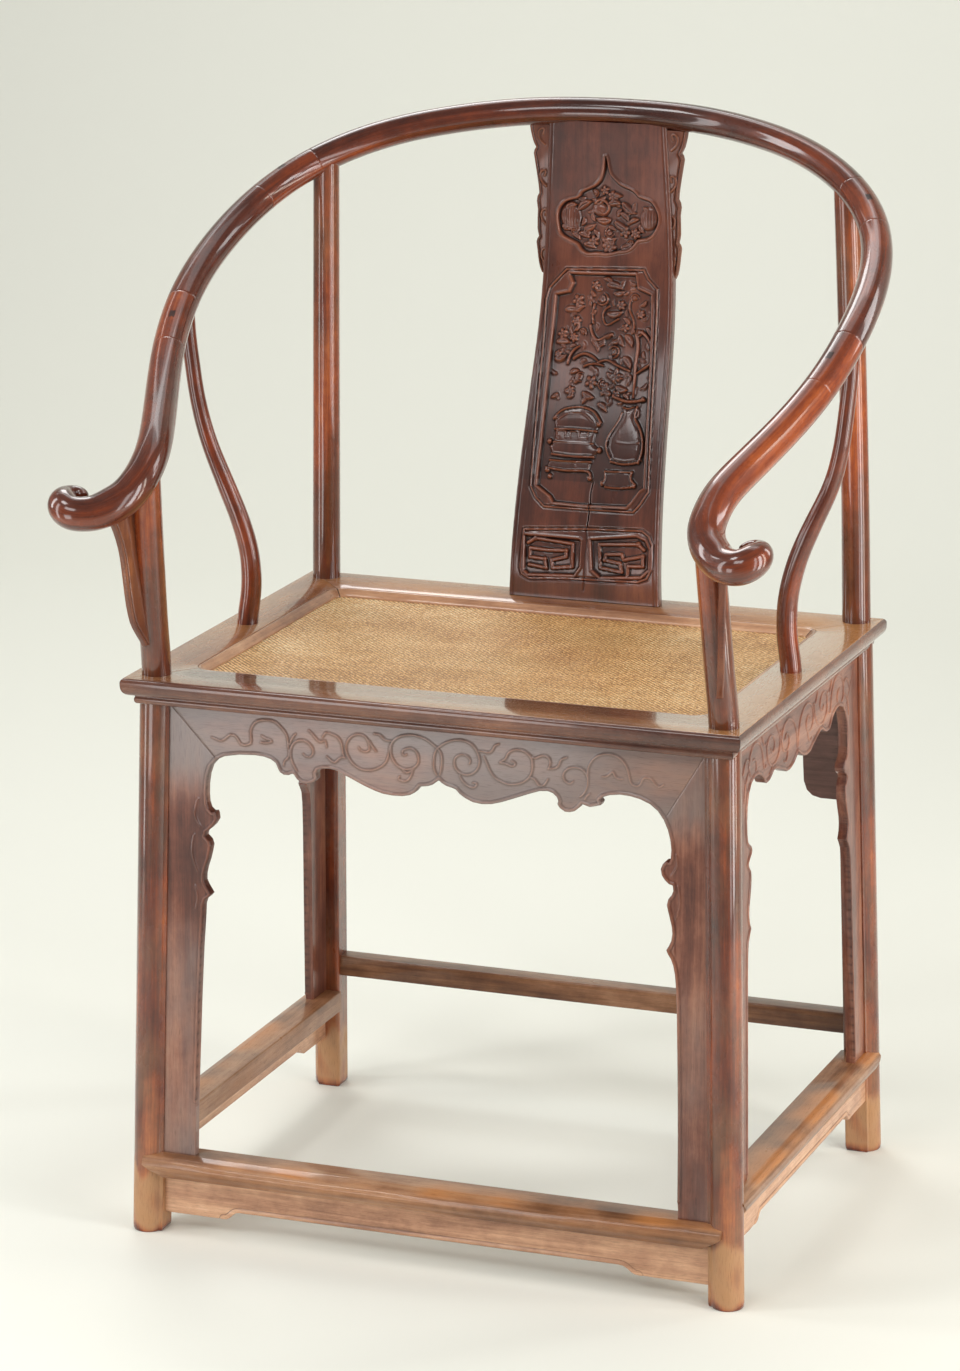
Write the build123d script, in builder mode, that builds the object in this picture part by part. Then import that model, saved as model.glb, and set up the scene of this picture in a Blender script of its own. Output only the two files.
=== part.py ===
from build123d import *
import os
import math

os.makedirs("parts", exist_ok=True)

# ---------------------------------------------------------------------------
# Horseshoe-back armchair.  Millimetres, +Z up, the sitter faces -Y.
# Origin: middle of the footprint, on the floor.
# ---------------------------------------------------------------------------

# seat frame
SEAT_TOP = 529.5            # top of the seat frame
SEAT_BOTTOM = 504.5         # underside of the seat frame
SEAT_HALF_W = 294.2         # half the frame's width
SEAT_FRONT = -224.9         # front edge of the frame
SEAT_BACK = 220.5           # back edge of the frame
OPEN_HALF_W = 247.0         # half the width of the cane opening at the top
OPEN_FRONT = -170.7
OPEN_BACK = 163.3
OPEN_R = 18.0               # corner radius of the opening
LEDGE = 12.0                # ledge that the cane lies on
LEDGE_Z = 519.6
CANE_T = 2.2
CANE_PROUD = 0.3           # rise of the mat between the strips that hold it
BEAD_W = 8.0                # strip that covers the edge of the cane

# legs: one splayed stick from the floor through the seat frame to the crest rail
LEG_R = 15.0                # round outer side of the leg
LEG_IN = 16.0               # flat inner faces, from the leg's axis
LEG_STEP = 7.0              # flat shoulder beside the round side
FOOT_FRONT = (283.0, -214.7)
FOOT_BACK = (281.5, 218.3)
HEAD_FRONT = (270.2, -196.6)    # axis of the leg at the top of the seat
HEAD_BACK = (270.1, 201.3)
POST_R = 13.4               # round post above the seat

# stretchers, rising from front to back
FOOTREST_TOP = 77.5
FOOTREST_T = 21.5
SIDE_STRETCHER_TOP = 103.0
SIDE_STRETCHER_T = 20.5
BACK_STRETCHER_TOP = 138.5
BACK_STRETCHER_T = 20.5

# aprons
APRON_T = 9.0               # board thickness
APRON_SET = 5.0             # face of the board, outward of the leg's axis
TONGUE = 4.0

# crest rail: (x, y, z, radius) of the right half, from the middle of the back
RAIL = [
    (0.0, 287.8, 986.1, 13.0), (40.0, 286.3, 985.6, 13.1), (79.6, 281.1, 983.9, 13.2),
    (118.0, 270.9, 980.6, 13.3), (155.0, 256.3, 975.8, 13.4), (190.2, 238.6, 969.4, 13.5),
    (223.3, 218.0, 960.2, 13.7), (253.5, 195.0, 947.8, 13.9), (279.5, 169.0, 932.3, 14.1),
    (299.5, 139.4, 914.4, 14.3), (312.6, 106.4, 896.0, 14.5), (319.9, 71.5, 877.9, 14.6),
    (322.8, 35.9, 860.0, 14.7), (322.0, 0.5, 841.4, 14.8), (317.8, -34.0, 821.6, 14.9),
    (310.3, -67.9, 801.8, 15.0), (299.9, -101.6, 783.0, 15.2), (288.0, -135.6, 765.6, 15.4),
    (276.0, -170.1, 749.3, 15.6), (266.7, -205.1, 732.3, 15.9), (265.4, -222.6, 722.5, 16.1),
    (267.2, -239.1, 712.0, 16.3), (272.5, -250.5, 703.8, 16.4), (280.6, -260.8, 696.5, 16.7),
    (291.1, -270.6, 691.0, 17.2), (302.5, -278.0, 690.0, 17.6),
]
BEND = (311.4, -281.8, 691.6)   # turn of the scrolled end
BEND_R = 18.4
KNOB = (319.6, -266.4, 698.0)   # centre of the scrolled end
KNOB_R = 19.3
JOINT_BACK = 8              # rail station of the back-to-shoulder scarf
JOINT_ARM = 14              # rail station of the shoulder-to-arm scarf
SCARF = 34.0                # half the length of each lapped scarf
TENON_R = 6.5

# posts above the seat: axis points of the right-hand ones
FRONT_POST = [
    (270.2, -196.6, 529.5, 13.4), (268.7, -203.4, 571.8, 13.3), (267.2, -209.9, 614.2, 13.2),
    (265.5, -216.1, 656.5, 13.0), (264.6, -219.0, 677.7, 12.9), (263.6, -221.9, 700.0, 12.8),
    (263.1, -223.6, 713.0, 12.7),
]
BACK_POST = [
    (270.1, 201.3, 529.5, 13.4), (268.5, 200.3, 612.2, 13.2), (266.6, 198.7, 695.0, 13.0),
    (264.4, 196.3, 777.8, 12.8), (261.8, 193.3, 860.6, 12.7), (260.1, 191.0, 912.0, 12.6),
    (259.3, 190.1, 936.0, 12.6),
]
SIDE_POST = [
    (267.8, 3.5, 529.5, 9.8), (264.4, 3.8, 557.0, 9.6), (263.4, 3.7, 579.7, 9.4),
    (264.6, 3.1, 596.1, 9.3), (269.9, 1.5, 620.6, 9.0), (276.5, 0.3, 640.4, 8.8),
    (284.0, 0.0, 658.2, 8.5), (292.3, 0.6, 676.6, 8.2), (301.0, 1.2, 697.0, 7.9),
    (307.5, 1.5, 716.0, 7.6), (313.0, 1.4, 742.0, 7.3), (317.5, 0.9, 772.0, 7.1),
    (320.6, 0.6, 803.0, 7.0), (322.0, 0.5, 834.0, 7.0),
]

# back splat: (y of the front face, z) of its S curve
SPLAT_FACE = [
    (187.8, 529.5), (189.9, 556.0), (194.1, 582.0), (200.1, 608.0), (207.2, 634.0),
    (215.6, 660.0), (224.7, 686.0), (234.4, 712.0), (244.2, 738.0), (253.6, 764.0),
    (261.6, 790.0), (267.6, 816.0), (271.7, 842.0), (274.1, 868.0), (275.3, 894.0),
    (275.9, 920.0), (276.4, 946.0), (276.8, 979.0),
]
SPLAT_T = 12.0
SPLAT_HALF_BOTTOM = 76.0
SPLAT_HALF_TOP = 59.5
SPLAT_LEAN = -5.5           # the head of the splat stands a little to the left

# lower edge of the front apron, left half then right half (x, z)
FRONT_EDGE_L = [
    (-233.3, 83.8), (-232.4, 131.2), (-230.5, 179.5), (-228.6, 227.5), (-226.2, 275.4),
    (-223.9, 308.8), (-223.4, 318.3), (-221.8, 323.2), (-217.8, 326.4), (-215.8, 329.0),
    (-217.8, 332.1), (-220.7, 336.5), (-222.7, 341.0), (-222.6, 346.6), (-221.1, 353.4),
    (-218.5, 361.2), (-216.5, 368.9), (-215.5, 374.6), (-216.9, 379.2), (-219.4, 381.8),
    (-221.4, 383.4), (-220.3, 387.3), (-216.3, 390.5), (-212.3, 394.7), (-209.3, 399.6),
    (-209.8, 404.3), (-210.8, 407.0), (-214.2, 406.6), (-217.2, 409.2), (-219.1, 414.6),
    (-219.6, 422.0), (-219.3, 431.4), (-217.9, 440.8), (-214.9, 449.5), (-208.9, 456.1),
    (-201.0, 460.1), (-186.2, 462.9), (-171.4, 463.8), (-162.6, 463.3), (-155.8, 461.6),
    (-150.9, 458.4), (-148.9, 453.9), (-147.0, 450.4), (-143.1, 448.4), (-138.2, 448.4),
    (-134.8, 450.2), (-133.3, 449.4), (-130.4, 445.5), (-125.5, 442.3), (-119.7, 441.9),
    (-114.8, 443.7), (-110.9, 446.9), (-111.6, 452.8), (-109.9, 455.8), (-105.0, 457.6),
    (-98.2, 458.1), (-91.5, 457.1), (-83.7, 453.6), (-74.0, 449.5), (-64.4, 445.4),
    (-54.7, 442.1), (-47.0, 440.1), (-37.4, 439.2), (-27.7, 439.7), (-21.0, 441.3),
    (-16.2, 444.0), (-13.4, 447.5), (-11.5, 450.0), (-3.8, 451.2), (1.0, 453.0),
    (4.8, 456.1), (6.7, 457.7),
]
FRONT_EDGE_R = [
    (9.6, 455.2), (14.3, 452.9), (19.1, 452.0), (22.9, 450.6), (26.7, 446.8),
    (32.5, 443.3), (39.1, 440.7), (47.7, 439.7), (57.2, 440.6), (66.6, 443.4),
    (76.1, 447.0), (85.5, 450.7), (94.8, 454.3), (102.3, 456.9), (109.9, 457.6),
    (114.6, 456.2), (118.3, 453.0), (119.8, 449.5), (118.9, 446.7), (121.3, 443.3),
    (126.0, 440.5), (130.7, 440.5), (135.3, 441.9), (139.0, 445.0), (141.8, 448.9),
    (144.6, 448.3), (149.3, 446.9), (154.9, 448.4), (159.5, 449.7), (160.4, 452.5),
    (158.5, 454.2), (161.3, 457.1), (167.8, 459.6), (177.0, 460.9), (186.3, 460.5),
    (195.6, 458.7), (204.9, 455.1), (212.4, 449.5), (218.0, 441.9), (221.9, 433.3),
    (224.3, 424.5), (225.4, 415.6), (225.0, 408.3), (223.7, 404.5), (220.4, 405.1),
    (217.7, 402.1), (215.9, 397.4), (216.9, 392.0), (219.8, 387.8), (223.5, 384.6),
    (227.2, 383.6), (227.8, 378.7), (226.4, 374.9), (223.3, 370.9), (222.0, 365.3),
    (223.0, 360.9), (224.9, 353.8), (226.9, 345.8), (227.5, 339.5), (226.6, 333.0),
    (224.4, 328.2), (222.1, 324.3), (223.6, 320.8), (226.4, 316.6), (228.8, 310.4),
    (230.3, 303.3), (231.4, 293.3), (232.7, 270.6), (233.7, 233.9), (234.9, 187.9),
    (235.7, 141.6), (235.9, 95.0), (236.6, 83.8),
]
CORNER_L = 34               # entry of the left edge where the mitre meets the arch
CORNER_R = 38               # the same for the right edge

# lower edge of a side apron, from the middle to the leg (distance, z)
SIDE_EDGE = [
    (5.0, 452.5), (14.0, 448.0), (26.0, 445.5), (36.0, 446.5), (46.0, 450.5),
    (58.0, 454.5), (67.0, 457.2), (74.0, 457.0), (79.0, 454.4), (86.0, 451.6),
    (94.0, 451.2), (99.5, 453.4), (103.0, 457.6), (109.0, 462.0), (118.0, 465.4),
    (128.0, 465.8), (138.0, 462.6), (145.5, 455.4), (150.0, 445.0), (151.8, 432.0),
    (151.8, 420.0), (150.4, 413.5), (146.0, 409.5), (140.6, 406.4), (138.8, 402.4),
    (141.0, 398.4), (146.0, 395.4), (149.6, 391.6), (147.0, 388.0), (143.2, 384.6),
    (142.2, 378.0), (143.6, 370.0), (146.4, 361.0), (149.4, 353.0), (150.6, 345.0),
    (149.0, 338.0), (145.0, 331.5), (148.6, 327.4), (153.0, 321.0), (155.4, 310.0),
    (157.4, 284.0), (159.8, 230.0), (162.6, 170.0), (165.6, 110.0),
]
SIDE_EDGE_TOP = (0.0, 455.8)
SIDE_CORNER = 17            # entry where the mitre meets the arch


# ---------------------------------------------------------------------------
# helpers
# ---------------------------------------------------------------------------
def mid(a, b, t):
    return tuple(a[i] + (b[i] - a[i]) * t for i in range(len(a)))


def leg_axis(sx, back, z):
    """Axis of a leg at height z."""
    foot = FOOT_BACK if back else FOOT_FRONT
    head = HEAD_BACK if back else HEAD_FRONT
    t = z / SEAT_TOP
    return (sx * (foot[0] + (head[0] - foot[0]) * t), foot[1] + (head[1] - foot[1]) * t)


def round_bar(stations):
    """Round bar of changing radius through the stations (x, y, z, r)."""
    faces = []
    n = len(stations)
    for i, (x, y, z, r) in enumerate(stations):
        a = stations[max(i - 1, 0)]
        b = stations[min(i + 1, n - 1)]
        t = Vector(b[0] - a[0], b[1] - a[1], b[2] - a[2]).normalized()
        ref = Vector(0, 0, 1) if abs(t.Z) < 0.9 else Vector(0, 1, 0)
        xd = ref.cross(t).normalized()
        with BuildSketch(Plane(origin=(x, y, z), x_dir=xd, z_dir=t)) as ring:
            Circle(r)
        faces.append(ring.sketch.face())
    with BuildPart() as bar:
        loft(sections=faces)
    return bar.part


def mirrored(stations):
    return [(-s[0],) + tuple(s[1:]) for s in stations]


def rod(start, end, r):
    """Straight round rod between two points."""
    a, b = Vector(*start), Vector(*end)
    with BuildPart() as stick:
        with BuildSketch(Plane(origin=a, z_dir=(b - a).normalized())):
            Circle(r)
        extrude(amount=(b - a).length)
    return stick.part


def block(x0, x1, y0, y1, z0, z1):
    with BuildPart() as brick:
        with BuildSketch(Plane.XY.offset(z0)):
            with Locations(((x0 + x1) / 2, (y0 + y1) / 2)):
                Rectangle(abs(x1 - x0), abs(y1 - y0))
        extrude(amount=z1 - z0)
    return brick.part


def slab(points, plane, t0, t1):
    """Board with the outline `points` in `plane`, from t0 to t1 along its normal."""
    with BuildPart() as board:
        with BuildSketch(plane.offset(t0)):
            with BuildLine():
                Polyline(*points, close=True)
            make_face()
        extrude(amount=t1 - t0)
    return board.part


def knob(centre, r):
    """Rounded lump of radius r."""
    with BuildPart() as lump:
        with Locations(centre):
            Cylinder(radius=r, height=2 * r)
        fillet(lump.edges().filter_by(GeomType.CIRCLE), radius=r * 0.8)
    return lump.part


def bar_frame(stations, i):
    """Point, direction and upward normal of a bar at station i."""
    a, b = stations[i - 1], stations[i + 1]
    p = Vector(*stations[i][:3])
    t = Vector(b[0] - a[0], b[1] - a[1], b[2] - a[2]).normalized()
    up = Vector(0, 0, 1)
    n = (up - t * up.dot(t)).normalized()
    return p, t, n


# ---------------------------------------------------------------------------
# crest rail: five lengths, lapped at four scarf joints and locked by wedge pins
# ---------------------------------------------------------------------------
LEFT_RAIL = mirrored(RAIL)
back_stations = list(reversed(LEFT_RAIL[1:JOINT_BACK + 3])) + RAIL[:JOINT_BACK + 3]


def scarf_boxes(stations, i):
    """Upper and lower cutters and the two end planes of the scarf at station i."""
    p, t, n = bar_frame(stations, i)
    flat = Plane(origin=p, x_dir=t, z_dir=n)
    with BuildPart() as upper:
        with BuildSketch(flat):
            Rectangle(2 * SCARF, 70)
        extrude(amount=30)
    with BuildPart() as lower:
        with BuildSketch(flat):
            Rectangle(2 * SCARF, 70)
        extrude(amount=-30)
    near = Plane(origin=p - t * SCARF, z_dir=t)
    far = Plane(origin=p + t * SCARF, z_dir=t)
    r = stations[i][3]
    with BuildPart() as pin:
        with BuildSketch(Plane(origin=p - n * (r - 0.4), x_dir=t, z_dir=n)) as s0:
            Rectangle(7.0, 4.4)
        with BuildSketch(Plane(origin=p + n * (r - 0.4), x_dir=t, z_dir=n)) as s1:
            Rectangle(9.0, 5.4)
        loft(sections=[s0.sketch.face(), s1.sketch.face()])
    return upper.part, lower.part, near, far, pin.part


SC_BR = scarf_boxes(RAIL, JOINT_BACK)
SC_BL = scarf_boxes(LEFT_RAIL, JOINT_BACK)
SC_AR = scarf_boxes(RAIL, JOINT_ARM)
SC_AL = scarf_boxes(LEFT_RAIL, JOINT_ARM)

RAIL_TENONS = []            # post tenons let into the underside of the rail
for side in (1, -1):
    for post in (FRONT_POST, BACK_POST, SIDE_POST):
        x, y, z, r = post[-1]
        RAIL_TENONS.append(rod((side * x, y, z - 30), (side * x, y, z + 7), TENON_R if post is not SIDE_POST else 4.2))

SPLAT_TENON = block(-42 + SPLAT_LEAN, 42 + SPLAT_LEAN, 280.6, 286.6, 968, 983.5)

with BuildPart() as crest_rail_back:
    add(round_bar(back_stations))
    split(bisect_by=SC_BR[3], keep=Keep.BOTTOM)
    split(bisect_by=SC_BL[3], keep=Keep.BOTTOM)
    add(SC_BR[0], mode=Mode.SUBTRACT)
    add(SC_BL[0], mode=Mode.SUBTRACT)
    add(SC_BR[4], mode=Mode.SUBTRACT)
    add(SC_BL[4], mode=Mode.SUBTRACT)
    for peg in RAIL_TENONS:
        add(peg, mode=Mode.SUBTRACT)
    add(SPLAT_TENON, mode=Mode.SUBTRACT)


def shoulder(stations, back_scarf, arm_scarf):
    with BuildPart() as piece:
        add(round_bar(stations[JOINT_BACK - 2:JOINT_ARM + 3]))
        split(bisect_by=back_scarf[2], keep=Keep.TOP)
        split(bisect_by=arm_scarf[3], keep=Keep.BOTTOM)
        add(back_scarf[1], mode=Mode.SUBTRACT)
        add(arm_scarf[0], mode=Mode.SUBTRACT)
        add(back_scarf[4], mode=Mode.SUBTRACT)
        add(arm_scarf[4], mode=Mode.SUBTRACT)
        for peg in RAIL_TENONS:
            add(peg, mode=Mode.SUBTRACT)
    return piece


def arm(stations, arm_scarf, side):
    with BuildPart() as piece:
        add(round_bar(stations[JOINT_ARM - 2:]))
        for centre, r in ((BEND, BEND_R), (KNOB, KNOB_R)):
            add(knob((side * centre[0], centre[1], centre[2]), r))
        split(bisect_by=arm_scarf[2], keep=Keep.TOP)
        add(arm_scarf[1], mode=Mode.SUBTRACT)
        add(arm_scarf[4], mode=Mode.SUBTRACT)
        for peg in RAIL_TENONS:
            add(peg, mode=Mode.SUBTRACT)
    return piece


crest_rail_shoulder_right = shoulder(RAIL, SC_BR, SC_AR)
crest_rail_shoulder_left = shoulder(LEFT_RAIL, SC_BL, SC_AL)
crest_rail_arm_right = arm(RAIL, SC_AR, 1)
crest_rail_arm_left = arm(LEFT_RAIL, SC_AL, -1)

with BuildPart() as scarf_wedge_pins:
    for sc in (SC_BR, SC_BL, SC_AR, SC_AL):
        add(sc[4])

RAIL_PIECES = [p.part for p in (crest_rail_back, crest_rail_shoulder_right, crest_rail_shoulder_left,
                                crest_rail_arm_right, crest_rail_arm_left)]
# the same rail without joints, for cutting the saddles of the posts and the splat
RAIL_CUTTERS = [round_bar(back_stations), round_bar(RAIL[JOINT_BACK - 2:JOINT_ARM + 3]),
                round_bar(LEFT_RAIL[JOINT_BACK - 2:JOINT_ARM + 3]),
                round_bar(RAIL[JOINT_ARM - 2:]), round_bar(LEFT_RAIL[JOINT_ARM - 2:])]

# ---------------------------------------------------------------------------
# stretchers and the footrest (outer shapes, fitted to the legs further down)
# ---------------------------------------------------------------------------
def leg_blank(sx, back, z0, z1):
    """Lower part of a leg: round outside, square towards the middle of the chair."""
    sy = 1 if back else -1
    a = leg_axis(sx, back, z0)
    b = leg_axis(sx, back, z1)
    with BuildPart() as stick:
        with BuildSketch(Plane(origin=(a[0], a[1], z0), x_dir=(1, 0, 0), z_dir=(0, 0, 1))) as section:
            Circle(LEG_R)
            w = (LEG_IN + LEG_STEP)
            c = (LEG_IN - LEG_STEP) / 2
            with Locations((-sx * c, -sy * c)):
                RectangleRounded(w, w, 1.6)
        d = Vector(b[0] - a[0], b[1] - a[1], z1 - z0)
        extrude(section.sketch, amount=d.length, dir=d.normalized())
    return stick.part


LEG_BLANKS = {(sx, back): leg_blank(sx, back, 0.0, SEAT_BOTTOM) for sx in (1, -1) for back in (False, True)}

FR_BACK = -197.0            # back edge of the footrest
FR_FRONT = -233.0           # front edge of the footrest
ft = FOOTREST_TOP
with BuildPart() as foot_rest:
    with BuildSketch(Plane.YZ.offset(-281)):
        with BuildLine():
            l1 = Polyline((FR_BACK, ft - FOOTREST_T), (FR_BACK, ft), (-219.5, ft))
            l2 = Spline((-219.5, ft), (-227.5, ft - 1.8), (-232.0, ft - 5.4), (FR_FRONT, ft - 10.5),
                        (-232.0, ft - 15.5), (-228.6, ft - 19.0), tangents=((-1, 0), (1, -0.7)))
            l3 = Polyline((-228.6, ft - 19.0), (-226.0, ft - FOOTREST_T), (FR_BACK, ft - FOOTREST_T))
        make_face()
    extrude(amount=562)
    # pointed ends of the nosing that lap over the faces of the legs
    for side in (1, -1):
        with BuildSketch(Plane(origin=(0, FR_FRONT - 5, 0), x_dir=(1, 0, 0), z_dir=(0, -1, 0))) as nose:
            with BuildLine():
                Polyline((side * 282, ft - 9), (side * 262, ft - FOOTREST_T - 0.5),
                         (side * 282, ft - FOOTREST_T - 0.5), close=True)
            make_face()
        extrude(nose.sketch, amount=-60, mode=Mode.SUBTRACT)
    for key in ((1, False), (-1, False)):
        add(LEG_BLANKS[key], mode=Mode.SUBTRACT)
    # what stands behind or outside the legs goes
    for side in (1, -1):
        add(block(side * 262, side * 283, FR_BACK - 0.2 - 18, FR_BACK + 20, 40, 100), mode=Mode.SUBTRACT)
    for side in (1, -1):
        add(block(side * 258, side * 274, -215.0, -205.0, ft - 17.5, ft - 5.5))

ST_IN, ST_OUT = 260.5, 297.0
st = SIDE_STRETCHER_TOP


def side_stretcher(side):
    with BuildPart() as rail:
        with BuildSketch(Plane(origin=(0, -212, 0), x_dir=(1, 0, 0), z_dir=(0, -1, 0))) as section:
            with BuildLine():
                Polyline((side * ST_IN, st - SIDE_STRETCHER_T), (side * ST_IN, st), (side * (ST_OUT - 9), st))
                Spline((side * (ST_OUT - 9), st), (side * (ST_OUT - 2), st - 2.2), (side * ST_OUT, st - 8.0),
                       (side * (ST_OUT - 1.4), st - 14.5), (side * (ST_OUT - 5.0), st - SIDE_STRETCHER_T))
                Line((side * (ST_OUT - 5.0), st - SIDE_STRETCHER_T), (side * ST_IN, st - SIDE_STRETCHER_T))
            make_face()
        extrude(section.sketch, amount=-427.0)
        for yy, s in ((-212.0, 1), (215.0, -1)):
            with BuildSketch(Plane(origin=(side * 300, 0, 0), x_dir=(0, 1, 0), z_dir=(1, 0, 0))) as nose:
                with BuildLine():
                    Polyline((yy - s * 1, st - 8), (yy + s * 17, st - SIDE_STRETCHER_T - 0.5),
                             (yy - s * 1, st - SIDE_STRETCHER_T - 0.5), close=True)
                make_face()
            extrude(nose.sketch, amount=60 if side < 0 else -60, mode=Mode.SUBTRACT)
        add(LEG_BLANKS[(side, False)], mode=Mode.SUBTRACT)
        add(LEG_BLANKS[(side, True)], mode=Mode.SUBTRACT)
        add(block(side * 240, side * 279.5, -230, -196.5, 60, 120), mode=Mode.SUBTRACT)
        add(block(side * 240, side * 279.5, 200.3, 235, 60, 120), mode=Mode.SUBTRACT)
        add(block(side * 270, side * 300, -216, -211.0, 60, 120), mode=Mode.SUBTRACT)
        add(block(side * 270, side * 300, 214.0, 220, 60, 120), mode=Mode.SUBTRACT)
        add(block(side * 270, side * 280, -207, -190, st - 16, st - 5))
        add(block(side * 270, side * 280, 194, 210, st - 16, st - 5))
    return rail


side_stretcher_right = side_stretcher(1)
side_stretcher_left = side_stretcher(-1)

bt = BACK_STRETCHER_TOP
with BuildPart() as back_stretcher:
    with BuildSketch(Plane.YZ.offset(-279)):
        with Locations((213.8, bt - BACK_STRETCHER_T / 2)):
            RectangleRounded(20.0, BACK_STRETCHER_T, 1.5)
    extrude(amount=558)
    add(LEG_BLANKS[(1, True)], mode=Mode.SUBTRACT)
    add(LEG_BLANKS[(-1, True)], mode=Mode.SUBTRACT)
    for side in (1, -1):
        add(block(side * 264, side * 300, 195, 240, 100, 150), mode=Mode.SUBTRACT)
        add(block(side * 262, side * 273, 209, 218, bt - 16.5, bt - 4))

# plain shaped boards under the footrest and under the side stretchers
FA_TOP = ft - FOOTREST_T
with BuildPart() as footrest_apron:
    with BuildSketch(Plane(origin=(0, -214.0, 0), x_dir=(1, 0, 0), z_dir=(0, -1, 0))) as face:
        with BuildLine():
            Polyline((-270, FA_TOP), (-270, 17.0), (-207, 17.0), (-202, 18.6), (-197.5, 22.6), (-192.5, 24.8),
                     (180, 24.8), (187, 22.6), (192, 18.9), (198, 17.0), (270, 17.0), (270, FA_TOP), close=True)
        make_face()
    extrude(face.sketch, amount=-9.0)
    add(LEG_BLANKS[(1, False)], mode=Mode.SUBTRACT)
    add(LEG_BLANKS[(-1, False)], mode=Mode.SUBTRACT)
    for side in (1, -1):
        add(block(side * 268, side * 290, -230, -200, 10, 60), mode=Mode.SUBTRACT)
        add(block(side * 262, side * 269.5, -211.5, -207.5, 22, FA_TOP - 4))

SA_TOP = st - SIDE_STRETCHER_T


def side_stretcher_apron(side):
    with BuildPart() as board:
        with BuildSketch(Plane(origin=(side * 286.0, 0, 0), x_dir=(0, 1, 0), z_dir=(1, 0, 0))) as face:
            with BuildLine():
                Polyline((-201, SA_TOP), (-201, 52.8), (-143, 52.8), (-138, 54.2), (-134, 58.0), (-129, 60.0),
                         (133, 60.0), (138, 58.0), (142, 54.2), (147, 52.8), (204, 52.8), (204, SA_TOP), close=True)
            make_face()
        extrude(face.sketch, amount=-8.0 * side)
        add(LEG_BLANKS[(side, False)], mode=Mode.SUBTRACT)
        add(LEG_BLANKS[(side, True)], mode=Mode.SUBTRACT)
        add(block(side * 275, side * 290, -212, -199.5, 45, 90), mode=Mode.SUBTRACT)
        add(block(side * 275, side * 290, 203.3, 215, 45, 90), mode=Mode.SUBTRACT)
        add(block(side * 280, side * 284, -202.5, -194, 58, SA_TOP - 4))
        add(block(side * 280, side * 284, 198, 206, 58, SA_TOP - 4))
    return board


side_stretcher_apron_right = side_stretcher_apron(1)
side_stretcher_apron_left = side_stretcher_apron(-1)

# ---------------------------------------------------------------------------
# carved aprons of three boards each, mitred at the upper corners
# ---------------------------------------------------------------------------
lean_y = (HEAD_FRONT[1] - FOOT_FRONT[1]) / SEAT_TOP
FRONT_PLANE = Plane(origin=(0, FOOT_FRONT[1] - APRON_SET, 0), x_dir=(1, 0, 0),
                    z_dir=Vector(0, -1, lean_y).normalized())


def front_edge_x(z):
    """Inner face of a front leg at height z."""
    return abs(leg_axis(1, False, z)[0]) - LEG_IN


XT = front_edge_x(SEAT_BOTTOM)
XB = front_edge_x(FOOTREST_TOP)
MIT_L = FRONT_EDGE_L[CORNER_L]
MIT_R = FRONT_EDGE_R[CORNER_R]
K = math.sqrt(1 + lean_y * lean_y)      # along the leaning board


def on_board(points, k=K):
    return [(p[0], p[1] * k) for p in points]


with BuildPart() as front_apron:
    add(slab(on_board([(-XT, SEAT_BOTTOM)] + FRONT_EDGE_L[CORNER_L:] + FRONT_EDGE_R[:CORNER_R + 1] + [(XT, SEAT_BOTTOM)]),
             FRONT_PLANE, -APRON_T, 0.0))
    add(block(-226, 226, FOOT_FRONT[1] + lean_y * 508 - 2.5, FOOT_FRONT[1] + lean_y * 508 + 1.5, SEAT_BOTTOM - 3, SEAT_BOTTOM + 4))
    split(bisect_by=Plane.XY.offset(SEAT_BOTTOM + 4), keep=Keep.BOTTOM)

with BuildPart() as front_apron_strip_left:
    add(slab(on_board([(-XB - 0.05, FOOTREST_TOP - 2)] + [(-233.5, FOOTREST_TOP - 2)] + FRONT_EDGE_L[:CORNER_L + 1] + [(-XT, SEAT_BOTTOM)]),
             FRONT_PLANE, -APRON_T, 0.0))
    split(bisect_by=Plane.XY.offset(FOOTREST_TOP), keep=Keep.TOP)
    add(slab(on_board([(-XB + 6, FOOTREST_TOP + 12), (-XB - TONGUE, FOOTREST_TOP + 12), (-XT - TONGUE, SEAT_BOTTOM - 14),
                       (-XT + 6, SEAT_BOTTOM - 14)]), FRONT_PLANE, -6.5, -2.5))

with BuildPart() as front_apron_strip_right:
    add(slab(on_board([(XT, SEAT_BOTTOM)] + FRONT_EDGE_R[CORNER_R:] + [(236.7, FOOTREST_TOP - 2), (XB + 0.05, FOOTREST_TOP - 2)]),
             FRONT_PLANE, -APRON_T, 0.0))
    split(bisect_by=Plane.XY.offset(FOOTREST_TOP), keep=Keep.TOP)
    add(slab(on_board([(XB - 6, FOOTREST_TOP + 12), (XB + TONGUE, FOOTREST_TOP + 12), (XT + TONGUE, SEAT_BOTTOM - 14),
                       (XT - 6, SEAT_BOTTOM - 14)]), FRONT_PLANE, -6.5, -2.5))

lean_x = (HEAD_FRONT[0] - FOOT_FRONT[0]) / SEAT_TOP


def side_plane(side):
    """Leaning plane of a side apron's outer face, normal pointing outward."""
    return Plane(origin=(side * (FOOT_FRONT[0] + APRON_SET - 0.7), 0, 0), x_dir=(0, 1, 0),
                 z_dir=Vector(side, 0, -lean_x).normalized()) if side > 0 else \
        Plane(origin=(side * (FOOT_FRONT[0] + APRON_SET - 0.7), 0, 0), x_dir=(0, -1, 0),
              z_dir=Vector(side, 0, -lean_x).normalized())


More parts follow.
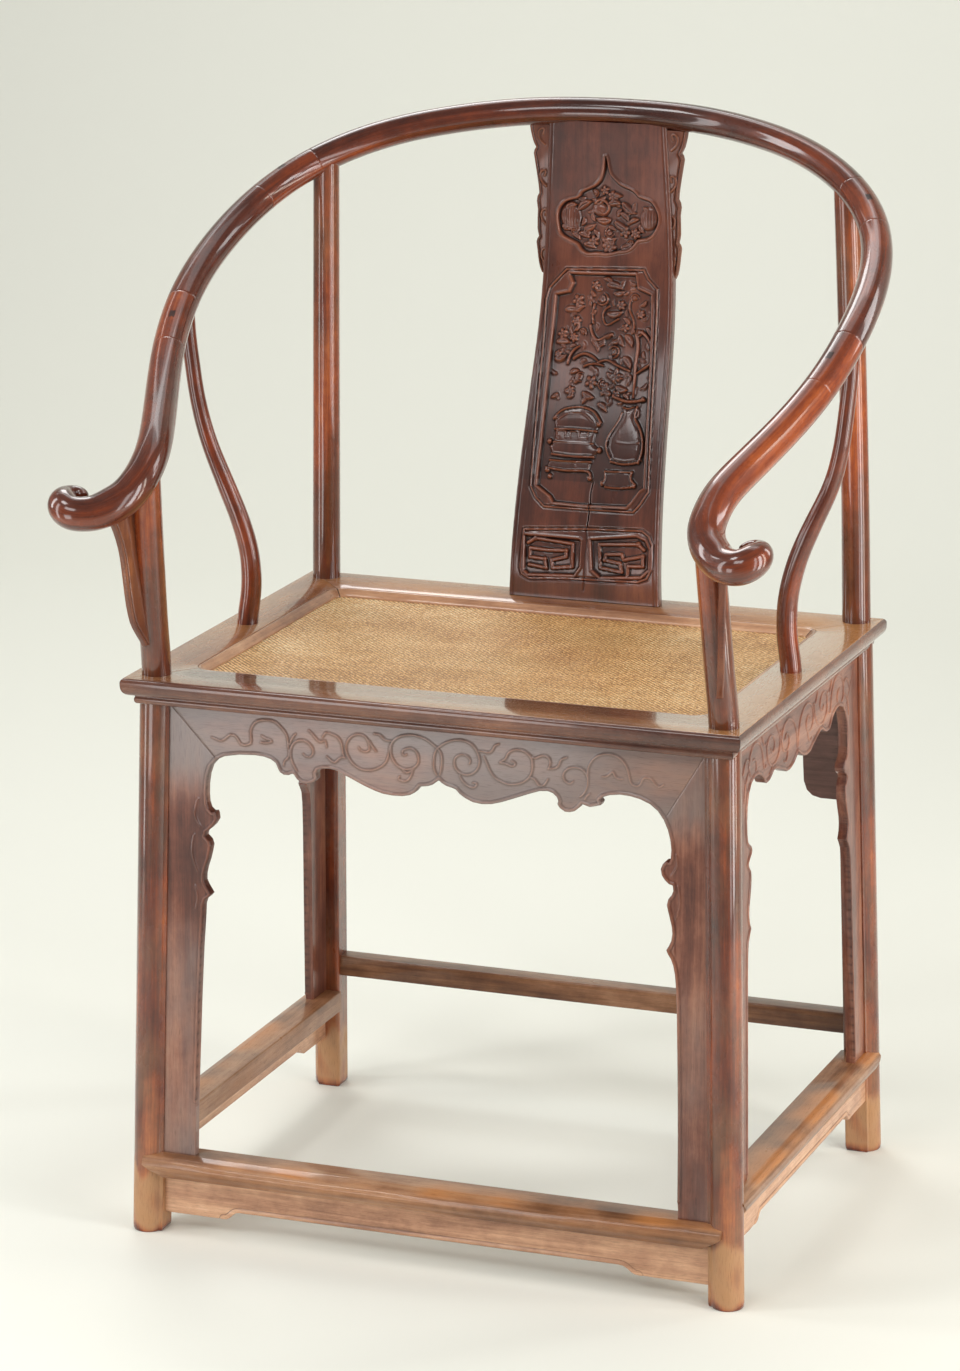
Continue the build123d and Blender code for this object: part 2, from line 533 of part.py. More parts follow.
def side_apron(side):
    """Top board and the two upright strips of a side apron."""
    pl = side_plane(side)
    kk = math.sqrt(1 + lean_x * lean_x)

    def inner(back, z):
        y = leg_axis(side, back, z)[1]
        return y - LEG_IN if back else y + LEG_IN

    def flip(points):
        return [(p[0] * (1 if side > 0 else -1), p[1] * kk) for p in points]

    front_half = [(-d, z) for d, z in SIDE_EDGE]
    back_half = [(d, z) for d, z in SIDE_EDGE]
    tf, tb = inner(False, SEAT_BOTTOM), inner(True, SEAT_BOTTOM)
    bf, bb = inner(False, SIDE_STRETCHER_TOP), inner(True, SIDE_STRETCHER_TOP)
    top_pts = [(tf, SEAT_BOTTOM)] + list(reversed(front_half[:SIDE_CORNER + 1])) + [SIDE_EDGE_TOP] \
        + back_half[:SIDE_CORNER + 1] + [(tb, SEAT_BOTTOM)]
    with BuildPart() as top:
        add(slab(flip(top_pts), pl, -APRON_T, 0.0))
        cx = side * (FOOT_FRONT[0] + lean_x * 508)
        add(block(cx - 2, cx + 2, -160, 166, SEAT_BOTTOM - 3, SEAT_BOTTOM + 4))
        split(bisect_by=Plane.XY.offset(SEAT_BOTTOM + 4), keep=Keep.BOTTOM)
    with BuildPart() as strip_f:
        add(slab(flip([(bf, SIDE_STRETCHER_TOP - 2), (-166.0, SIDE_STRETCHER_TOP - 2)]
                      + list(reversed(front_half[SIDE_CORNER:])) + [(tf, SEAT_BOTTOM)]), pl, -APRON_T, 0.0))
        split(bisect_by=Plane.XY.offset(SIDE_STRETCHER_TOP), keep=Keep.TOP)
        add(slab(flip([(bf + 6, SIDE_STRETCHER_TOP + 12), (bf - TONGUE, SIDE_STRETCHER_TOP + 12),
                       (tf - TONGUE, SEAT_BOTTOM - 14), (tf + 6, SEAT_BOTTOM - 14)]), pl, -6.5, -2.5))
    with BuildPart() as strip_b:
        add(slab(flip([(tb, SEAT_BOTTOM)] + back_half[SIDE_CORNER:]
                      + [(166.0, SIDE_STRETCHER_TOP - 2), (bb, SIDE_STRETCHER_TOP - 2)]), pl, -APRON_T, 0.0))
        split(bisect_by=Plane.XY.offset(SIDE_STRETCHER_TOP), keep=Keep.TOP)
        add(slab(flip([(bb - 6, SIDE_STRETCHER_TOP + 12), (bb + TONGUE, SIDE_STRETCHER_TOP + 12),
                       (tb + TONGUE, SEAT_BOTTOM - 14), (tb - 6, SEAT_BOTTOM - 14)]), pl, -6.5, -2.5))
    return top, strip_f, strip_b


side_apron_right, side_apron_strip_right_front, side_apron_strip_right_back = side_apron(1)
side_apron_left, side_apron_strip_left_front, side_apron_strip_left_back = side_apron(-1)

# plain back apron with two deeper ends
lean_b = (HEAD_BACK[1] - FOOT_BACK[1]) / SEAT_TOP
BACK_PLANE = Plane(origin=(0, FOOT_BACK[1] + 4.0, 0), x_dir=(-1, 0, 0), z_dir=Vector(0, 1, -lean_b).normalized())


def back_edge_x(z):
    return abs(leg_axis(1, True, z)[0]) - LEG_IN


with BuildPart() as back_apron:
    xt, xb = back_edge_x(SEAT_BOTTOM), back_edge_x(352)
    add(slab([(-xt, SEAT_BOTTOM), (-xb, 352.0), (-236, 352.0), (-228, 354.0), (-222.5, 359.0), (-219.5, 368.0),
              (-218.5, 400.0), (-216.0, 432.0), (-206.0, 447.0), (-188.0, 454.0), (188.0, 454.0), (206.0, 447.0),
              (216.0, 432.0), (218.5, 400.0), (219.5, 368.0), (222.5, 359.0), (228, 354.0), (236, 352.0),
              (xb, 352.0), (xt, SEAT_BOTTOM)], BACK_PLANE, -8.0, 0.0))
    for side in (1, -1):
        add(slab([(side * (xb - 6), 366), (side * (xb + TONGUE), 366), (side * (xt + TONGUE), SEAT_BOTTOM - 14),
                  (side * (xt - 6), SEAT_BOTTOM - 14)], BACK_PLANE, -6.0, -2.0))
    yb = FOOT_BACK[1] + lean_b * 508
    add(block(-220, 220, yb - 2, yb + 2, SEAT_BOTTOM - 3, SEAT_BOTTOM + 4))
    split(bisect_by=Plane.XY.offset(SEAT_BOTTOM + 4), keep=Keep.BOTTOM)

# ---------------------------------------------------------------------------
# small shaped boards: spandrels before the front posts, flanges beside the splat
# ---------------------------------------------------------------------------
SPANDREL_TURN = math.radians(22)


def spandrel(side):
    """Board in the upright plane that turns outward by 22 degrees from straight ahead."""
    out = Vector(side * math.sin(SPANDREL_TURN), -math.cos(SPANDREL_TURN), 0)
    # outline as (distance from the post's axis at seat height + forward lean, z)
    pl = Plane(origin=(side * 267.4, -205.2, 0), x_dir=out, z_dir=out.cross(Vector(0, 0, 1)))
    edge = [(13.5, 560.0), (17.0, 566.0), (22.0, 573.5), (27.5, 584.0), (31.5, 600.0), (34.5, 622.0),
            (37.5, 645.0), (41.5, 661.0), (47.5, 676.0), (51.5, 688.0), (51.5, 712.0), (8.0, 712.0), (8.0, 640.0),
            (6.0, 560.0)]
    with BuildPart() as board:
        add(slab(edge, pl, -3.2, 3.2))
    return board


SPANDREL_R = spandrel(1)
SPANDREL_L = spandrel(-1)


def splat_flange(side):
    cx = SPLAT_LEAN
    w0 = 59.5
    pts = [(w0 - 2.0, 826.0), (w0 + 8.0, 829.0), (w0 + 11.0, 838.0), (w0 + 12.5, 850.0), (w0 + 13.5, 858.0),
           (w0 + 11.0, 864.0), (w0 + 12.5, 872.0), (w0 + 12.0, 890.0), (w0 + 13.0, 898.0), (w0 + 10.5, 906.0),
           (w0 + 11.5, 916.0), (w0 + 14.0, 932.0), (w0 + 16.0, 944.0), (w0 + 13.5, 950.0), (w0 + 16.5, 956.0),
           (w0 + 19.0, 966.0), (w0 + 20.0, 990.0), (w0 - 2.0, 990.0)]
    with BuildPart() as board:
        add(slab([(cx + side * p[0], p[1]) for p in pts],
                 Plane(origin=(0, 278.4, 0), x_dir=(1, 0, 0), z_dir=(0, -1, 0)), -7.0, 0.0))
    return board


# ---------------------------------------------------------------------------
# splat: one S-curved board
# ---------------------------------------------------------------------------
with BuildPart() as back_splat:
    with BuildSketch(Plane.YZ.offset(-90)):
        with BuildLine():
            front = Spline(*[(p[0], p[1]) for p in SPLAT_FACE])
            back = Spline(*[(p[0] + SPLAT_T, p[1]) for p in reversed(SPLAT_FACE)])
            Line(front @ 1, back @ 0)
            Line(back @ 1, front @ 0)
        make_face()
    extrude(amount=180)
    with BuildSketch(Plane(origin=(0, 150, 0), x_dir=(1, 0, 0), z_dir=(0, -1, 0))) as taper_outline:
        with BuildLine():
            Polyline((-SPLAT_HALF_BOTTOM + 1.5, 529.5), (SPLAT_HALF_BOTTOM + 1.5, 529.5),
                     (SPLAT_HALF_TOP + SPLAT_LEAN, 979.0), (-SPLAT_HALF_TOP + SPLAT_LEAN, 979.0), close=True)
        make_face()
    extrude(taper_outline.sketch, amount=-200, mode=Mode.INTERSECT)
    add(RAIL_CUTTERS[0], mode=Mode.SUBTRACT)
    add(SPLAT_TENON)
    add(block(-50, 53, 190.5, 196.5, 510, 531))

FL_R = splat_flange(1)
FL_L = splat_flange(-1)
with BuildPart() as splat_flange_right:
    add(FL_R.part)
    add(RAIL_CUTTERS[0], mode=Mode.SUBTRACT)
    add(back_splat.part, mode=Mode.SUBTRACT)
    split(bisect_by=Plane.XY.offset(976), keep=Keep.BOTTOM)
with BuildPart() as splat_flange_left:
    add(FL_L.part)
    add(RAIL_CUTTERS[0], mode=Mode.SUBTRACT)
    add(back_splat.part, mode=Mode.SUBTRACT)
    split(bisect_by=Plane.XY.offset(976), keep=Keep.BOTTOM)

# ---------------------------------------------------------------------------
# legs with their posts
# ---------------------------------------------------------------------------
LOWER_FITTINGS = [foot_rest.part, side_stretcher_right.part, side_stretcher_left.part, back_stretcher.part,
                  footrest_apron.part, side_stretcher_apron_right.part, side_stretcher_apron_left.part,
                  front_apron_strip_left.part, front_apron_strip_right.part,
                  side_apron_strip_right_front.part, side_apron_strip_right_back.part,
                  side_apron_strip_left_front.part, side_apron_strip_left_back.part,
                  back_apron.part, front_apron.part, side_apron_right.part, side_apron_left.part]


def post_stations(side, back):
    post = BACK_POST if back else FRONT_POST
    a = leg_axis(side, back, SEAT_BOTTOM - 6)
    return [(a[0], a[1], SEAT_BOTTOM - 6, POST_R)] + [(side * p[0],) + tuple(p[1:]) for p in post]


POST_BARS = {(s, b): round_bar(post_stations(s, b)) for s in (1, -1) for b in (False, True)}


def near(piece, x, y):
    b = piece.bounding_box()
    return b.min.X - 25 < x < b.max.X + 25 and b.min.Y - 25 < y < b.max.Y + 25


def whole_leg(side, back):
    ax = leg_axis(side, back, 250)
    tip = (BACK_POST if back else FRONT_POST)[-1]
    with BuildPart() as leg:
        add(LEG_BLANKS[(side, back)])
        for fit in LOWER_FITTINGS:
            if near(fit, ax[0], ax[1]):
                add(fit, mode=Mode.SUBTRACT)
        add(POST_BARS[(side, back)])
        cutters = RAIL_CUTTERS[0:3] if back else RAIL_CUTTERS[3:5]
        for c in cutters:
            add(c, mode=Mode.SUBTRACT)
        add(rod((side * tip[0], tip[1], tip[2] - 30), (side * tip[0], tip[1], tip[2] + 7), TENON_R))
        if not back:
            sp = SPANDREL_R if side > 0 else SPANDREL_L
            add(sp.part, mode=Mode.SUBTRACT)
    return leg


front_leg_right = whole_leg(1, False)
front_leg_left = whole_leg(-1, False)
rear_leg_right = whole_leg(1, True)
rear_leg_left = whole_leg(-1, True)

with BuildPart() as post_spandrel_right:
    add(SPANDREL_R.part)
    add(RAIL_CUTTERS[3], mode=Mode.SUBTRACT)
    add(rod((263.1, -223.6, 640), (263.1, -223.6, 725), TENON_R), mode=Mode.SUBTRACT)
    split(bisect_by=Plane(origin=(265.0, -218.0, 650), z_dir=(math.sin(SPANDREL_TURN), -math.cos(SPANDREL_TURN), -0.155)), keep=Keep.TOP)
    split(bisect_by=Plane.XY.offset(708), keep=Keep.BOTTOM)
    add(front_leg_right.part, mode=Mode.SUBTRACT)
with BuildPart() as post_spandrel_left:
    add(SPANDREL_L.part)
    add(RAIL_CUTTERS[4], mode=Mode.SUBTRACT)
    add(rod((-263.1, -223.6, 640), (-263.1, -223.6, 725), TENON_R), mode=Mode.SUBTRACT)
    split(bisect_by=Plane(origin=(-265.0, -218.0, 650), z_dir=(-math.sin(SPANDREL_TURN), -math.cos(SPANDREL_TURN), -0.155)), keep=Keep.TOP)
    split(bisect_by=Plane.XY.offset(708), keep=Keep.BOTTOM)
    add(front_leg_left.part, mode=Mode.SUBTRACT)


def side_post(side):
    stations = [(side * 268.4, 3.2, 520.0, 9.9)] + [(side * p[0],) + tuple(p[1:]) for p in SIDE_POST]
    x, y, z, r = SIDE_POST[-1]
    with BuildPart() as post:
        add(round_bar(stations))
        for c in (RAIL_CUTTERS[1:5]):
            add(c, mode=Mode.SUBTRACT)
        split(bisect_by=Plane.XY.offset(SEAT_TOP), keep=Keep.TOP)
        add(rod((side * x, y, z - 16), (side * x, y, z + 7), 4.2))
        add(rod((side * SIDE_POST[0][0], SIDE_POST[0][1], SEAT_TOP - 14), (side * SIDE_POST[0][0], SIDE_POST[0][1], SEAT_TOP + 4), 6.5))
    return post


side_post_right = side_post(1)
side_post_left = side_post(-1)

# ---------------------------------------------------------------------------
# seat frame: four mitred members, moulded outer edge, ledge for the cane
# ---------------------------------------------------------------------------
def rounded_box(hw, y0, y1, r, z0, z1):
    with BuildPart() as shape:
        with BuildSketch(Plane.XY.offset(z0)):
            with Locations((0, (y0 + y1) / 2)):
                RectangleRounded(2 * hw, y1 - y0, r)
        extrude(amount=z1 - z0)
    return shape.part


UPPER_CUT = rounded_box(OPEN_HALF_W, OPEN_FRONT, OPEN_BACK, OPEN_R, LEDGE_Z, SEAT_TOP + 1)
LOWER_CUT = rounded_box(OPEN_HALF_W - LEDGE, OPEN_FRONT + LEDGE, OPEN_BACK - LEDGE, 8.0, SEAT_BOTTOM - 1, LEDGE_Z + 1)


def edge_profile():
    """Moulded edge: thin lip, thumb curve running in, small bead at the foot (inset, height)."""
    with BuildLine() as prof:
        Line((0.0, 529.5), (0.0, 527.4))
        Spline((0.0, 527.4), (1.2, 521.4), (4.2, 516.4), (9.2, 512.6), tangents=((0.05, -1), (1, -0.35)))
        Line((9.2, 512.6), (10.6, 511.9))
        ThreePointArc((10.6, 511.9), (9.4, 508.1), (11.6, 504.5))
        Line((11.6, 504.5), (75.0, 504.5))
        Line((75.0, 504.5), (75.0, 529.5))
        Line((75.0, 529.5), (0.0, 529.5))
    return prof.line


def miter_plane(sx, back):
    """Upright plane through a seat corner; its normal points along +Y (front) or -Y (back)."""
    outer = Vector(sx * SEAT_HALF_W, SEAT_BACK if back else SEAT_FRONT, 0)
    inner = Vector(sx * OPEN_HALF_W, OPEN_BACK if back else OPEN_FRONT, 0)
    d = (inner - outer).normalized()
    n = Vector(-d.Y, d.X, 0)
    if (n.Y < 0) != back:
        n = n * -1
    return Plane(origin=outer, z_dir=n)


with BuildPart() as side_post_holes:
    for s in (1, -1):
        add(rod((s * SIDE_POST[0][0], SIDE_POST[0][1], SEAT_TOP - 14), (s * SIDE_POST[0][0], SIDE_POST[0][1], SEAT_TOP + 4), 6.5))

SEAT_CUTS = [UPPER_CUT, LOWER_CUT, side_post_holes.part] + list(POST_BARS.values()) \
    + [front_apron.part, side_apron_right.part, side_apron_left.part, back_apron.part,
       block(-50, 53, 190.5, 196.5, 510, 531)]

BRACE_X = 78.0
BRACE_HALF = 10.0


def brace(x):
    """Bowed batten under the cane, let into the front and back members."""
    y0, y1 = OPEN_FRONT + LEDGE - 8, OPEN_BACK - LEDGE + 8
    with BuildPart() as batten:
        with BuildSketch(Plane.YZ.offset(x - BRACE_HALF)):
            with BuildLine():
                ThreePointArc((y0, 515.6), ((y0 + y1) / 2, 503.0), (y1, 515.6))
                Line((y1, 515.6), (y1, 506.0))
                ThreePointArc((y1, 506.0), ((y0 + y1) / 2, 492.0), (y0, 506.0))
                Line((y0, 506.0), (y0, 515.6))
            make_face()
        extrude(amount=2 * BRACE_HALF)
    return batten


BRACE_R = brace(BRACE_X)
BRACE_L = brace(-BRACE_X)

# tenons of the side members, across the mitres
CORNER_TENONS = {}
for s in (1, -1):
    for back in (False, True):
        y0, y1 = (154.5, 181.0) if back else (-188.0, -162.4)
        CORNER_TENONS[(s, back)] = block(s * 240.0, s * 252.0, y0, y1, 508.5, 515.5)


def seat_member_x(back):
    """Front or back member."""
    y = SEAT_BACK if back else SEAT_FRONT
    with BuildPart() as member:
        with BuildSketch(Plane(origin=(-SEAT_HALF_W, y, 0), x_dir=(0, -1 if back else 1, 0), z_dir=(1, 0, 0) if not back else (-1, 0, 0))) as section:
            with BuildLine():
                add(edge_profile())
            make_face()
        extrude(section.sketch, amount=2 * SEAT_HALF_W if not back else -2 * SEAT_HALF_W)
        for s in (1, -1):
            split(bisect_by=miter_plane(s, back), keep=Keep.BOTTOM)
        for cut in SEAT_CUTS:
            add(cut, mode=Mode.SUBTRACT)
        for s in (1, -1):
            add(CORNER_TENONS[(s, back)], mode=Mode.SUBTRACT)
        add(BRACE_R.part, mode=Mode.SUBTRACT)
        add(BRACE_L.part, mode=Mode.SUBTRACT)
    return member


def seat_member_y(side):
    """Left or right member."""
    with BuildPart() as member:
        with BuildSketch(Plane(origin=(side * SEAT_HALF_W, SEAT_FRONT, 0), x_dir=(-side, 0, 0), z_dir=(0, side, 0))) as section:
            with BuildLine():
                add(edge_profile())
            make_face()
        extrude(section.sketch, amount=side * (SEAT_BACK - SEAT_FRONT))
        split(bisect_by=miter_plane(side, False), keep=Keep.TOP)
        split(bisect_by=miter_plane(side, True), keep=Keep.TOP)
        for cut in SEAT_CUTS:
            add(cut, mode=Mode.SUBTRACT)
        for back in (False, True):
            add(CORNER_TENONS[(side, back)])
    return member


seat_rail_front = seat_member_x(False)
seat_rail_back = seat_member_x(True)
seat_rail_right = seat_member_y(1)
seat_rail_left = seat_member_y(-1)

# strips that cover the edge of the cane, mitred at the corners
with BuildPart() as bead_ring:
    add(rounded_box(OPEN_HALF_W, OPEN_FRONT, OPEN_BACK, OPEN_R, LEDGE_Z + CANE_T, SEAT_TOP - 0.3))
    with BuildSketch(Plane.XY.offset(LEDGE_Z + CANE_T)) as hole:
        with Locations((0, (OPEN_FRONT + OPEN_BACK) / 2)):
            RectangleRounded(2 * (OPEN_HALF_W - BEAD_W), OPEN_BACK - OPEN_FRONT - 2 * BEAD_W, OPEN_R - BEAD_W + 2)
    extrude(hole.sketch, amount=SEAT_TOP - 0.3 - LEDGE_Z - CANE_T, taper=-40, mode=Mode.SUBTRACT)


def bead(index):
    """One side of the ring: 0 front, 1 right, 2 back, 3 left."""
    c = {(1, False): (OPEN_HALF_W, OPEN_FRONT), (-1, False): (-OPEN_HALF_W, OPEN_FRONT),
         (1, True): (OPEN_HALF_W, OPEN_BACK), (-1, True): (-OPEN_HALF_W, OPEN_BACK)}
    span = 60.0
    pf = {(1, False): (c[(1, False)][0] - span, c[(1, False)][1] + span), (-1, False): (c[(-1, False)][0] + span, c[(-1, False)][1] + span),
          (1, True): (c[(1, True)][0] - span, c[(1, True)][1] - span), (-1, True): (c[(-1, True)][0] + span, c[(-1, True)][1] - span)}
    order = {0: [(-1, False), (1, False)], 1: [(1, False), (1, True)], 2: [(1, True), (-1, True)], 3: [(-1, True), (-1, False)]}[index]
    a, b = order
    out = {0: (0, -40), 1: (40, 0), 2: (0, 40), 3: (-40, 0)}[index]
    ca, cb = c[a], c[b]
    ea = (ca[0] + (ca[0] - pf[a][0]) * 0.5, ca[1] + (ca[1] - pf[a][1]) * 0.5)
    eb = (cb[0] + (cb[0] - pf[b][0]) * 0.5, cb[1] + (cb[1] - pf[b][1]) * 0.5)
    with BuildPart() as region:
        with BuildSketch(Plane.XY.offset(500)) as s:
            with BuildLine():
                Polyline(pf[a], ea, eb, pf[b], close=True)
            make_face()
        extrude(s.sketch, amount=50)
    with BuildPart() as strip:
        add(bead_ring.part)
        add(region.part, mode=Mode.INTERSECT)
    return strip


cane_bead_front = bead(0)
cane_bead_right = bead(1)
cane_bead_back = bead(2)
cane_bead_left = bead(3)

# woven cane mat and the palm-fibre webbing under it
with BuildPart() as cane_seat:
    add(rounded_box(OPEN_HALF_W - 0.3, OPEN_FRONT + 0.3, OPEN_BACK - 0.3, OPEN_R - 0.3, LEDGE_Z, LEDGE_Z + CANE_T))
    # between the strips the mat stands a little proud of its pinched edge
    add(rounded_box(OPEN_HALF_W - BEAD_W - 0.3, OPEN_FRONT + BEAD_W + 0.3, OPEN_BACK - BEAD_W - 0.3, OPEN_R - BEAD_W + 1.7,
                    LEDGE_Z, LEDGE_Z + CANE_T + CANE_PROUD))
with BuildPart() as seat_webbing:
    add(rounded_box(OPEN_HALF_W - LEDGE - 0.2, OPEN_FRONT + LEDGE + 0.2, OPEN_BACK - LEDGE - 0.2, 7.8, LEDGE_Z - 2.8, LEDGE_Z))
    add(BRACE_R.part, mode=Mode.SUBTRACT)
    add(BRACE_L.part, mode=Mode.SUBTRACT)

# ---------------------------------------------------------------------------
# write every piece
# ---------------------------------------------------------------------------
PIECES = {
    "front_leg_left": front_leg_left, "front_leg_right": front_leg_right,
    "rear_leg_left": rear_leg_left, "rear_leg_right": rear_leg_right,
    "crest_rail_back": crest_rail_back,
    "crest_rail_shoulder_left": crest_rail_shoulder_left, "crest_rail_shoulder_right": crest_rail_shoulder_right,
    "crest_rail_arm_left": crest_rail_arm_left, "crest_rail_arm_right": crest_rail_arm_right,
    "scarf_wedge_pins": scarf_wedge_pins,
    "side_post_left": side_post_left, "side_post_right": side_post_right,
    "post_spandrel_left": post_spandrel_left, "post_spandrel_right": post_spandrel_right,
    "back_splat": back_splat, "splat_flange_left": splat_flange_left, "splat_flange_right": splat_flange_right,
    "seat_rail_front": seat_rail_front, "seat_rail_back": seat_rail_back,
    "seat_rail_left": seat_rail_left, "seat_rail_right": seat_rail_right,
    "cane_bead_front": cane_bead_front, "cane_bead_back": cane_bead_back,
    "cane_bead_left": cane_bead_left, "cane_bead_right": cane_bead_right,
    "cane_seat": cane_seat, "seat_webbing": seat_webbing, "seat_brace_left": BRACE_L, "seat_brace_right": BRACE_R,
    "front_apron": front_apron, "front_apron_strip_left": front_apron_strip_left,
    "front_apron_strip_right": front_apron_strip_right,
    "side_apron_left": side_apron_left, "side_apron_strip_left_front": side_apron_strip_left_front,
    "side_apron_strip_left_back": side_apron_strip_left_back,
    "side_apron_right": side_apron_right, "side_apron_strip_right_front": side_apron_strip_right_front,
    "side_apron_strip_right_back": side_apron_strip_right_back,
    "back_apron": back_apron,
    "foot_rest": foot_rest, "footrest_apron": footrest_apron,
    "side_stretcher_left": side_stretcher_left, "side_stretcher_right": side_stretcher_right,
    "side_stretcher_apron_left": side_stretcher_apron_left, "side_stretcher_apron_right": side_stretcher_apron_right,
    "back_stretcher": back_stretcher,
}

for name, piece in PIECES.items():
    piece.part.label = name
    export_step(piece.part, "parts/" + name + ".step")
    print(name, len(piece.part.solids()), round(piece.part.volume / 1000.0, 2), "cm3")
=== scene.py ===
import math

import bmesh
import bpy
import numpy as np
from mathutils import Matrix, Vector


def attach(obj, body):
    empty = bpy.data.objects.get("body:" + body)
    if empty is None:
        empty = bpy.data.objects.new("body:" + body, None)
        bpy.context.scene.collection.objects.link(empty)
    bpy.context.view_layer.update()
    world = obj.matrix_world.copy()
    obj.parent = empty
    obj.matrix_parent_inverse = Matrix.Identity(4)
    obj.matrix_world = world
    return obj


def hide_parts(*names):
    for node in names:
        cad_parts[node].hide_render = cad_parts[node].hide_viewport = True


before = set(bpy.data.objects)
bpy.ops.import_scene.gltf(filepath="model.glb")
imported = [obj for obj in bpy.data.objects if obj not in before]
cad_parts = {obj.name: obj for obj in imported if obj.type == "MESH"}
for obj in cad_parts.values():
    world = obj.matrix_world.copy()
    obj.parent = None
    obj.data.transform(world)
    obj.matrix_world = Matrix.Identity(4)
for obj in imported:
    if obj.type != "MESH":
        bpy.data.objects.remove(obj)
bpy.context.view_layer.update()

rng = np.random.default_rng(7)

# =====================================================================
# numbers of the chair, in millimetres
# =====================================================================
SEAT_TOP, SEAT_BOTTOM = 529.5, 504.5
SEAT_HALF_W, SEAT_FRONT, SEAT_BACK = 294.2, -224.9, 220.5
OPEN_HALF_W, OPEN_FRONT, OPEN_BACK, OPEN_R = 247.0, -170.7, 163.3, 18.0
FOOT_FRONT, FOOT_BACK = (283.0, -214.7), (281.5, 218.3)
HEAD_FRONT, HEAD_BACK = (270.2, -196.6), (270.1, 201.3)

RAIL = [
    (0, 287.8, 986.1, 13.0), (40, 286.3, 985.6, 13.1), (79.6, 281.1, 983.9, 13.2), (118, 270.9, 980.6, 13.3),
    (155, 256.3, 975.8, 13.4), (190.2, 238.6, 969.4, 13.5), (223.3, 218, 960.2, 13.7), (253.5, 195, 947.8, 13.9),
    (279.5, 169, 932.3, 14.1), (299.5, 139.4, 914.4, 14.3), (312.6, 106.4, 896, 14.5), (319.9, 71.5, 877.9, 14.6),
    (322.8, 35.9, 860, 14.7), (322, 0.5, 841.4, 14.8), (317.8, -34, 821.6, 14.9), (310.3, -67.9, 801.8, 15.0),
    (299.9, -101.6, 783, 15.21), (288, -135.6, 765.6, 15.43), (276, -170.1, 749.3, 15.64), (266.7, -205.1, 732.3, 15.9),
    (265.4, -222.6, 722.2, 16.1), (267.2, -239.1, 712, 16.3), (272.5, -250.5, 703.8, 16.45), (280.6, -260.8, 697.9, 16.5),
    (290.9, -270.1, 693.2, 16.0), (301.2, -276.6, 692.2, 15.7), (311.2, -279.7, 693.6, 15.4), (318.6, -276.5, 697.0, 15.0),
    (322.4, -269.2, 700.4, 13.6), (322.2, -262.0, 702.8, 11.2), (318.6, -257.4, 704.3, 8.9), (313.6, -256.6, 704.8, 7.2),
    (309.4, -258.6, 704.4, 5.8), (307.0, -262.0, 703.6, 4.6),
]
FRONT_POST = [
    (270.2, -196.6, 529.5, 13.5), (268.7, -203.4, 571.8, 13.4), (267.2, -209.9, 614.2, 13.3),
    (265.5, -216.1, 656.5, 13.2), (263.7, -221.9, 698.9, 13.0), (262.7, -224.7, 720.1, 12.9),
]
BACK_POST = [
    (270.1, 201.3, 529.5, 13.5), (268.5, 200.3, 612.2, 13.3), (266.6, 198.7, 695.0, 13.1),
    (264.4, 196.3, 777.8, 12.9), (261.8, 193.3, 860.6, 12.7), (259.0, 189.6, 943.4, 12.5),
]
SIDE_POST = [
    (267.8, 3.5, 520.0, 10.0), (267.8, 3.5, 529.5, 9.9), (264.2, 3.9, 558.1, 9.7), (263.4, 3.7, 579.7, 9.5),
    (264.6, 3.1, 596.1, 9.3), (267, 2.3, 609.2, 9.2), (269.9, 1.5, 620.6, 9.1), (273.1, 0.8, 630.9, 9.0),
    (276.5, 0.3, 640.4, 8.9), (280.2, 0.0, 649.4, 8.8), (284, 0.0, 658.2, 8.7), (288, 0.3, 667.2, 8.5),
    (292.3, 0.8, 676.6, 8.3), (296.9, 1.5, 686.5, 8.1), (301.7, 2.3, 697.7, 7.9), (306.5, 2.7, 711.3, 7.7),
    (311, 2.3, 728.7, 7.5), (314.6, 1.6, 748.0, 7.3), (318, 1.0, 775, 7.2), (320.9, 0.6, 803, 7.1), (322.2, 0.5, 836, 7.1),
]
SPLAT_FACE = [
    (186.0, 505.0), (187.8, 529.5), (189.9, 556.0), (194.1, 582.0), (200.1, 608.0), (207.2, 634.0),
    (215.6, 660.0), (224.7, 686.0), (234.4, 712.0), (244.2, 738.0), (253.6, 764.0), (261.6, 790.0),
    (267.6, 816.0), (271.7, 842.0), (274.1, 868.0), (275.3, 894.0), (275.9, 920.0), (276.4, 946.0), (276.8, 979.0),
]
SPLAT_HALF = [(505, 77.0), (529.5, 76.1), (556, 75.2), (582, 74.5), (634, 72.7), (686, 71.0), (738, 69.2), (790, 67.3),
              (842, 65.4), (894, 63.2), (946, 60.5), (985, 58.6)]


# =====================================================================
# curves and meshes
# =====================================================================
def cubic(t, y, ts):
    """Natural cubic spline through (t, y), read at ts."""
    t, y = np.asarray(t, float), np.asarray(y, float)
    n = len(t)
    h = np.diff(t)
    a = np.zeros((n, n))
    b = np.zeros((n,) + y.shape[1:])
    a[0, 0] = a[-1, -1] = 1
    for i in range(1, n - 1):
        a[i, i - 1], a[i, i], a[i, i + 1] = h[i - 1], 2 * (h[i - 1] + h[i]), h[i]
        b[i] = 3 * ((y[i + 1] - y[i]) / h[i] - (y[i] - y[i - 1]) / h[i - 1])
    c = np.linalg.solve(a, b)
    ts = np.asarray(ts, float)
    k = np.clip(np.searchsorted(t, ts, "right") - 1, 0, n - 2)
    d = (ts - t[k])
    hk = h[k]
    if y.ndim > 1:
        d, hk = d[:, None], hk[:, None]
    bk = (y[k + 1] - y[k]) / hk - hk * (2 * c[k] + c[k + 1]) / 3
    dk = (c[k + 1] - c[k]) / (3 * hk)
    return y[k] + bk * d + c[k] * d ** 2 + dk * d ** 3


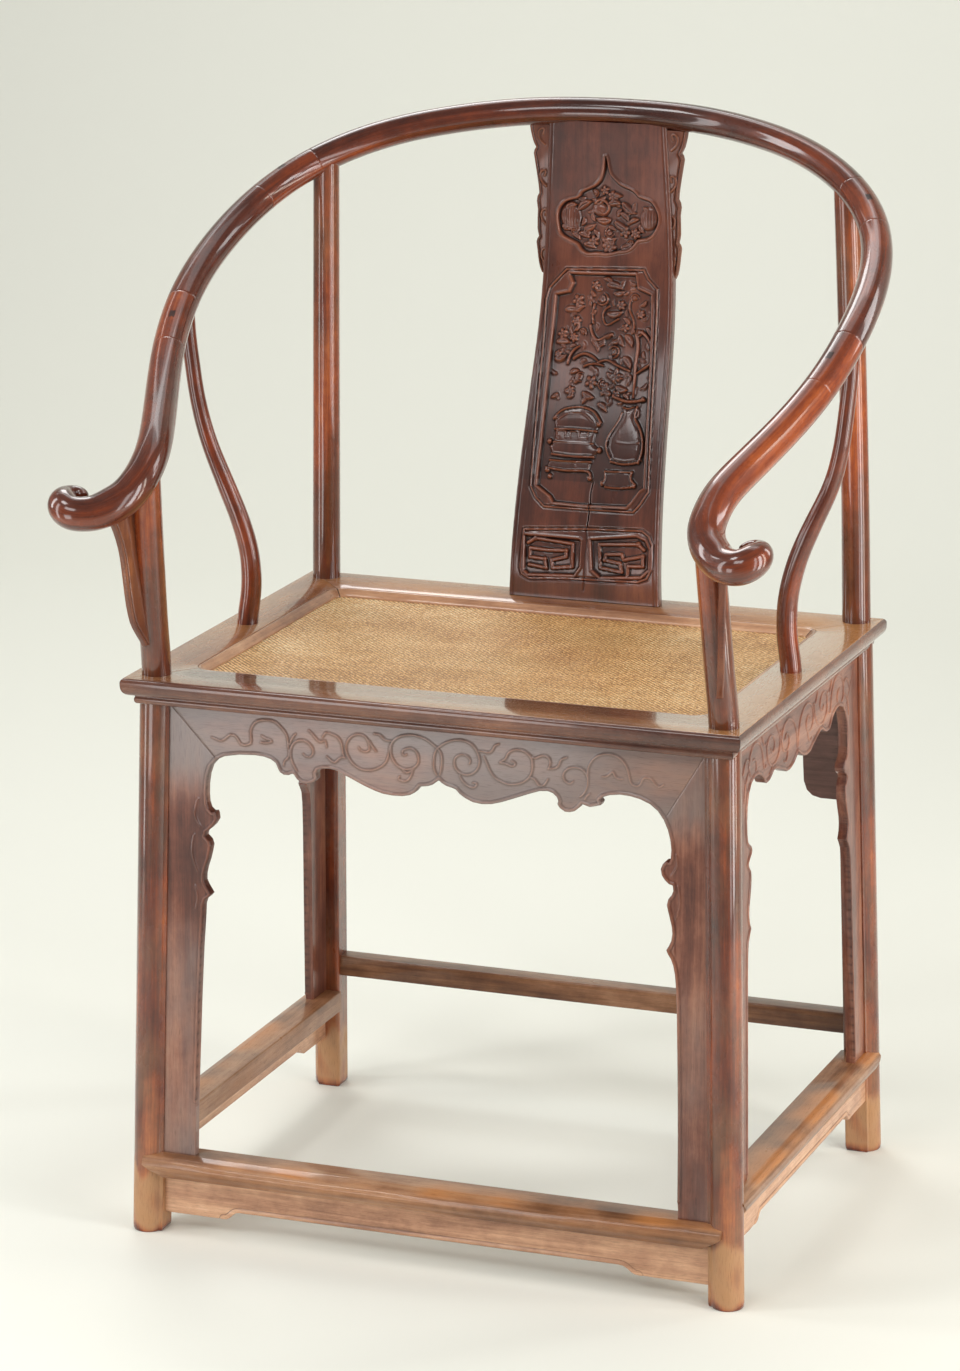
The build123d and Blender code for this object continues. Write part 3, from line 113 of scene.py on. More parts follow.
def smooth_path(stations, step):
    """Stations (x, y, z, r) as a dense even path: points, radii, arc lengths."""
    s = np.asarray(stations, float)
    t = np.r_[0, np.cumsum(np.linalg.norm(np.diff(s[:, :3], axis=0), axis=1))]
    fine = cubic(t, s, np.linspace(0, t[-1], max(400, int(t[-1] / 0.5))))
    u = np.r_[0, np.cumsum(np.linalg.norm(np.diff(fine[:, :3], axis=0), axis=1))]
    even = np.linspace(0, u[-1], max(2, int(round(u[-1] / step)) + 1))
    out = np.stack([np.interp(even, u, fine[:, k]) for k in range(4)], 1)
    return out[:, :3], out[:, 3], even


def unit(v):
    return v / np.maximum(np.linalg.norm(v, axis=-1, keepdims=True), 1e-12)


def frames_along(p, up):
    """Tangents and two normals along a path, the second kept close to up."""
    t = unit(np.gradient(p, axis=0))
    n = np.zeros_like(t)
    ref = np.asarray(up, float)
    for i in range(len(p)):
        r = ref - t[i] * ref.dot(t[i])
        n[i] = unit(r)
        ref = n[i]
    return t, n, np.cross(t, n)


class Piece:
    """Mesh under construction: vertices in mm, faces, grain coordinates, shade values."""

    def __init__(self):
        self.v, self.g, self.c, self.q, self.t, self.n = [], [], [], [], [], 0

    def add(self, v, quads=(), tris=(), grain=None, cav=None):
        v = np.asarray(v, float).reshape(-1, 3)
        self.v.append(v)
        self.g.append(np.asarray(v if grain is None else grain, float).reshape(-1, 3))
        self.c.append(np.zeros(len(v)) if cav is None else np.asarray(cav, float).ravel())
        if len(quads):
            self.q.append(np.asarray(quads, np.int64).reshape(-1, 4) + self.n)
        if len(tris):
            self.t.append(np.asarray(tris, np.int64).reshape(-1, 3) + self.n)
        self.n += len(v)

    def build(self, name, material, nodes=(), angle=35.0, ride=True, tone=0.0):
        v = np.concatenate(self.v) / 1000.0
        g = np.concatenate(self.g) / 1000.0
        c = np.concatenate(self.c)
        q = np.concatenate(self.q) if self.q else np.zeros((0, 4), np.int64)
        t = np.concatenate(self.t) if self.t else np.zeros((0, 3), np.int64)
        mesh = bpy.data.meshes.new(name)
        mesh.vertices.add(len(v))
        mesh.vertices.foreach_set("co", v.astype(np.float32).ravel())
        mesh.loops.add(q.size + t.size)
        mesh.loops.foreach_set("vertex_index", np.r_[q.ravel(), t.ravel()].astype(np.int32))
        mesh.polygons.add(len(q) + len(t))
        mesh.polygons.foreach_set("loop_start", np.r_[np.arange(len(q)) * 4, len(q) * 4 + np.arange(len(t)) * 3].astype(np.int32))
        mesh.update(calc_edges=True)
        mesh.validate()
        at = mesh.attributes.new("grain", "FLOAT_VECTOR", "POINT")
        at.data.foreach_set("vector", g.astype(np.float32).ravel())
        at = mesh.attributes.new("cav", "FLOAT", "POINT")
        at.data.foreach_set("value", c.astype(np.float32))
        hue = tone(v * 1000.0) if callable(tone) else np.full(len(v), float(tone))
        at = mesh.attributes.new("tone", "FLOAT", "POINT")
        at.data.foreach_set("value", hue.astype(np.float32))
        mesh.shade_smooth()
        mesh.set_sharp_from_angle(angle=math.radians(angle))
        mesh.materials.append(material)
        ob = bpy.data.objects.new(name, mesh)
        bpy.context.scene.collection.objects.link(ob)
        if ride:
            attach(ob, "root")
            if nodes:
                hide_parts(*nodes)
        return ob


def grid_quads(rows, cols, wrap):
    """Quads of a rows x cols vertex grid; wrap closes the columns."""
    i = np.arange(rows - 1)[:, None]
    j = np.arange(cols if wrap else cols - 1)[None, :]
    k = (j + 1) % cols
    a = i * cols + j
    b = i * cols + k
    return np.stack([a, b, b + cols, a + cols], -1).reshape(-1, 4)


def fan(idx, centre, flip=False):
    idx = np.asarray(idx)
    nxt = np.roll(idx, -1)
    c = np.full(len(idx), centre)
    return np.stack([c, nxt, idx] if flip else [c, idx, nxt], -1)


def sweep(piece, p, sec, n, b, s, caps=(True, True), grain_shift=0.0, cav=None):
    """Closed section sec (rows, cols, 2) in the (n, b) axes carried along p."""
    rows, cols = sec.shape[:2]
    v = p[:, None] + n[:, None] * sec[:, :, :1] + b[:, None] * sec[:, :, 1:]
    g = np.stack([np.repeat(s[:, None] + grain_shift, cols, 1), sec[:, :, 0], sec[:, :, 1]], -1)
    base = piece.n
    allv, allg = v.reshape(-1, 3), g.reshape(-1, 3)
    allc = np.zeros(rows * cols) if cav is None else np.asarray(cav, float).ravel()
    tris = []
    if caps[0]:
        allv = np.vstack([allv, v[0].mean(0)])
        allg = np.vstack([allg, g[0].mean(0)])
        allc = np.r_[allc, 0]
        tris.append(fan(np.arange(cols), len(allv) - 1, flip=True))
    if caps[1]:
        allv = np.vstack([allv, v[-1].mean(0)])
        allg = np.vstack([allg, g[-1].mean(0)])
        allc = np.r_[allc, 0]
        tris.append(fan(np.arange(cols) + (rows - 1) * cols, len(allv) - 1))
    piece.add(allv, grid_quads(rows, cols, True), np.vstack(tris) if tris else (), allg, allc)


def circle(r, m):
    a = np.linspace(0, 2 * np.pi, m, endpoint=False)
    return np.stack([np.cos(a) * r, np.sin(a) * r], -1)


def round_tube(piece, stations, step, m, up=(0, 0, 1), caps=(True, True), shift=0.0):
    p, r, s = smooth_path(stations, step)
    t, n, b = frames_along(p, up)
    sec = circle(1.0, m)[None] * r[:, None, None]
    sweep(piece, p, sec, n, b, s, caps, shift)


def mirror_stations(st):
    return [(-a[0],) + tuple(a[1:]) for a in st]


def rounded_poly(points, radii, seg=4):
    """Closed outline with rounded corners."""
    pts = np.asarray(points, float)
    out = []
    n = len(pts)
    for i in range(n):
        p, a, b = pts[i], pts[i - 1], pts[(i + 1) % n]
        r = radii[i] if hasattr(radii, "__len__") else radii
        da, db = unit(a - p), unit(b - p)
        ang = math.acos(np.clip(da.dot(db), -1, 1))
        if r <= 0 or ang > math.pi - 0.02:
            out.append(p)
            continue
        d = min(r / math.tan(ang / 2), 0.49 * np.linalg.norm(a - p), 0.49 * np.linalg.norm(b - p))
        rr = d * math.tan(ang / 2)
        c = p + unit(da + db) * (rr / math.sin(ang / 2))
        v0, v1 = p + da * d - c, p + db * d - c
        a0, a1 = math.atan2(v0[1], v0[0]), math.atan2(v1[1], v1[0])
        da_ = (a1 - a0 + math.pi) % (2 * math.pi) - math.pi
        for k in range(seg + 1):
            w = a0 + da_ * k / seg
            out.append(c + rr * np.array([math.cos(w), math.sin(w)]))
    return np.array(out)


def resample(poly, step, closed=True):
    """Polyline with extra points so that no segment is longer than step; corners stay."""
    p = np.asarray(poly, float)
    q = np.vstack([p, p[:1]]) if closed else p
    out = []
    for a, b in zip(q[:-1], q[1:]):
        k = max(1, int(math.ceil(np.linalg.norm(b - a) / step)))
        out.append(a + (b - a) * (np.arange(k) / k)[:, None])
    if not closed:
        out.append(q[-1:])
    return np.vstack(out)


# =====================================================================
# materials
# =====================================================================
class Nodes:
    """Short calls for building a node tree."""

    def __init__(self, name):
        self.mat = bpy.data.materials.new(name)
        self.mat.use_nodes = True
        self.t = self.mat.node_tree
        self.bsdf = self.t.nodes["Principled BSDF"]

    def put(self, socket, value):
        if isinstance(value, bpy.types.NodeSocket):
            self.t.links.new(value, socket)
        elif value is not None:
            socket.default_value = value

    def attr(self, name, out):
        n = self.t.nodes.new("ShaderNodeAttribute")
        n.attribute_name = name
        return n.outputs[out]

    def scaled(self, vec, x, y, z, off=(0, 0, 0)):
        n = self.t.nodes.new("ShaderNodeMapping")
        n.inputs["Scale"].default_value = (x, y, z)
        n.inputs["Location"].default_value = off
        self.put(n.inputs["Vector"], vec)
        return n.outputs["Vector"]

    def noise(self, vec, scale=1.0, detail=3.0, rough=0.5, distort=0.0):
        n = self.t.nodes.new("ShaderNodeTexNoise")
        n.inputs["Scale"].default_value = scale
        n.inputs["Detail"].default_value = detail
        n.inputs["Roughness"].default_value = rough
        n.inputs["Distortion"].default_value = distort
        self.put(n.inputs["Vector"], vec)
        return n.outputs["Fac"]

    def math(self, op, a, b=None, c=None, clamp=False):
        n = self.t.nodes.new("ShaderNodeMath")
        n.operation = op
        n.use_clamp = clamp
        self.put(n.inputs[0], a)
        if b is not None:
            self.put(n.inputs[1], b)
        if c is not None:
            self.put(n.inputs[2], c)
        return n.outputs[0]

    def ramp(self, fac, stops, interp="LINEAR"):
        n = self.t.nodes.new("ShaderNodeValToRGB")
        n.color_ramp.interpolation = interp
        el = n.color_ramp.elements
        while len(el) < len(stops):
            el.new(0.5)
        for e, (pos, col) in zip(el, stops):
            e.position = pos
            e.color = (*col, 1.0)
        self.put(n.inputs[0], fac)
        return n.outputs[0]

    def span(self, v, a, b, c=0.0, d=1.0):
        n = self.t.nodes.new("ShaderNodeMapRange")
        n.interpolation_type = "SMOOTHSTEP"
        for k, x in ((1, a), (2, b), (3, c), (4, d)):
            n.inputs[k].default_value = x
        self.put(n.inputs[0], v)
        return n.outputs[0]

    def mix(self, fac, a, b, blend="MIX"):
        n = self.t.nodes.new("ShaderNodeMix")
        n.data_type = "RGBA"
        n.blend_type = blend
        n.clamp_factor = True
        self.put(n.inputs[0], fac)
        for k, x in ((6, a), (7, b)):
            self.put(n.inputs[k], (*x, 1.0) if isinstance(x, tuple) and len(x) == 3 else x)
        return n.outputs[2]

    def bump(self, height, strength, distance, normal=None):
        n = self.t.nodes.new("ShaderNodeBump")
        n.inputs["Strength"].default_value = strength
        n.inputs["Distance"].default_value = distance
        self.put(n.inputs["Height"], height)
        if normal is not None:
            self.put(n.inputs["Normal"], normal)
        return n.outputs["Normal"]

    def set(self, name, value):
        self.put(self.bsdf.inputs[name], value)


def lin(r, g, b):
    """sRGB 0-255 to linear."""
    f = lambda c: ((c / 255 + 0.055) / 1.055) ** 2.4 if c > 10 else c / 255 / 12.92
    return (f(r), f(g), f(b))


def wood(name, dark, mid, warm, light, rough=0.24, coat=0.35, dirt_and_shade=1.0, seed=0.0, streak=1.0, pore=0.35, wear_and_sheen_color=None, coat_rough=0.07, dull=0.0, spec=0.25):
    """Old polished hardwood: soft figure and pores along the grain attribute, grime and painted shade in hollows, wear
    and painted highlight on edges.
    With a wear and sheen colour given, places where tone is large take that colour: worn and bare wood on legs, seat
    and stretchers, a painted sheen on the aprons."""
    m = Nodes(name)
    g = m.attr("grain", "Vector")
    cav = m.attr("cav", "Fac")
    tone = m.attr("tone", "Fac")
    o = (seed, seed * 1.7, seed * 0.6)
    broad = m.noise(m.scaled(g, 3.2, 22, 22, o), 1, 3, 0.55, 0.5)
    figure = m.noise(m.scaled(g, 5, 150, 150, o), 1, 4, 0.6, 1.2)
    fine = m.noise(m.scaled(g, 16, 800, 800, o), 1, 3, 0.6)
    pores = m.noise(m.scaled(g, 90, 2600, 2600, o), 1, 1, 0.5)
    mottle = m.noise(m.scaled(g, 40, 55, 55, o), 1, 4, 0.65)
    f = m.math("MULTIPLY", broad, 0.80)
    f = m.math("MULTIPLY_ADD", figure, 0.36 * streak, f)
    f = m.math("MULTIPLY_ADD", fine, 0.12 * streak, f)
    f = m.math("MULTIPLY_ADD", mottle, 0.34, f)
    f = m.math("MULTIPLY_ADD", tone, 0.30, f)
    f = m.span(f, 0.50, 1.14)
    col = m.ramp(f, [(0.0, dark), (0.36, mid), (0.68, warm), (1.0, light)])
    # mix where tone is large: worn and bare wood on legs, seat and stretchers, a painted sheen on the aprons
    if wear_and_sheen_color is not None:
        wear_and_sheen_mask = m.noise(m.scaled(g, 9, 26, 26, (seed + 5, 1, 2)), 1, 3, 0.6)
        wear_and_sheen_mask = m.math("ADD", m.math("MULTIPLY", tone, 0.9), m.math("SUBTRACT", wear_and_sheen_mask, 0.5))
        col = m.mix(m.span(wear_and_sheen_mask, -0.15, 0.75, 0.0, 0.85), col, wear_and_sheen_color, "MIX")
    pit = m.span(pores, 0.58, 0.72)
    col = m.mix(m.math("MULTIPLY", pit, pore), col, tuple(c * 0.3 for c in dark), "MIX")
    if dirt_and_shade > 0:
        # painted shade, with some grime, in hollows and grooves: cav below zero darkens the colour
        low = m.span(cav, 0.0, -0.55)
        low = m.math("MULTIPLY", low, 0.96 * dirt_and_shade)
        col = m.mix(low, col, tuple(c * 0.25 for c in dark), "MIX")
        # painted highlight, with some wear, on raised edges and crowns: cav above zero lightens the colour
        high = m.span(cav, 0.08, 0.6)
        high = m.math("MULTIPLY", high, 0.40)
        col = m.mix(high, col, tuple(min(1, c * 1.35 + 0.01) for c in light), "MIX")
    m.set("Base Color", col)
    smudge = m.noise(m.scaled(g, 14, 30, 30, (seed + 3, 0, 0)), 1, 4, 0.65)
    r = m.math("MULTIPLY_ADD", smudge, 0.26, rough - 0.13)
    r = m.math("MULTIPLY_ADD", pit, 0.15, r)
    r = m.math("SUBTRACT", r, m.math("MULTIPLY", m.math("MINIMUM", cav, 0.0), 0.30 * dirt_and_shade), clamp=True)
    if dull > 0:
        flat_ = m.math("MAXIMUM", tone, 0.0)
        r = m.math("ADD", r, m.math("MULTIPLY", flat_, 0.45 * dull), clamp=True)
        m.set("Coat Weight", m.math("MULTIPLY", m.math("SUBTRACT", 1.0, m.math("MULTIPLY", flat_, dull), clamp=True), coat))
    elif dirt_and_shade > 0 and coat > 0:
        m.set("Coat Weight", m.math("MULTIPLY", m.math("ADD", 1.0, m.math("MINIMUM", cav, 0.0), clamp=True), coat))
    else:
        m.set("Coat Weight", coat)
    m.set("Roughness", r)
    m.set("Specular IOR Level", spec)
    m.set("Coat Roughness", coat_rough)
    m.set("Coat IOR", 1.5)
    hand = m.noise(m.scaled(g, 12, 55, 55, o), 1, 2, 0.5)
    nrm = m.bump(hand, 0.08, 0.0014)
    h = m.math("MULTIPLY_ADD", pit, -0.5, m.math("MULTIPLY", fine, 0.35))
    nrm = m.bump(h, 0.10, 0.0004, nrm)
    m.set("Normal", nrm)
    return m.mat


def tones(k, *colors):
    """Four tones of one wood, each times k (red, green, blue)."""
    return [tuple(min(1.0, a * b) for a, b in zip(c, k)) for c in colors]


DARK, MID, WARM, LIGHT = lin(56, 22, 13), lin(92, 40, 22), lin(120, 55, 28), lin(154, 80, 40)
# painted sheen: the pale mauve grey that the aprons' faces take where tone is large
PAINTED_SHEEN_MAUVE = lin(112, 104, 102)
OCHRE = lin(176, 138, 100)
AMBER = lin(186, 118, 60)
LEG = tones((1.0, 1.0, 1.0), lin(54, 22, 14), lin(98, 42, 22), lin(138, 62, 28), lin(188, 100, 44))
POST = tones((1.0, 1.0, 1.0), lin(54, 22, 14), lin(96, 40, 20), lin(136, 58, 24), lin(184, 94, 36))
RAIL_TONES = tones((1.0, 1.0, 1.0), lin(54, 22, 14), lin(92, 40, 22), lin(128, 56, 26), lin(172, 86, 38))
MAT = {
    "leg_wood": wood("leg_wood", *LEG, rough=0.26, coat=1.0, seed=1.3, wear_and_sheen_color=OCHRE, dull=0.9, coat_rough=0.06),
    "rail_wood": wood("rail_wood", *RAIL_TONES, rough=0.26, coat=1.0, seed=4.1),
    "pin_wood": wood("pin_wood", lin(30, 14, 10), lin(46, 22, 15), lin(58, 28, 18), lin(80, 42, 26), rough=0.3, seed=9.0),
    "post_wood": wood("post_wood", *POST, rough=0.25, coat=1.0, seed=6.2, coat_rough=0.06),
    "spandrel_wood": wood("spandrel_wood", *tones((1.2, 1.5, 1.5), DARK, MID, lin(104, 50, 28), lin(140, 74, 42)), rough=0.3, coat=0.6, seed=2.2),
    "splat_wood": wood("splat_wood", *tones((1.5, 1.46, 1.46), lin(46, 22, 16), lin(76, 39, 27), lin(94, 51, 35), lin(120, 70, 46)),
                       rough=0.32, coat=0.8, seed=7.7, streak=0.7, coat_rough=0.11),
    "seat_wood": wood("seat_wood", lin(62, 32, 24), lin(98, 58, 43), lin(124, 78, 56), lin(156, 104, 74),
                      rough=0.26, coat=1.0, seed=3.4, wear_and_sheen_color=lin(188, 134, 80), coat_rough=0.08),
    "bead_wood": wood("bead_wood", *tones((1.2, 1.28, 1.25), lin(112, 72, 52), lin(158, 112, 84), lin(180, 134, 104), lin(204, 162, 130)),
                      rough=0.32, coat=0.6, seed=5.5),
    "brace_wood": wood("brace_wood", lin(40, 24, 18), lin(66, 42, 30), lin(86, 56, 40), lin(106, 74, 54), rough=0.6, coat=0.0, seed=8.8),
    # apron wood: its mauve grey mix is a painted sheen over the carved faces
    "apron_wood": wood("apron_wood", *tones((1.0, 1.0, 1.0), lin(70, 36, 28), lin(112, 64, 48), lin(146, 94, 72), lin(174, 124, 98)),
                       rough=0.34, coat=0.6, seed=2.9, wear_and_sheen_color=PAINTED_SHEEN_MAUVE, coat_rough=0.12),
    "back_apron_wood": wood("back_apron_wood", *tones((1.4, 1.6, 1.85), DARK, lin(86, 50, 38), lin(108, 66, 52), lin(134, 86, 66)),
                            rough=0.34, coat=0.4, seed=1.9),
    "stretcher_wood": wood("stretcher_wood", *tones((1.05, 1.3, 1.6), lin(82, 46, 28), lin(124, 76, 46), lin(152, 100, 66), lin(178, 126, 88)),
                           rough=0.32, coat=0.5, seed=3.8, wear_and_sheen_color=AMBER),
    # stretcher aprons: the very pale lavender tones are painted reflected light on their faces
    "stretcher_apron_wood": wood("stretcher_apron_wood", *tones((1.75, 2.15, 2.35), lin(92, 56, 42), lin(140, 94, 70), lin(164, 116, 88), lin(190, 144, 114)),
                                 rough=0.34, coat=0.4, seed=6.6),
}


def cane_material():
    """Split cane gone golden: cloudy patches, each strand a little different, painted shade between the strands and
    where they dip under, painted pale glints scattered as specks.
    """
    m = Nodes("cane")
    g = m.attr("grain", "Vector")
    tone = m.attr("tone", "Fac")
    cav = m.attr("cav", "Fac")
    tc = m.t.nodes.new("ShaderNodeTexCoord").outputs["Object"]
    patch = m.noise(m.scaled(tc, 10, 13, 9), 1, 4, 0.6, 0.5)
    cloud = m.noise(m.scaled(tc, 3.0, 3.4, 3), 1, 2, 0.5)
    # painted glints: small pale specks scattered over the cane
    painted_glint_speck = m.noise(m.scaled(tc, 380, 380, 380), 1, 4, 0.75)
    fibre = m.noise(m.scaled(g, 160, 2600, 900), 1, 3, 0.6)
    knot = m.noise(m.scaled(g, 60, 260, 40), 1, 2, 0.5)
    f = m.math("MULTIPLY", patch, 0.36)
    f = m.math("MULTIPLY_ADD", cloud, 0.34, f)
    f = m.math("MULTIPLY_ADD", tone, 0.05, f)
    f = m.math("MULTIPLY_ADD", fibre, 0.16, f)
    f = m.math("MULTIPLY_ADD", painted_glint_speck, 1.55, f)
    f = m.span(f, 0.90, 1.54)
    col = m.ramp(f, [(0.0, lin(168, 114, 60)), (0.35, lin(224, 171, 108)), (0.7, lin(246, 204, 142)), (1.0, lin(255, 236, 190))])
    spot = m.span(knot, 0.64, 0.76)
    col = m.mix(m.math("MULTIPLY", spot, 0.5), col, lin(234, 198, 142), "MIX")
    # painted shade where a strand dips under the crossing strands
    low = m.math("MULTIPLY", m.span(cav, 0.15, -0.5), 0.72)
    col = m.mix(low, col, lin(104, 58, 24), "MIX")
    m.set("Base Color", col)
    m.set("Roughness", m.math("MULTIPLY_ADD", fibre, 0.25, 0.30))
    m.set("Specular IOR Level", 0.45)
    m.set("Coat Weight", 0.15)
    m.set("Coat Roughness", 0.25)
    m.set("Normal", m.bump(fibre, 0.35, 0.0003))
    return m.mat


def fibre_material():
    m = Nodes("palm_fibre")
    g = m.attr("grain", "Vector")
    tone = m.attr("tone", "Fac")
    twist = m.noise(m.scaled(g, 420, 900, 900), 1, 3, 0.65, 1.0)
    hair = m.noise(m.scaled(g, 90, 2200, 2200), 1, 2, 0.6)
    f = m.math("MULTIPLY_ADD", tone, 0.15, m.math("MULTIPLY_ADD", hair, 0.5, m.math("MULTIPLY", twist, 0.6)))
    col = m.ramp(m.span(f, 0.3, 0.85), [(0.0, lin(46, 28, 16)), (0.5, lin(92, 60, 34)), (1.0, lin(140, 100, 62))])
    m.set("Base Color", col)
    m.set("Roughness", 0.85)
    m.set("Specular IOR Level", 0.2)
    m.set("Normal", m.bump(m.math("ADD", twist, hair), 0.6, 0.0008))
    return m.mat


MAT["cane"] = cane_material()
MAT["palm_fibre"] = fibre_material()

# =====================================================================
# legs: splayed, round outside and square inside, running on as round posts
# =====================================================================
def leg_section(sx, sy):
    """Section of a lower leg, x and y as seen from above; 64 points from angle 0."""
    pts = []
    m = 96
    for k in range(m):
        a = 2 * math.pi * k / m
        d = np.array([math.cos(a), math.sin(a)])
        best = 15.0
        # square part towards the middle of the chair
        lo, hi = -16.0, 7.0
        tx = np.inf
        for axis, sgn in ((0, sx), (1, sy)):
            # in the local frame u = -sgn * coordinate runs inward
            comp = -sgn * d[axis]
            lim = 16.0 if comp > 0 else 7.0
            if abs(comp) > 1e-9:
                tx = min(tx, lim / abs(comp))
        # rectangle spans [-7, 16] inward on both axes
        best = max(best, tx)
        corner = math.hypot(16, 16) - 1.0
        best = min(best, corner)
        pts.append(d * best)
    return np.array(pts)


def leg_piece(name, sx, back, slot):
    sy = 1 if back else -1
    foot = FOOT_BACK if back else FOOT_FRONT
    post = BACK_POST if back else FRONT_POST
    pc = Piece()
    sec = leg_section(sx, sy)
    # lower leg
    z = np.r_[0.0, 0.6, 1.8, 4.0, np.linspace(10, SEAT_BOTTOM + 6, 110)]
    scale = np.r_[0.93, 0.965, 0.99, 1.0, np.ones(110)]
    head = HEAD_BACK if back else HEAD_FRONT
    t = z / SEAT_TOP
    p = np.stack([sx * (foot[0] + (head[0] - foot[0]) * t), foot[1] + (head[1] - foot[1]) * t, z], -1)
    n = np.tile([1.0, 0, 0], (len(z), 1))
    b = np.tile([0, 1.0, 0], (len(z), 1))
    s3 = sec[None] * scale[:, None, None]
    sweep(pc, p, s3, n, b, z, (True, True))
    # post
    a = (SEAT_BOTTOM - 1) / SEAT_TOP
    st = [(sx * (foot[0] + (head[0] - foot[0]) * a), foot[1] + (head[1] - foot[1]) * a, SEAT_BOTTOM - 1, 13.5)]
    st += [(sx * q[0],) + tuple(q[1:]) for q in post]
    round_tube(pc, st, 4.0, 64, up=(0, 1, 0), shift=SEAT_BOTTOM)
    def worn(v):
        """Bare ochre feet, the finish thinning towards them."""
        z_ = v[:, 2]
        foot_ = np.clip((64 + 6 * np.sin(v[:, 0] / 4.0) + 4 * np.sin(v[:, 1] / 3.0) - z_) / 10, 0, 1)
        patch_ = 0.62 + 0.38 * np.sin(v[:, 0] / 6.0 + z_ / 11.0) * np.sin(v[:, 1] / 5.0 - z_ / 17.0 + 0.7)
        return 0.95 * foot_ * patch_ + 0.08 * (1 - foot_) * np.clip((240 - z_) / 180.0, 0, 1) - 0.9 * np.clip((8 - z_) / 8.0, 0, 1)

    return pc.build(name + "_shape", MAT[slot], [name], tone=worn)


for sx, lr in ((-1, "left"), (1, "right")):
    leg_piece("front_leg_" + lr, sx, False, "leg_wood")
    leg_piece("rear_leg_" + lr, sx, True, "leg_wood")
    pc = Piece()
    st = SIDE_POST if sx > 0 else mirror_stations(SIDE_POST)
    round_tube(pc, st, 3.0, 48, up=(0, 1, 0), shift=700.0 + 50 * sx)
    pc.build("side_post_" + lr + "_shape", MAT["post_wood"], ["side_post_" + lr])

# =====================================================================
# crest rail: five lengths, with lapped scarf joints
# =====================================================================
FULL_RAIL = list(reversed(mirror_stations(RAIL)[1:])) + [tuple(map(float, q)) for q in RAIL]
RP, RR, RS = smooth_path(FULL_RAIL, 1.6)
MIDI = int(np.argmin(np.abs(RS - RS[-1] / 2)))
RS = RS - RS[MIDI]
RT, RN, RB = frames_along(RP[MIDI:], (0, 0, 1))
RT2, RN2, RB2 = frames_along(RP[MIDI::-1], (0, 0, 1))
RN = np.vstack([RN2[:0:-1], RN])
RT = unit(np.gradient(RP, axis=0))
RB = np.cross(RT, RN)
LAP = 33.0
J1, J2 = 333.0, 566.0
COLS = 72


def rail_at(s):
    """Point, radius and axes of the rail at arc length s (mm from the middle of the back)."""
    s = np.atleast_1d(s)
    f = lambda a: np.stack([np.interp(s, RS, a[:, k]) for k in range(3)], -1)
    return f(RP), np.interp(s, RS, RR), f(RT), unit(f(RN)), unit(f(RB))


def rail_piece(name, s_top, s_bot, node, slot="rail_wood", tips=(False, False), shift=0.0, tone=0.0):
    """Rail length whose upper half runs over s_top and lower half over s_bot."""
    pc = Piece()
    ang = np.linspace(0, 2 * np.pi, COLS, endpoint=False)
    up = np.cos(ang) > 0.0
    lo = np.where(up, s_top[0], s_bot[0])
    hi = np.where(up, s_top[1], s_bot[1])
    # the step between the halves is a hair wide
    total = max(s_top[1], s_bot[1]) - min(s_top[0], s_bot[0])
    core0, core1 = max(s_top[0], s_bot[0]), min(s_top[1], s_bot[1])
    parts = [(core0, core1, None)]
    if s_top[0] < s_bot[0]:
        parts.append((s_top[0], core0 + 0.6, True))
    if s_bot[0] < s_top[0]:
        parts.append((s_bot[0], core0 + 0.6, False))
    if s_top[1] > s_bot[1]:
        parts.append((core1 - 0.6, s_top[1], True))
    if s_bot[1] > s_top[1]:
        parts.append((core1 - 0.6, s_bot[1], False))
    for a, b, upper in parts:
        s = np.linspace(a, b, max(3, int((b - a) / 1.6) + 1))
        e = 0.45  # softened ends
        s = np.r_[a, a + e, s[1:-1], b - e, b]
        s = np.unique(np.round(s, 4))
        P, R, T, N, B = rail_at(s)
        near = np.minimum(s - a, b - s)
        soft = np.where(near < 0.3, 0.985, 1.0)
        if tips[0] and abs(a - min(s_top[0], s_bot[0])) < 1e-6:
            soft = np.where(s - a < 0.3, 0.94, 1.0) * np.where(b - s < 0.3, 0.985, 1.0)
        if upper is None:
            sec = circle(1.0, COLS)[None] * (R * soft)[:, None, None]
        else:
            k = COLS // 2
            th = np.linspace(-math.pi / 2, math.pi / 2, k + 1) + (0 if upper else math.pi)
            arc = np.stack([np.cos(th), np.sin(th)], -1)
            w = 0.012
            arc[0] += (w if upper else -w, 0)
            arc[-1] += (w if upper else -w, 0)
            flat = np.linspace(arc[-1], arc[0], 10)[1:-1]
            sec = np.vstack([arc, flat])[None] * (R * soft * (0.9995))[:, None, None]
        sweep(pc, P, sec, N, B, s, (True, True), shift)
    return pc.build(name, MAT[slot], [node], tone=tone)


END = RS[-1]
rail_piece("crest_rail_back_shape", (-J1 + LAP, J1 - LAP), (-J1 - LAP, J1 + LAP), "crest_rail_back", shift=0,
           tone=lambda v: -0.55 + 0.35 * np.clip(np.abs(v[:, 0]) / 260.0, 0, 1))
rail_piece("crest_rail_shoulder_right_shape", (J1 - LAP, J2 - LAP), (J1 + LAP, J2 + LAP), "crest_rail_shoulder_right", shift=1500)
rail_piece("crest_rail_shoulder_left_shape", (-J2 + LAP, -J1 + LAP), (-J2 - LAP, -J1 - LAP), "crest_rail_shoulder_left", shift=2700)
rail_piece("crest_rail_arm_right_shape", (J2 - LAP, END), (J2 + LAP, END), "crest_rail_arm_right", shift=3900)
rail_piece("crest_rail_arm_left_shape", (-END, -J2 + LAP), (-END, -J2 - LAP), "crest_rail_arm_left", shift=5100)

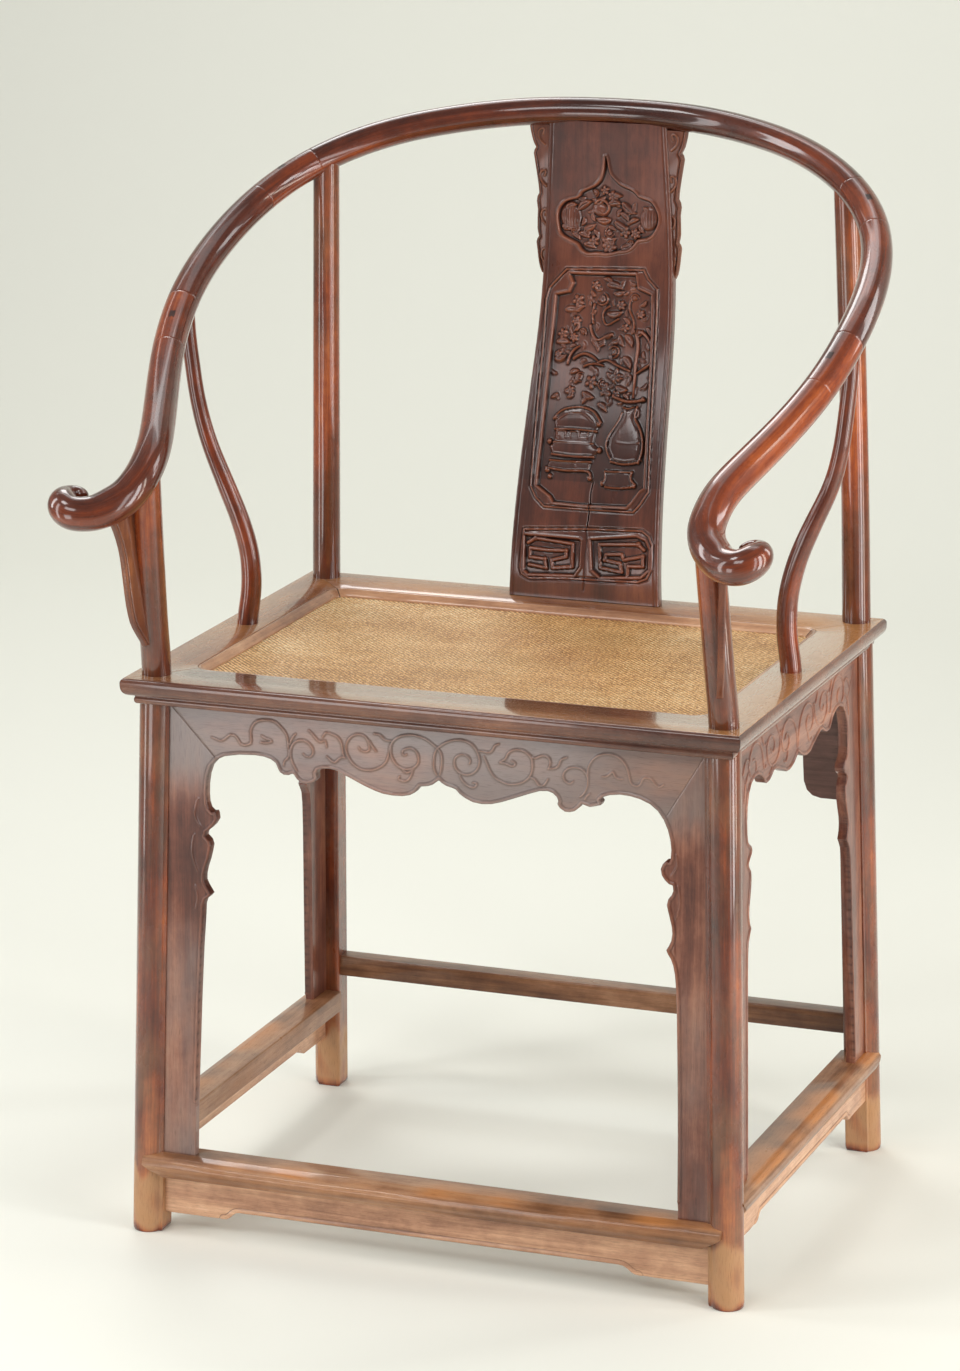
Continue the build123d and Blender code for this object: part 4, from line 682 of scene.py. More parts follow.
# wedge pins that lock the scarf joints: small dark blocks, dressed flush with the round of the rail
pc = Piece()
for sj in (J1, J2, -J1, -J2):
    P, R, T, N, B = (a[0] for a in rail_at(sj))
    T = T * (1 if sj > 0 else -1)
    nu = unit(np.array([0, 0, 1.0]) - T * T[2])
    bu = np.cross(T, nu)
    lv = np.r_[np.linspace(-1, 1, 21)]
    ring_u = rounded_poly([(-1, -1), (1, -1), (1, 1), (-1, 1)], 0.12, 3)
    rows = []
    for k, h in enumerate(lv):
        edge = 0.95 if k in (0, len(lv) - 1) else 1.0
        half_t, half_b = (3.5 + 1.0 * (h + 1) / 2) * edge, (2.2 + 0.5 * (h + 1) / 2) * edge
        u = ring_u[:, 0] * half_t
        w = ring_u[:, 1] * half_b
        lift = np.sqrt(np.maximum((R + 0.14) ** 2 - w ** 2, 1)) * h
        rows.append(P + T * u[:, None] + bu * w[:, None] + nu * lift[:, None])
    rows = np.array(rows)
    m = rows.shape[1]
    v = rows.reshape(-1, 3)
    mid0, mid1 = P - nu * (R + 0.14), P + nu * (R + 0.14)
    allv = np.vstack([v, mid0, mid1])
    tr = np.vstack([fan(np.arange(m), len(v), flip=True), fan(np.arange(m) + (len(lv) - 1) * m, len(v) + 1)])
    local = allv - P
    gr = np.stack([local @ nu, local @ T, local @ bu], -1) + (6400 + sj, 0, 0)
    pc.add(allv, grid_quads(len(lv), m, True), tr, gr)
pc.build("scarf_wedge_pins_shape", MAT["pin_wood"], ["scarf_wedge_pins"])

# =====================================================================
# seat frame: moulded, mitred, with rounded opening
# =====================================================================
def seat_ring(inner_r, k_arc=10):
    """Columns round the frame as (side, outer fraction, inner point kind). Sides: 0 front, 1 right, 2 back, 3 left."""
    cols = []
    for side in range(4):
        for k in range(k_arc, 2 * k_arc + 1):
            cols.append((side, "a", k / (2 * k_arc)))
        for k in range(1, 24):
            cols.append((side, "s", k / 24))
        for k in range(0, k_arc + 1):
            cols.append((side, "b", k / (2 * k_arc)))
    return cols


CORNERS_OUT = [(-SEAT_HALF_W, SEAT_FRONT), (SEAT_HALF_W, SEAT_FRONT), (SEAT_HALF_W, SEAT_BACK), (-SEAT_HALF_W, SEAT_BACK)]
CORNERS_IN = [(-OPEN_HALF_W, OPEN_FRONT), (OPEN_HALF_W, OPEN_FRONT), (OPEN_HALF_W, OPEN_BACK), (-OPEN_HALF_W, OPEN_BACK)]
INWARD = [np.array([0, 1.0]), np.array([-1.0, 0]), np.array([0, -1.0]), np.array([1.0, 0])]
ALONG = [np.array([1.0, 0]), np.array([0, 1.0]), np.array([-1.0, 0]), np.array([0, -1.0])]


def opening_point(side, kind, f, q, r=OPEN_R):
    """Point on the opening's rounded outline offset by q into the wood; f runs through the corner arcs and the side."""
    c0 = np.array(CORNERS_IN[side], float)
    c1 = np.array(CORNERS_IN[(side + 1) % 4], float)
    a, w = ALONG[side], INWARD[side]
    if kind == "s":
        return c0 + a * r + (c1 - c0 - a * 2 * r) * f - w * q
    if kind == "a":
        cen = c0 + a * r + w * r
        ang = (1 - f) * math.pi / 2
        return cen + (-w * math.cos(ang) - a * math.sin(ang)) * (r + q)
    cen = c1 - a * r + w * r
    ang = f * math.pi / 2
    return cen + (-w * math.cos(ang) + a * math.sin(ang)) * (r + q)


def frame_point(side, kind, f, p):
    """Point on the frame's outer rectangle inset by p; its corner is met exactly at the mitre."""
    c0 = np.array(CORNERS_OUT[side], float)
    c1 = np.array(CORNERS_OUT[(side + 1) % 4], float)
    a, w = ALONG[side], INWARD[side]
    i0, i1 = c0 + a * p + w * p, c1 - a * p + w * p
    o0 = np.array(CORNERS_IN[side], float)
    o1 = np.array(CORNERS_IN[(side + 1) % 4], float)
    s0 = (o0 - c0).dot(a) + OPEN_R
    s1 = (o1 - c0).dot(a) - OPEN_R
    e0, e1 = (i0 - c0).dot(a), (i1 - c0).dot(a)
    if kind == "s":
        t = s0 + (s1 - s0) * f
    elif kind == "a":
        t = e0 + (s0 - e0) * ((f - 0.5) * 2)
    else:
        t = s1 + (e1 - s1) * (f * 2)
    return c0 + a * t + w * p


EDGE = [(2.6, 529.5), (2.4, 529.1), (2.1, 529.0), (1.4, 528.5), (0.7, 527.6), (0.2, 526.5), (0.0, 525.2), (0.0, 523.4), (0.1, 521.4),
        (0.4, 519.4), (1.1, 517.4), (2.2, 515.6), (3.7, 514.2), (5.5, 513.2), (7.6, 512.5), (9.4, 512.1), (10.3, 511.6), (10.3, 510.9),
        (9.8, 510.2), (9.5, 509.2), (9.4, 508.2), (9.6, 507.0), (10.1, 505.8), (10.9, 504.9), (11.8, 504.5)]


def seat_member(side, name, node):
    pc = Piece()
    cols = [c for c in seat_ring(OPEN_R) if c[0] == side]
    ring = []
    for kind, pts in (("o", EDGE), ("i", [(-12.0, 504.5), (-12.0, 519.5), (-0.05, 519.5), (0.0, 520.5), (0.0, 528.6), (0.15, 529.2), (0.6, 529.5)])):
        for p, z in pts:
            ring.append((kind, p, z))
    m = len(ring)
    V, G, C = [], [], []
    for ci, (sd, kd, f) in enumerate(cols):
        groove = 0.28 if ci in (0, len(cols) - 1) else 0.0
        for kind, p, z in ring:
            xy = frame_point(sd, kd, f, p) if kind == "o" else opening_point(sd, kd, f, p)
            zz = z - groove if z > 529 else z
            V.append((xy[0], xy[1], zz))
            along = xy.dot(ALONG[sd])
            G.append((along + 900 * sd, xy.dot(INWARD[sd]), zz))
            C.append(-0.5 if groove else 0.0)
    V, G, C = np.array(V), np.array(G), np.array(C)
    # step back a hair from the mitre, and a second column beside the groove
    V = V.reshape(len(cols), m, 3)
    G = G.reshape(len(cols), m, 3)
    C = C.reshape(len(cols), m)
    a3 = np.array([*ALONG[side], 0.0])
    first, last = V[0].copy(), V[-1].copy()
    V[0] = first + a3 * 0.08
    V[-1] = last - a3 * 0.08
    lift = np.zeros((m, 3))
    lift[:, 2] = [0.28 if r[2] > 529 else 0.0 for r in ring]
    V = np.concatenate([V[:1], (first + a3 * 0.5 + lift)[None], V[1:-1], (last - a3 * 0.5 + lift)[None], V[-1:]])
    G = np.concatenate([G[:1], G[:1], G[1:-1], G[-1:], G[-1:]])
    C = np.concatenate([C[:1], C[1:2], C[1:-1], C[1:2], C[-1:]])
    rows = len(V)
    quads = grid_quads(rows, m, True)[:, ::-1]
    # caps
    from mathutils.geometry import tessellate_polygon
    flat = [Vector((v @ np.array([*INWARD[side], 0.0]), v[2], 0)) for v in V[0]]
    tri = np.array(tessellate_polygon([flat]))
    tris = np.vstack([tri, tri[:, ::-1] + (rows - 1) * m])
    pc.add(V, quads, tris, G, C)
    # top face paler than the nose, worn; the right-hand member's top paler still: painted light from the lamps on the
    # right
    return pc.build(name, MAT["seat_wood"], [node], angle=40,
                    tone=lambda v: np.where(v[:, 2] > 529.15, 0.30 + 0.55 * np.clip((v[:, 0] - 190) / 60.0, 0, 1) + 0.15 * np.sin(v[:, 0] / 57.0 + v[:, 1] / 43.0), -0.2))


for k, nm in enumerate(("front", "right", "back", "left")):
    seat_member(k, f"seat_rail_{nm}_shape", f"seat_rail_{nm}")

# strips over the edge of the cane
BEAD = [(-0.25, 529.0), (-0.8, 529.25), (-1.8, 529.2), (-2.8, 528.7), (-4.0, 527.6), (-5.4, 526.2), (-6.8, 524.9), (-7.8, 523.9),
        (-8.3, 523.1), (-8.4, 522.2), (-8.3, 521.6), (-0.1, 521.6), (-0.1, 528.4)]


def bead_strip(side, name, node):
    pc = Piece()
    cols = [c for c in seat_ring(OPEN_R) if c[0] == side]
    V, G, C = [], [], []
    for ci, (sd, kd, f) in enumerate(cols):
        end = ci in (0, len(cols) - 1)
        for p, z in BEAD:
            xy = opening_point(sd, kd, f, p)
            if end:
                xy = xy + ALONG[sd] * (0.12 if ci == 0 else -0.12)
            V.append((xy[0], xy[1], z - (0.25 if end and z > 522 else 0)))
            G.append((xy.dot(ALONG[sd]) + 700 * sd, xy.dot(INWARD[sd]), z))
            C.append(-0.6 if end else 0.0)
    m = len(BEAD)
    V = np.array(V).reshape(len(cols), m, 3)
    from mathutils.geometry import tessellate_polygon
    flat = [Vector((p, z, 0)) for p, z in BEAD]
    tri = np.array(tessellate_polygon([flat]))
    quads = grid_quads(len(cols), m, True)
    tris = np.vstack([tri, tri[:, ::-1] + (len(cols) - 1) * m])
    pc.add(V, quads, tris, np.array(G), np.array(C))
    return pc.build(name, MAT["bead_wood"], [node], angle=40)


for k, nm in enumerate(("front", "right", "back", "left")):
    bead_strip(k, f"cane_bead_{nm}_shape", f"cane_bead_{nm}")

# =====================================================================
# plain bars: footrest and stretchers
# =====================================================================
def bar(name, axis, section, end0, end1, node, slot, shift=0.0, cav=None, tone=0.0, worn=None, n=90):
    """Straight bar along x (axis 0) or y (axis 1). section rows are (other coordinate, z); end0/end1 give each vertex's ends."""
    pc = Piece()
    sec = np.asarray(section, float)
    m = len(sec)
    e0 = np.array([end0(*q) for q in sec])
    e1 = np.array([end1(*q) for q in sec])
    f = np.r_[0.0, np.linspace(0, 1, n)[1:-1], 1.0]
    P = e0[None] + (e1 - e0)[None] * f[:, None]
    other = np.repeat(sec[None, :, 0], len(f), 0)
    z = np.repeat(sec[None, :, 1], len(f), 0)
    if worn is not None:
        z = z + worn(P, other, z)
    V = np.stack([P, other, z], -1) if axis == 0 else np.stack([other, P, z], -1)
    G = np.stack([P + shift, other, z], -1)
    quads = grid_quads(len(f), m, True)
    from mathutils.geometry import tessellate_polygon
    tri = np.array(tessellate_polygon([[Vector((a, b, 0)) for a, b in sec]]))
    tris = np.vstack([tri, tri[:, ::-1] + (len(f) - 1) * m])
    area = 0.5 * np.sum(sec[:, 0] * np.roll(sec[:, 1], -1) - np.roll(sec[:, 0], -1) * sec[:, 1])
    flip = (area > 0) == (axis == 0)
    if not flip:
        quads, tris = quads[:, ::-1], tris[:, ::-1]
    pc.add(V, quads[:, ::-1] if False else quads, tris, G, cav)
    ob = pc.build(name, MAT[slot], [node], angle=42, tone=tone)
    return ob


def fix_normals(ob):
    b = bmesh.new()
    b.from_mesh(ob.data)
    bmesh.ops.recalc_face_normals(b, faces=b.faces)
    b.to_mesh(ob.data)
    b.free()


foot_sec = rounded_poly([(-197, 56), (-197, 77.5), (-219, 77.5), (-226.5, 76.0), (-231.0, 72.6), (-233.0, 68.0), (-232.6, 63.6),
                         (-229.4, 59.2), (-228.0, 56)], [1.5, 1.6, 8, 6, 5, 5, 4, 2.0, 1.0], 5)


def foot_wear(P, y, z):
    """The front of the footrest is worn hollow between its ends."""
    mid = np.clip(1 - (np.abs(P) / 250.0) ** 4, 0, 1)
    front = np.clip((-210 - y) / 20.0, 0, 1)
    top = np.clip((z - 66) / 10.0, 0, 1)
    ripple = 0.35 * np.sin(P / 37.0) + 0.25 * np.sin(P / 17.0 + 1)
    return -(3.0 + ripple) * mid * front * top


def foot_end(sign):
    return lambda y, z: sign * (281.0 if z > 68 else 262.0 + max(0.0, (z - 56)) * 19 / 12) if y < -226 else sign * 281.0


bars = []
bars.append(bar("foot_rest_shape", 0, foot_sec, foot_end(-1), foot_end(1), "foot_rest", "stretcher_wood", shift=0, worn=foot_wear,
                tone=lambda v: np.where((v[:, 1] < -211) & (v[:, 1] > -229) & (v[:, 2] > 70), 0.12 + 0.26 * np.sin(v[:, 0] / 31.0) + 0.2 * np.sin(v[:, 0] / 11.0 + 1), 0.0), n=140))
for sx, lr in ((-1, "left"), (1, "right")):
    sec = rounded_poly([(260.5 * sx, 82.5), (260.5 * sx, 103), (286 * sx, 103), (293 * sx, 101.2), (296.6 * sx, 96.5),
                        (297 * sx, 91.5), (295.2 * sx, 86.5), (291.5 * sx, 82.5)], [1.2, 1.5, 8, 6, 4, 4, 4, 1.5], 5)
    ends = []
    for back, s0 in ((False, -1), (True, 1)):
        lim_in = -194.6 if not back else 198.2
        lim_out = -212.0 if not back else 215.0

        def end(x, z, lim_in=lim_in, lim_out=lim_out, s0=s0):
            if abs(x) < 266:
                return lim_in + s0 * 0.6
            if abs(x) > 289 and z < 95:
                return lim_out - s0 * (95 - z) * 1.3
            return lim_out
        ends.append(end)
    bars.append(bar(f"side_stretcher_{lr}_shape", 1, sec, ends[0], ends[1], f"side_stretcher_{lr}", "stretcher_wood", shift=2000 * sx,
                    tone=lambda v: np.where((np.abs(v[:, 0]) > 281) & (v[:, 2] > 98), 0.40 + 0.35 * np.sin(v[:, 1] / 27.0) + 0.2 * np.sin(v[:, 1] / 9.0), 0.0)))
sec = rounded_poly([(203.8, 118), (203.8, 138.5), (223.8, 138.5), (223.8, 118)], 1.6, 5)
bars.append(bar("back_stretcher_shape", 0, sec, lambda y, z: -268, lambda y, z: 268, "back_stretcher", "stretcher_wood", shift=4000, tone=-0.35))
for ob in bars:
    fix_normals(ob)

# =====================================================================
# flat boards cut to an outline, with relief on the face
# =====================================================================
def poly_distance(X, Z, poly):
    """Signed distance to a closed outline (positive inside) and the nearest points on it."""
    P = np.asarray(poly, float)
    Q = np.roll(P, -1, 0)
    best = np.full(X.shape, np.inf)
    nx, nz = np.zeros(X.shape), np.zeros(X.shape)
    inside = np.zeros(X.shape, bool)
    for (ax, az), (bx, bz) in zip(P, Q):
        dx, dz = bx - ax, bz - az
        l2 = dx * dx + dz * dz
        if l2 == 0:
            continue
        t = np.clip(((X - ax) * dx + (Z - az) * dz) / l2, 0, 1)
        px, pz = ax + t * dx, az + t * dz
        d = (X - px) ** 2 + (Z - pz) ** 2
        m = d < best
        best[m] = d[m]
        nx[m], nz[m] = px[m], pz[m]
        if dz != 0:
            c = ((az > Z) != (bz > Z)) & (X < dx * (Z - az) / dz + ax)
            inside ^= c
    d = np.sqrt(best)
    return np.where(inside, d, -d), nx, nz


def board(outline, step, thick, height, place, grain, rim=1.0, cav=None, back_round=0.6):
    """Closed mesh of a board. height(X, Z, D) is the relief, place(x, z, depth) puts points in the chair,
    grain(x, z, depth) gives grain coordinates."""
    poly = np.asarray(outline, float)
    lo, hi = poly.min(0) - step, poly.max(0) + step
    xs = np.arange(lo[0], hi[0] + step, step)
    zs = np.arange(lo[1], hi[1] + step, step)
    X, Z = np.meshgrid(xs, zs)
    D, NX, NZ = poly_distance(X, Z, poly)
    inn = D > 0
    cell = inn[:-1, :-1] | inn[1:, :-1] | inn[:-1, 1:] | inn[1:, 1:]
    use = np.zeros(X.shape, bool)
    use[:-1, :-1] |= cell
    use[1:, :-1] |= cell
    use[:-1, 1:] |= cell
    use[1:, 1:] |= cell
    # nodes just outside, or just inside, sit on the outline
    snap = use & (D < 0.28 * step)
    X[snap], Z[snap], D[snap] = NX[snap], NZ[snap], 0.0
    idx = np.full(X.shape, -1)
    idx[use] = np.arange(use.sum())
    r, c = np.nonzero(cell)
    quads = np.stack([idx[r, c], idx[r, c + 1], idx[r + 1, c + 1], idx[r + 1, c]], -1)
    x, z, d = X[use], Z[use], D[use]
    on = d <= 0
    # drop cells that have collapsed onto the outline
    allon = on[quads].all(1)
    qa = quads
    ax = x[qa]
    az = z[qa]
    area = 0.5 * np.abs((ax[:, 0] - ax[:, 2]) * (az[:, 1] - az[:, 3]) - (ax[:, 1] - ax[:, 3]) * (az[:, 0] - az[:, 2]))
    keep = ~(allon & (area < 0.5 * step * step)) & (area > 1e-4)
    quads = quads[keep]
    used = np.unique(quads)
    remap = np.full(len(x), -1)
    remap[used] = np.arange(len(used))
    quads = remap[quads]
    x, z, d = x[used], z[used], np.maximum(d[used], 0)
    h, cv = height(x, z, d)
    h = h - (rim - np.sqrt(np.maximum(rim * rim - np.maximum(rim - d, 0) ** 2, 0)))
    # boundary edges, in order
    e = np.stack([quads, np.roll(quads, -1, 1)], -1).reshape(-1, 2)
    key = np.sort(e, 1)
    k1 = key[:, 0].astype(np.int64) * (len(x) + 1) + key[:, 1]
    _, first, counts = np.unique(k1, return_index=True, return_counts=True)
    be = e[first[counts == 1]]
    n = len(x)
    front = place(x, z, h)
    bi = np.unique(be)
    # back: same cells, coarse relief of none
    backd = np.full(n, -thick) + (back_round - np.sqrt(np.maximum(back_round ** 2 - np.maximum(back_round - d, 0) ** 2, 0)))
    backp = place(x, z, backd)
    V = np.vstack([front, backp])
    G = np.vstack([grain(x, z, h), grain(x, z, backd)])
    C = np.r_[cv, np.zeros(n)]
    walls = np.stack([be[:, 1], be[:, 0], be[:, 0] + n, be[:, 1] + n], -1)
    Q = np.vstack([quads, quads[:, ::-1] + n, walls])
    return V, Q, G, C


class Art:
    """Height map drawn with strokes on a regular grid, read back at any points."""

    def __init__(self, lo, hi, step):
        self.lo, self.step = np.array(lo, float), step
        self.xs = np.arange(lo[0], hi[0] + step, step)
        self.zs = np.arange(lo[1], hi[1] + step, step)
        self.X, self.Z = np.meshgrid(self.xs, self.zs)
        self.H = np.zeros_like(self.X)

    def window(self, pts, pad):
        p = np.asarray(pts, float)
        i0 = np.clip(((p.min(0) - pad - self.lo) / self.step).astype(int), 0, None)
        i1 = np.clip(((p.max(0) + pad - self.lo) / self.step).astype(int) + 2, 0, None)
        return slice(i0[1], i1[1]), slice(i0[0], i1[0])

    def line_distance(self, pts, w, win):
        """Smallest distance over the local half width, for a line with widths w, plus place along."""
        X, Z = self.X[win], self.Z[win]
        best = np.full(X.shape, np.inf)
        at = np.zeros(X.shape)
        L = np.r_[0, np.cumsum(np.linalg.norm(np.diff(pts, axis=0), axis=1))]
        T = max(L[-1], 1e-9)
        for i in range(len(pts) - 1):
            a, b = pts[i], pts[i + 1]
            d = b - a
            l2 = d.dot(d)
            if l2 < 1e-12:
                continue
            t = np.clip(((X - a[0]) * d[0] + (Z - a[1]) * d[1]) / l2, 0, 1)
            q = np.hypot(X - a[0] - t * d[0], Z - a[1] - t * d[1]) / (w[i] + (w[i + 1] - w[i]) * t)
            m = q < best
            best[m] = q[m]
            at[m] = ((L[i] + (L[i + 1] - L[i]) * t) / T)[m]
        return best, at

    def curve(self, pts, closed=False, n=None):
        p = np.asarray(pts, float)
        if len(p) < 3:
            return p
        if closed:
            p = np.vstack([p[-2:], p, p[:3]])
        t = np.r_[0, np.cumsum(np.linalg.norm(np.diff(p, axis=0), axis=1) ** 0.5)]
        if closed:
            ts = np.linspace(t[2], t[len(p) - 3], n or 8 * (len(p) - 4))
        else:
            ts = np.linspace(0, t[-1], n or 8 * len(p))
        return cubic(t, p, ts)

    def stroke(self, pts, w, h, w1=None, w2=None, smooth=True, base=None, power=0.5, mode="max"):
        """Rounded ridge: half width w (w1 at the start, w2 at the end), height h."""
        c = self.curve(pts) if smooth else np.asarray(pts, float)
        L = np.r_[0, np.cumsum(np.linalg.norm(np.diff(c, axis=0), axis=1))]
        f = L / max(L[-1], 1e-9)
        a = w if w1 is None else w1
        b = w if w2 is None else w2
        ws = np.where(f < 0.5, a + (w - a) * np.sin(f * math.pi), b + (w - b) * np.sin(f * math.pi))
        win = self.window(c, max(w, a, b) + 1)
        q, _ = self.line_distance(c, np.maximum(ws, 0.05), win)
        r = np.clip(1 - q * q, 0, 1) ** power * h
        H = self.H[win]
        if mode == "max":
            H[:] = np.where(q < 1, np.maximum(H, r + (base or 0.0)), H)
        elif mode == "add":
            H += np.where(q < 1, r, 0)
        return self

    def groove(self, pts, w, depth, smooth=True, w1=None, w2=None):
        c = self.curve(pts) if smooth else np.asarray(pts, float)
        L = np.r_[0, np.cumsum(np.linalg.norm(np.diff(c, axis=0), axis=1))]
        f = L / max(L[-1], 1e-9)
        a = w if w1 is None else w1
        b = w if w2 is None else w2
        ws = np.where(f < 0.5, a + (w - a) * np.sin(f * math.pi), b + (w - b) * np.sin(f * math.pi))
        win = self.window(c, w + 1)
        q, _ = self.line_distance(c, np.maximum(ws, 0.05), win)
        self.H[win] -= np.clip(1 - q * q, 0, 1) * depth
        return self

    def fill(self, poly, h, bevel=1.2, dome=0.0, base=0.0, mode="max", smooth=False):
        """Raised flat shape with a bevelled edge and an optional dome."""
        p = self.curve(poly, closed=True) if smooth else np.asarray(poly, float)
        win = self.window(p, 1)
        D, _, _ = poly_distance(self.X[win], self.Z[win], p)
        e = np.clip(D / bevel, 0, 1)
        r = base + h * np.sqrt(np.clip(1 - (1 - e) ** 2, 0, 1)) + dome * (1 - np.exp(-np.maximum(D, 0) / 4))
        H = self.H[win]
        if mode == "max":
            H[:] = np.where(D > 0, np.maximum(H, r), H)
        elif mode == "set":
            H[:] = np.where(D > 0, r, H)
        elif mode == "cut":
            H[:] = np.where(D > 0, np.minimum(H, -h * e + base), H)
        return self

    def leaf(self, a, b, w, h, base=0.0, vein=0.35, bend=0.0):
        """Pointed leaf from a to b."""
        a, b = np.asarray(a, float), np.asarray(b, float)
        d = b - a
        nrm = np.array([-d[1], d[0]])
        pts = np.array([a + d * t + nrm * bend * math.sin(math.pi * t) for t in np.linspace(0, 1, 9)])
        f = np.linspace(0, 1, 9)
        ws = w * np.sin(math.pi * np.clip(f, 0, 1) ** 0.8) + 0.15
        win = self.window(pts, w + 1)
        q, _ = self.line_distance(pts, ws, win)
        r = np.clip(1 - q * q, 0, 1) ** 0.6 * h - np.clip(1 - (q / 0.18) ** 2, 0, 1) * vein * h
        H = self.H[win]
        H[:] = np.where(q < 1, np.maximum(H, r + base), H)
        return self

    def dot(self, c, rx, h, ry=None, rot=0.0, base=0.0):
        ry = ry or rx
        win = self.window([c], max(rx, ry) + 1)
        X, Z = self.X[win] - c[0], self.Z[win] - c[1]
        ca, sa = math.cos(rot), math.sin(rot)
        q = ((X * ca + Z * sa) / rx) ** 2 + ((-X * sa + Z * ca) / ry) ** 2
        H = self.H[win]
        H[:] = np.where(q < 1, np.maximum(H, base + h * np.sqrt(np.clip(1 - q, 0, 1))), H)
        return self

    def spiral(self, c, r0, r1, a0, turns, w, h, n=40, w2=None):
        t = np.linspace(0, 1, n)
        ang = a0 + turns * 2 * math.pi * t
        r = r0 + (r1 - r0) * t
        pts = np.stack([c[0] + r * np.cos(ang), c[1] + r * np.sin(ang)], -1)
        return self.stroke(pts, w, h, w2=w2, smooth=False)

    def blur(self, k):
        H = self.H
        for _ in range(k):
            P = np.pad(H, 1, mode="edge")
            H = (P[1:-1, 1:-1] * 4 + (P[:-2, 1:-1] + P[2:, 1:-1] + P[1:-1, :-2] + P[1:-1, 2:]) * 2
                 + P[:-2, :-2] + P[:-2, 2:] + P[2:, :-2] + P[2:, 2:]) / 16
        self.H = H
        return self

    def cavity(self, k=14):
        """Height against its surroundings: negative in hollows, positive on edges."""
        keep = self.H
        self.blur(k)
        wide = self.H
        self.H = keep
        self.cav = (keep - wide)
        return self

    def read(self, x, z, field=None):
        F = self.H if field is None else field
        i = np.clip((np.asarray(x) - self.lo[0]) / self.step, 0, F.shape[1] - 1.001)
        j = np.clip((np.asarray(z) - self.lo[1]) / self.step, 0, F.shape[0] - 1.001)
        i0, j0 = i.astype(int), j.astype(int)
        fi, fj = i - i0, j - j0
        return (F[j0, i0] * (1 - fi) * (1 - fj) + F[j0, i0 + 1] * fi * (1 - fj)
                + F[j0 + 1, i0] * (1 - fi) * fj + F[j0 + 1, i0 + 1] * fi * fj)

# =====================================================================
# aprons: outlines and carved lines, in millimetres
# =====================================================================
FRONT_EDGE_L = [
    (-233.3, 83.8), (-232.4, 131.2), (-230.5, 179.5), (-228.6, 227.5), (-226.2, 275.4),
    (-223.9, 308.8), (-223.4, 318.3), (-221.8, 323.2), (-217.8, 326.4), (-215.8, 329.0),
    (-217.8, 332.1), (-220.7, 336.5), (-222.7, 341.0), (-222.6, 346.6), (-221.1, 353.4),
    (-218.5, 361.2), (-216.5, 368.9), (-215.5, 374.6), (-216.9, 379.2), (-219.4, 381.8),
    (-221.4, 383.4), (-220.3, 387.3), (-216.3, 390.5), (-212.3, 394.7), (-209.3, 399.6),
    (-209.8, 404.3), (-210.8, 407.0), (-214.2, 406.6), (-217.2, 409.2), (-219.1, 414.6),
    (-219.6, 422.0), (-219.3, 431.4), (-217.9, 440.8), (-214.9, 449.5), (-208.9, 456.1),
    (-201.0, 460.1), (-186.2, 462.9), (-171.4, 463.8), (-162.6, 463.3), (-155.8, 461.6),
    (-150.9, 458.4), (-148.9, 453.9), (-147.0, 450.4), (-143.1, 448.4), (-138.2, 448.4),
    (-134.8, 450.2), (-133.3, 449.4), (-130.4, 445.5), (-125.5, 442.3), (-119.7, 441.9),
    (-114.8, 443.7), (-110.9, 446.9), (-111.6, 452.8), (-109.9, 455.8), (-105.0, 457.6),
    (-98.2, 458.1), (-91.5, 457.1), (-83.7, 453.6), (-74.0, 449.5), (-64.4, 445.4),
    (-54.7, 442.1), (-47.0, 440.1), (-37.4, 439.2), (-27.7, 439.7), (-21.0, 441.3),
    (-16.2, 444.0), (-13.4, 447.5), (-11.5, 450.0), (-3.8, 451.2), (1.0, 453.0),
    (4.8, 456.1), (6.7, 457.7),
]
FRONT_EDGE_R = [
    (9.6, 455.2), (14.3, 452.9), (19.1, 452.0), (22.9, 450.6), (26.7, 446.8),
    (32.5, 443.3), (39.1, 440.7), (47.7, 439.7), (57.2, 440.6), (66.6, 443.4),
    (76.1, 447.0), (85.5, 450.7), (94.8, 454.3), (102.3, 456.9), (109.9, 457.6),
    (114.6, 456.2), (118.3, 453.0), (119.8, 449.5), (118.9, 446.7), (121.3, 443.3),
    (126.0, 440.5), (130.7, 440.5), (135.3, 441.9), (139.0, 445.0), (141.8, 448.9),
    (144.6, 448.3), (149.3, 446.9), (154.9, 448.4), (159.5, 449.7), (160.4, 452.5),
    (158.5, 454.2), (161.3, 457.1), (167.8, 459.6), (177.0, 460.9), (186.3, 460.5),
    (195.6, 458.7), (204.9, 455.1), (212.4, 449.5), (218.0, 441.9), (221.9, 433.3),
    (224.3, 424.5), (225.4, 415.6), (225.0, 408.3), (223.7, 404.5), (220.4, 405.1),
    (217.7, 402.1), (215.9, 397.4), (216.9, 392.0), (219.8, 387.8), (223.5, 384.6),
    (227.2, 383.6), (227.8, 378.7), (226.4, 374.9), (223.3, 370.9), (222.0, 365.3),
    (223.0, 360.9), (224.9, 353.8), (226.9, 345.8), (227.5, 339.5), (226.6, 333.0),
    (224.4, 328.2), (222.1, 324.3), (223.6, 320.8), (226.4, 316.6), (228.8, 310.4),
    (230.3, 303.3), (231.4, 293.3), (232.7, 270.6), (233.7, 233.9), (234.9, 187.9),
    (235.7, 141.6), (235.9, 95.0), (236.6, 83.8),
]
CORNER_L, CORNER_R = 34, 38
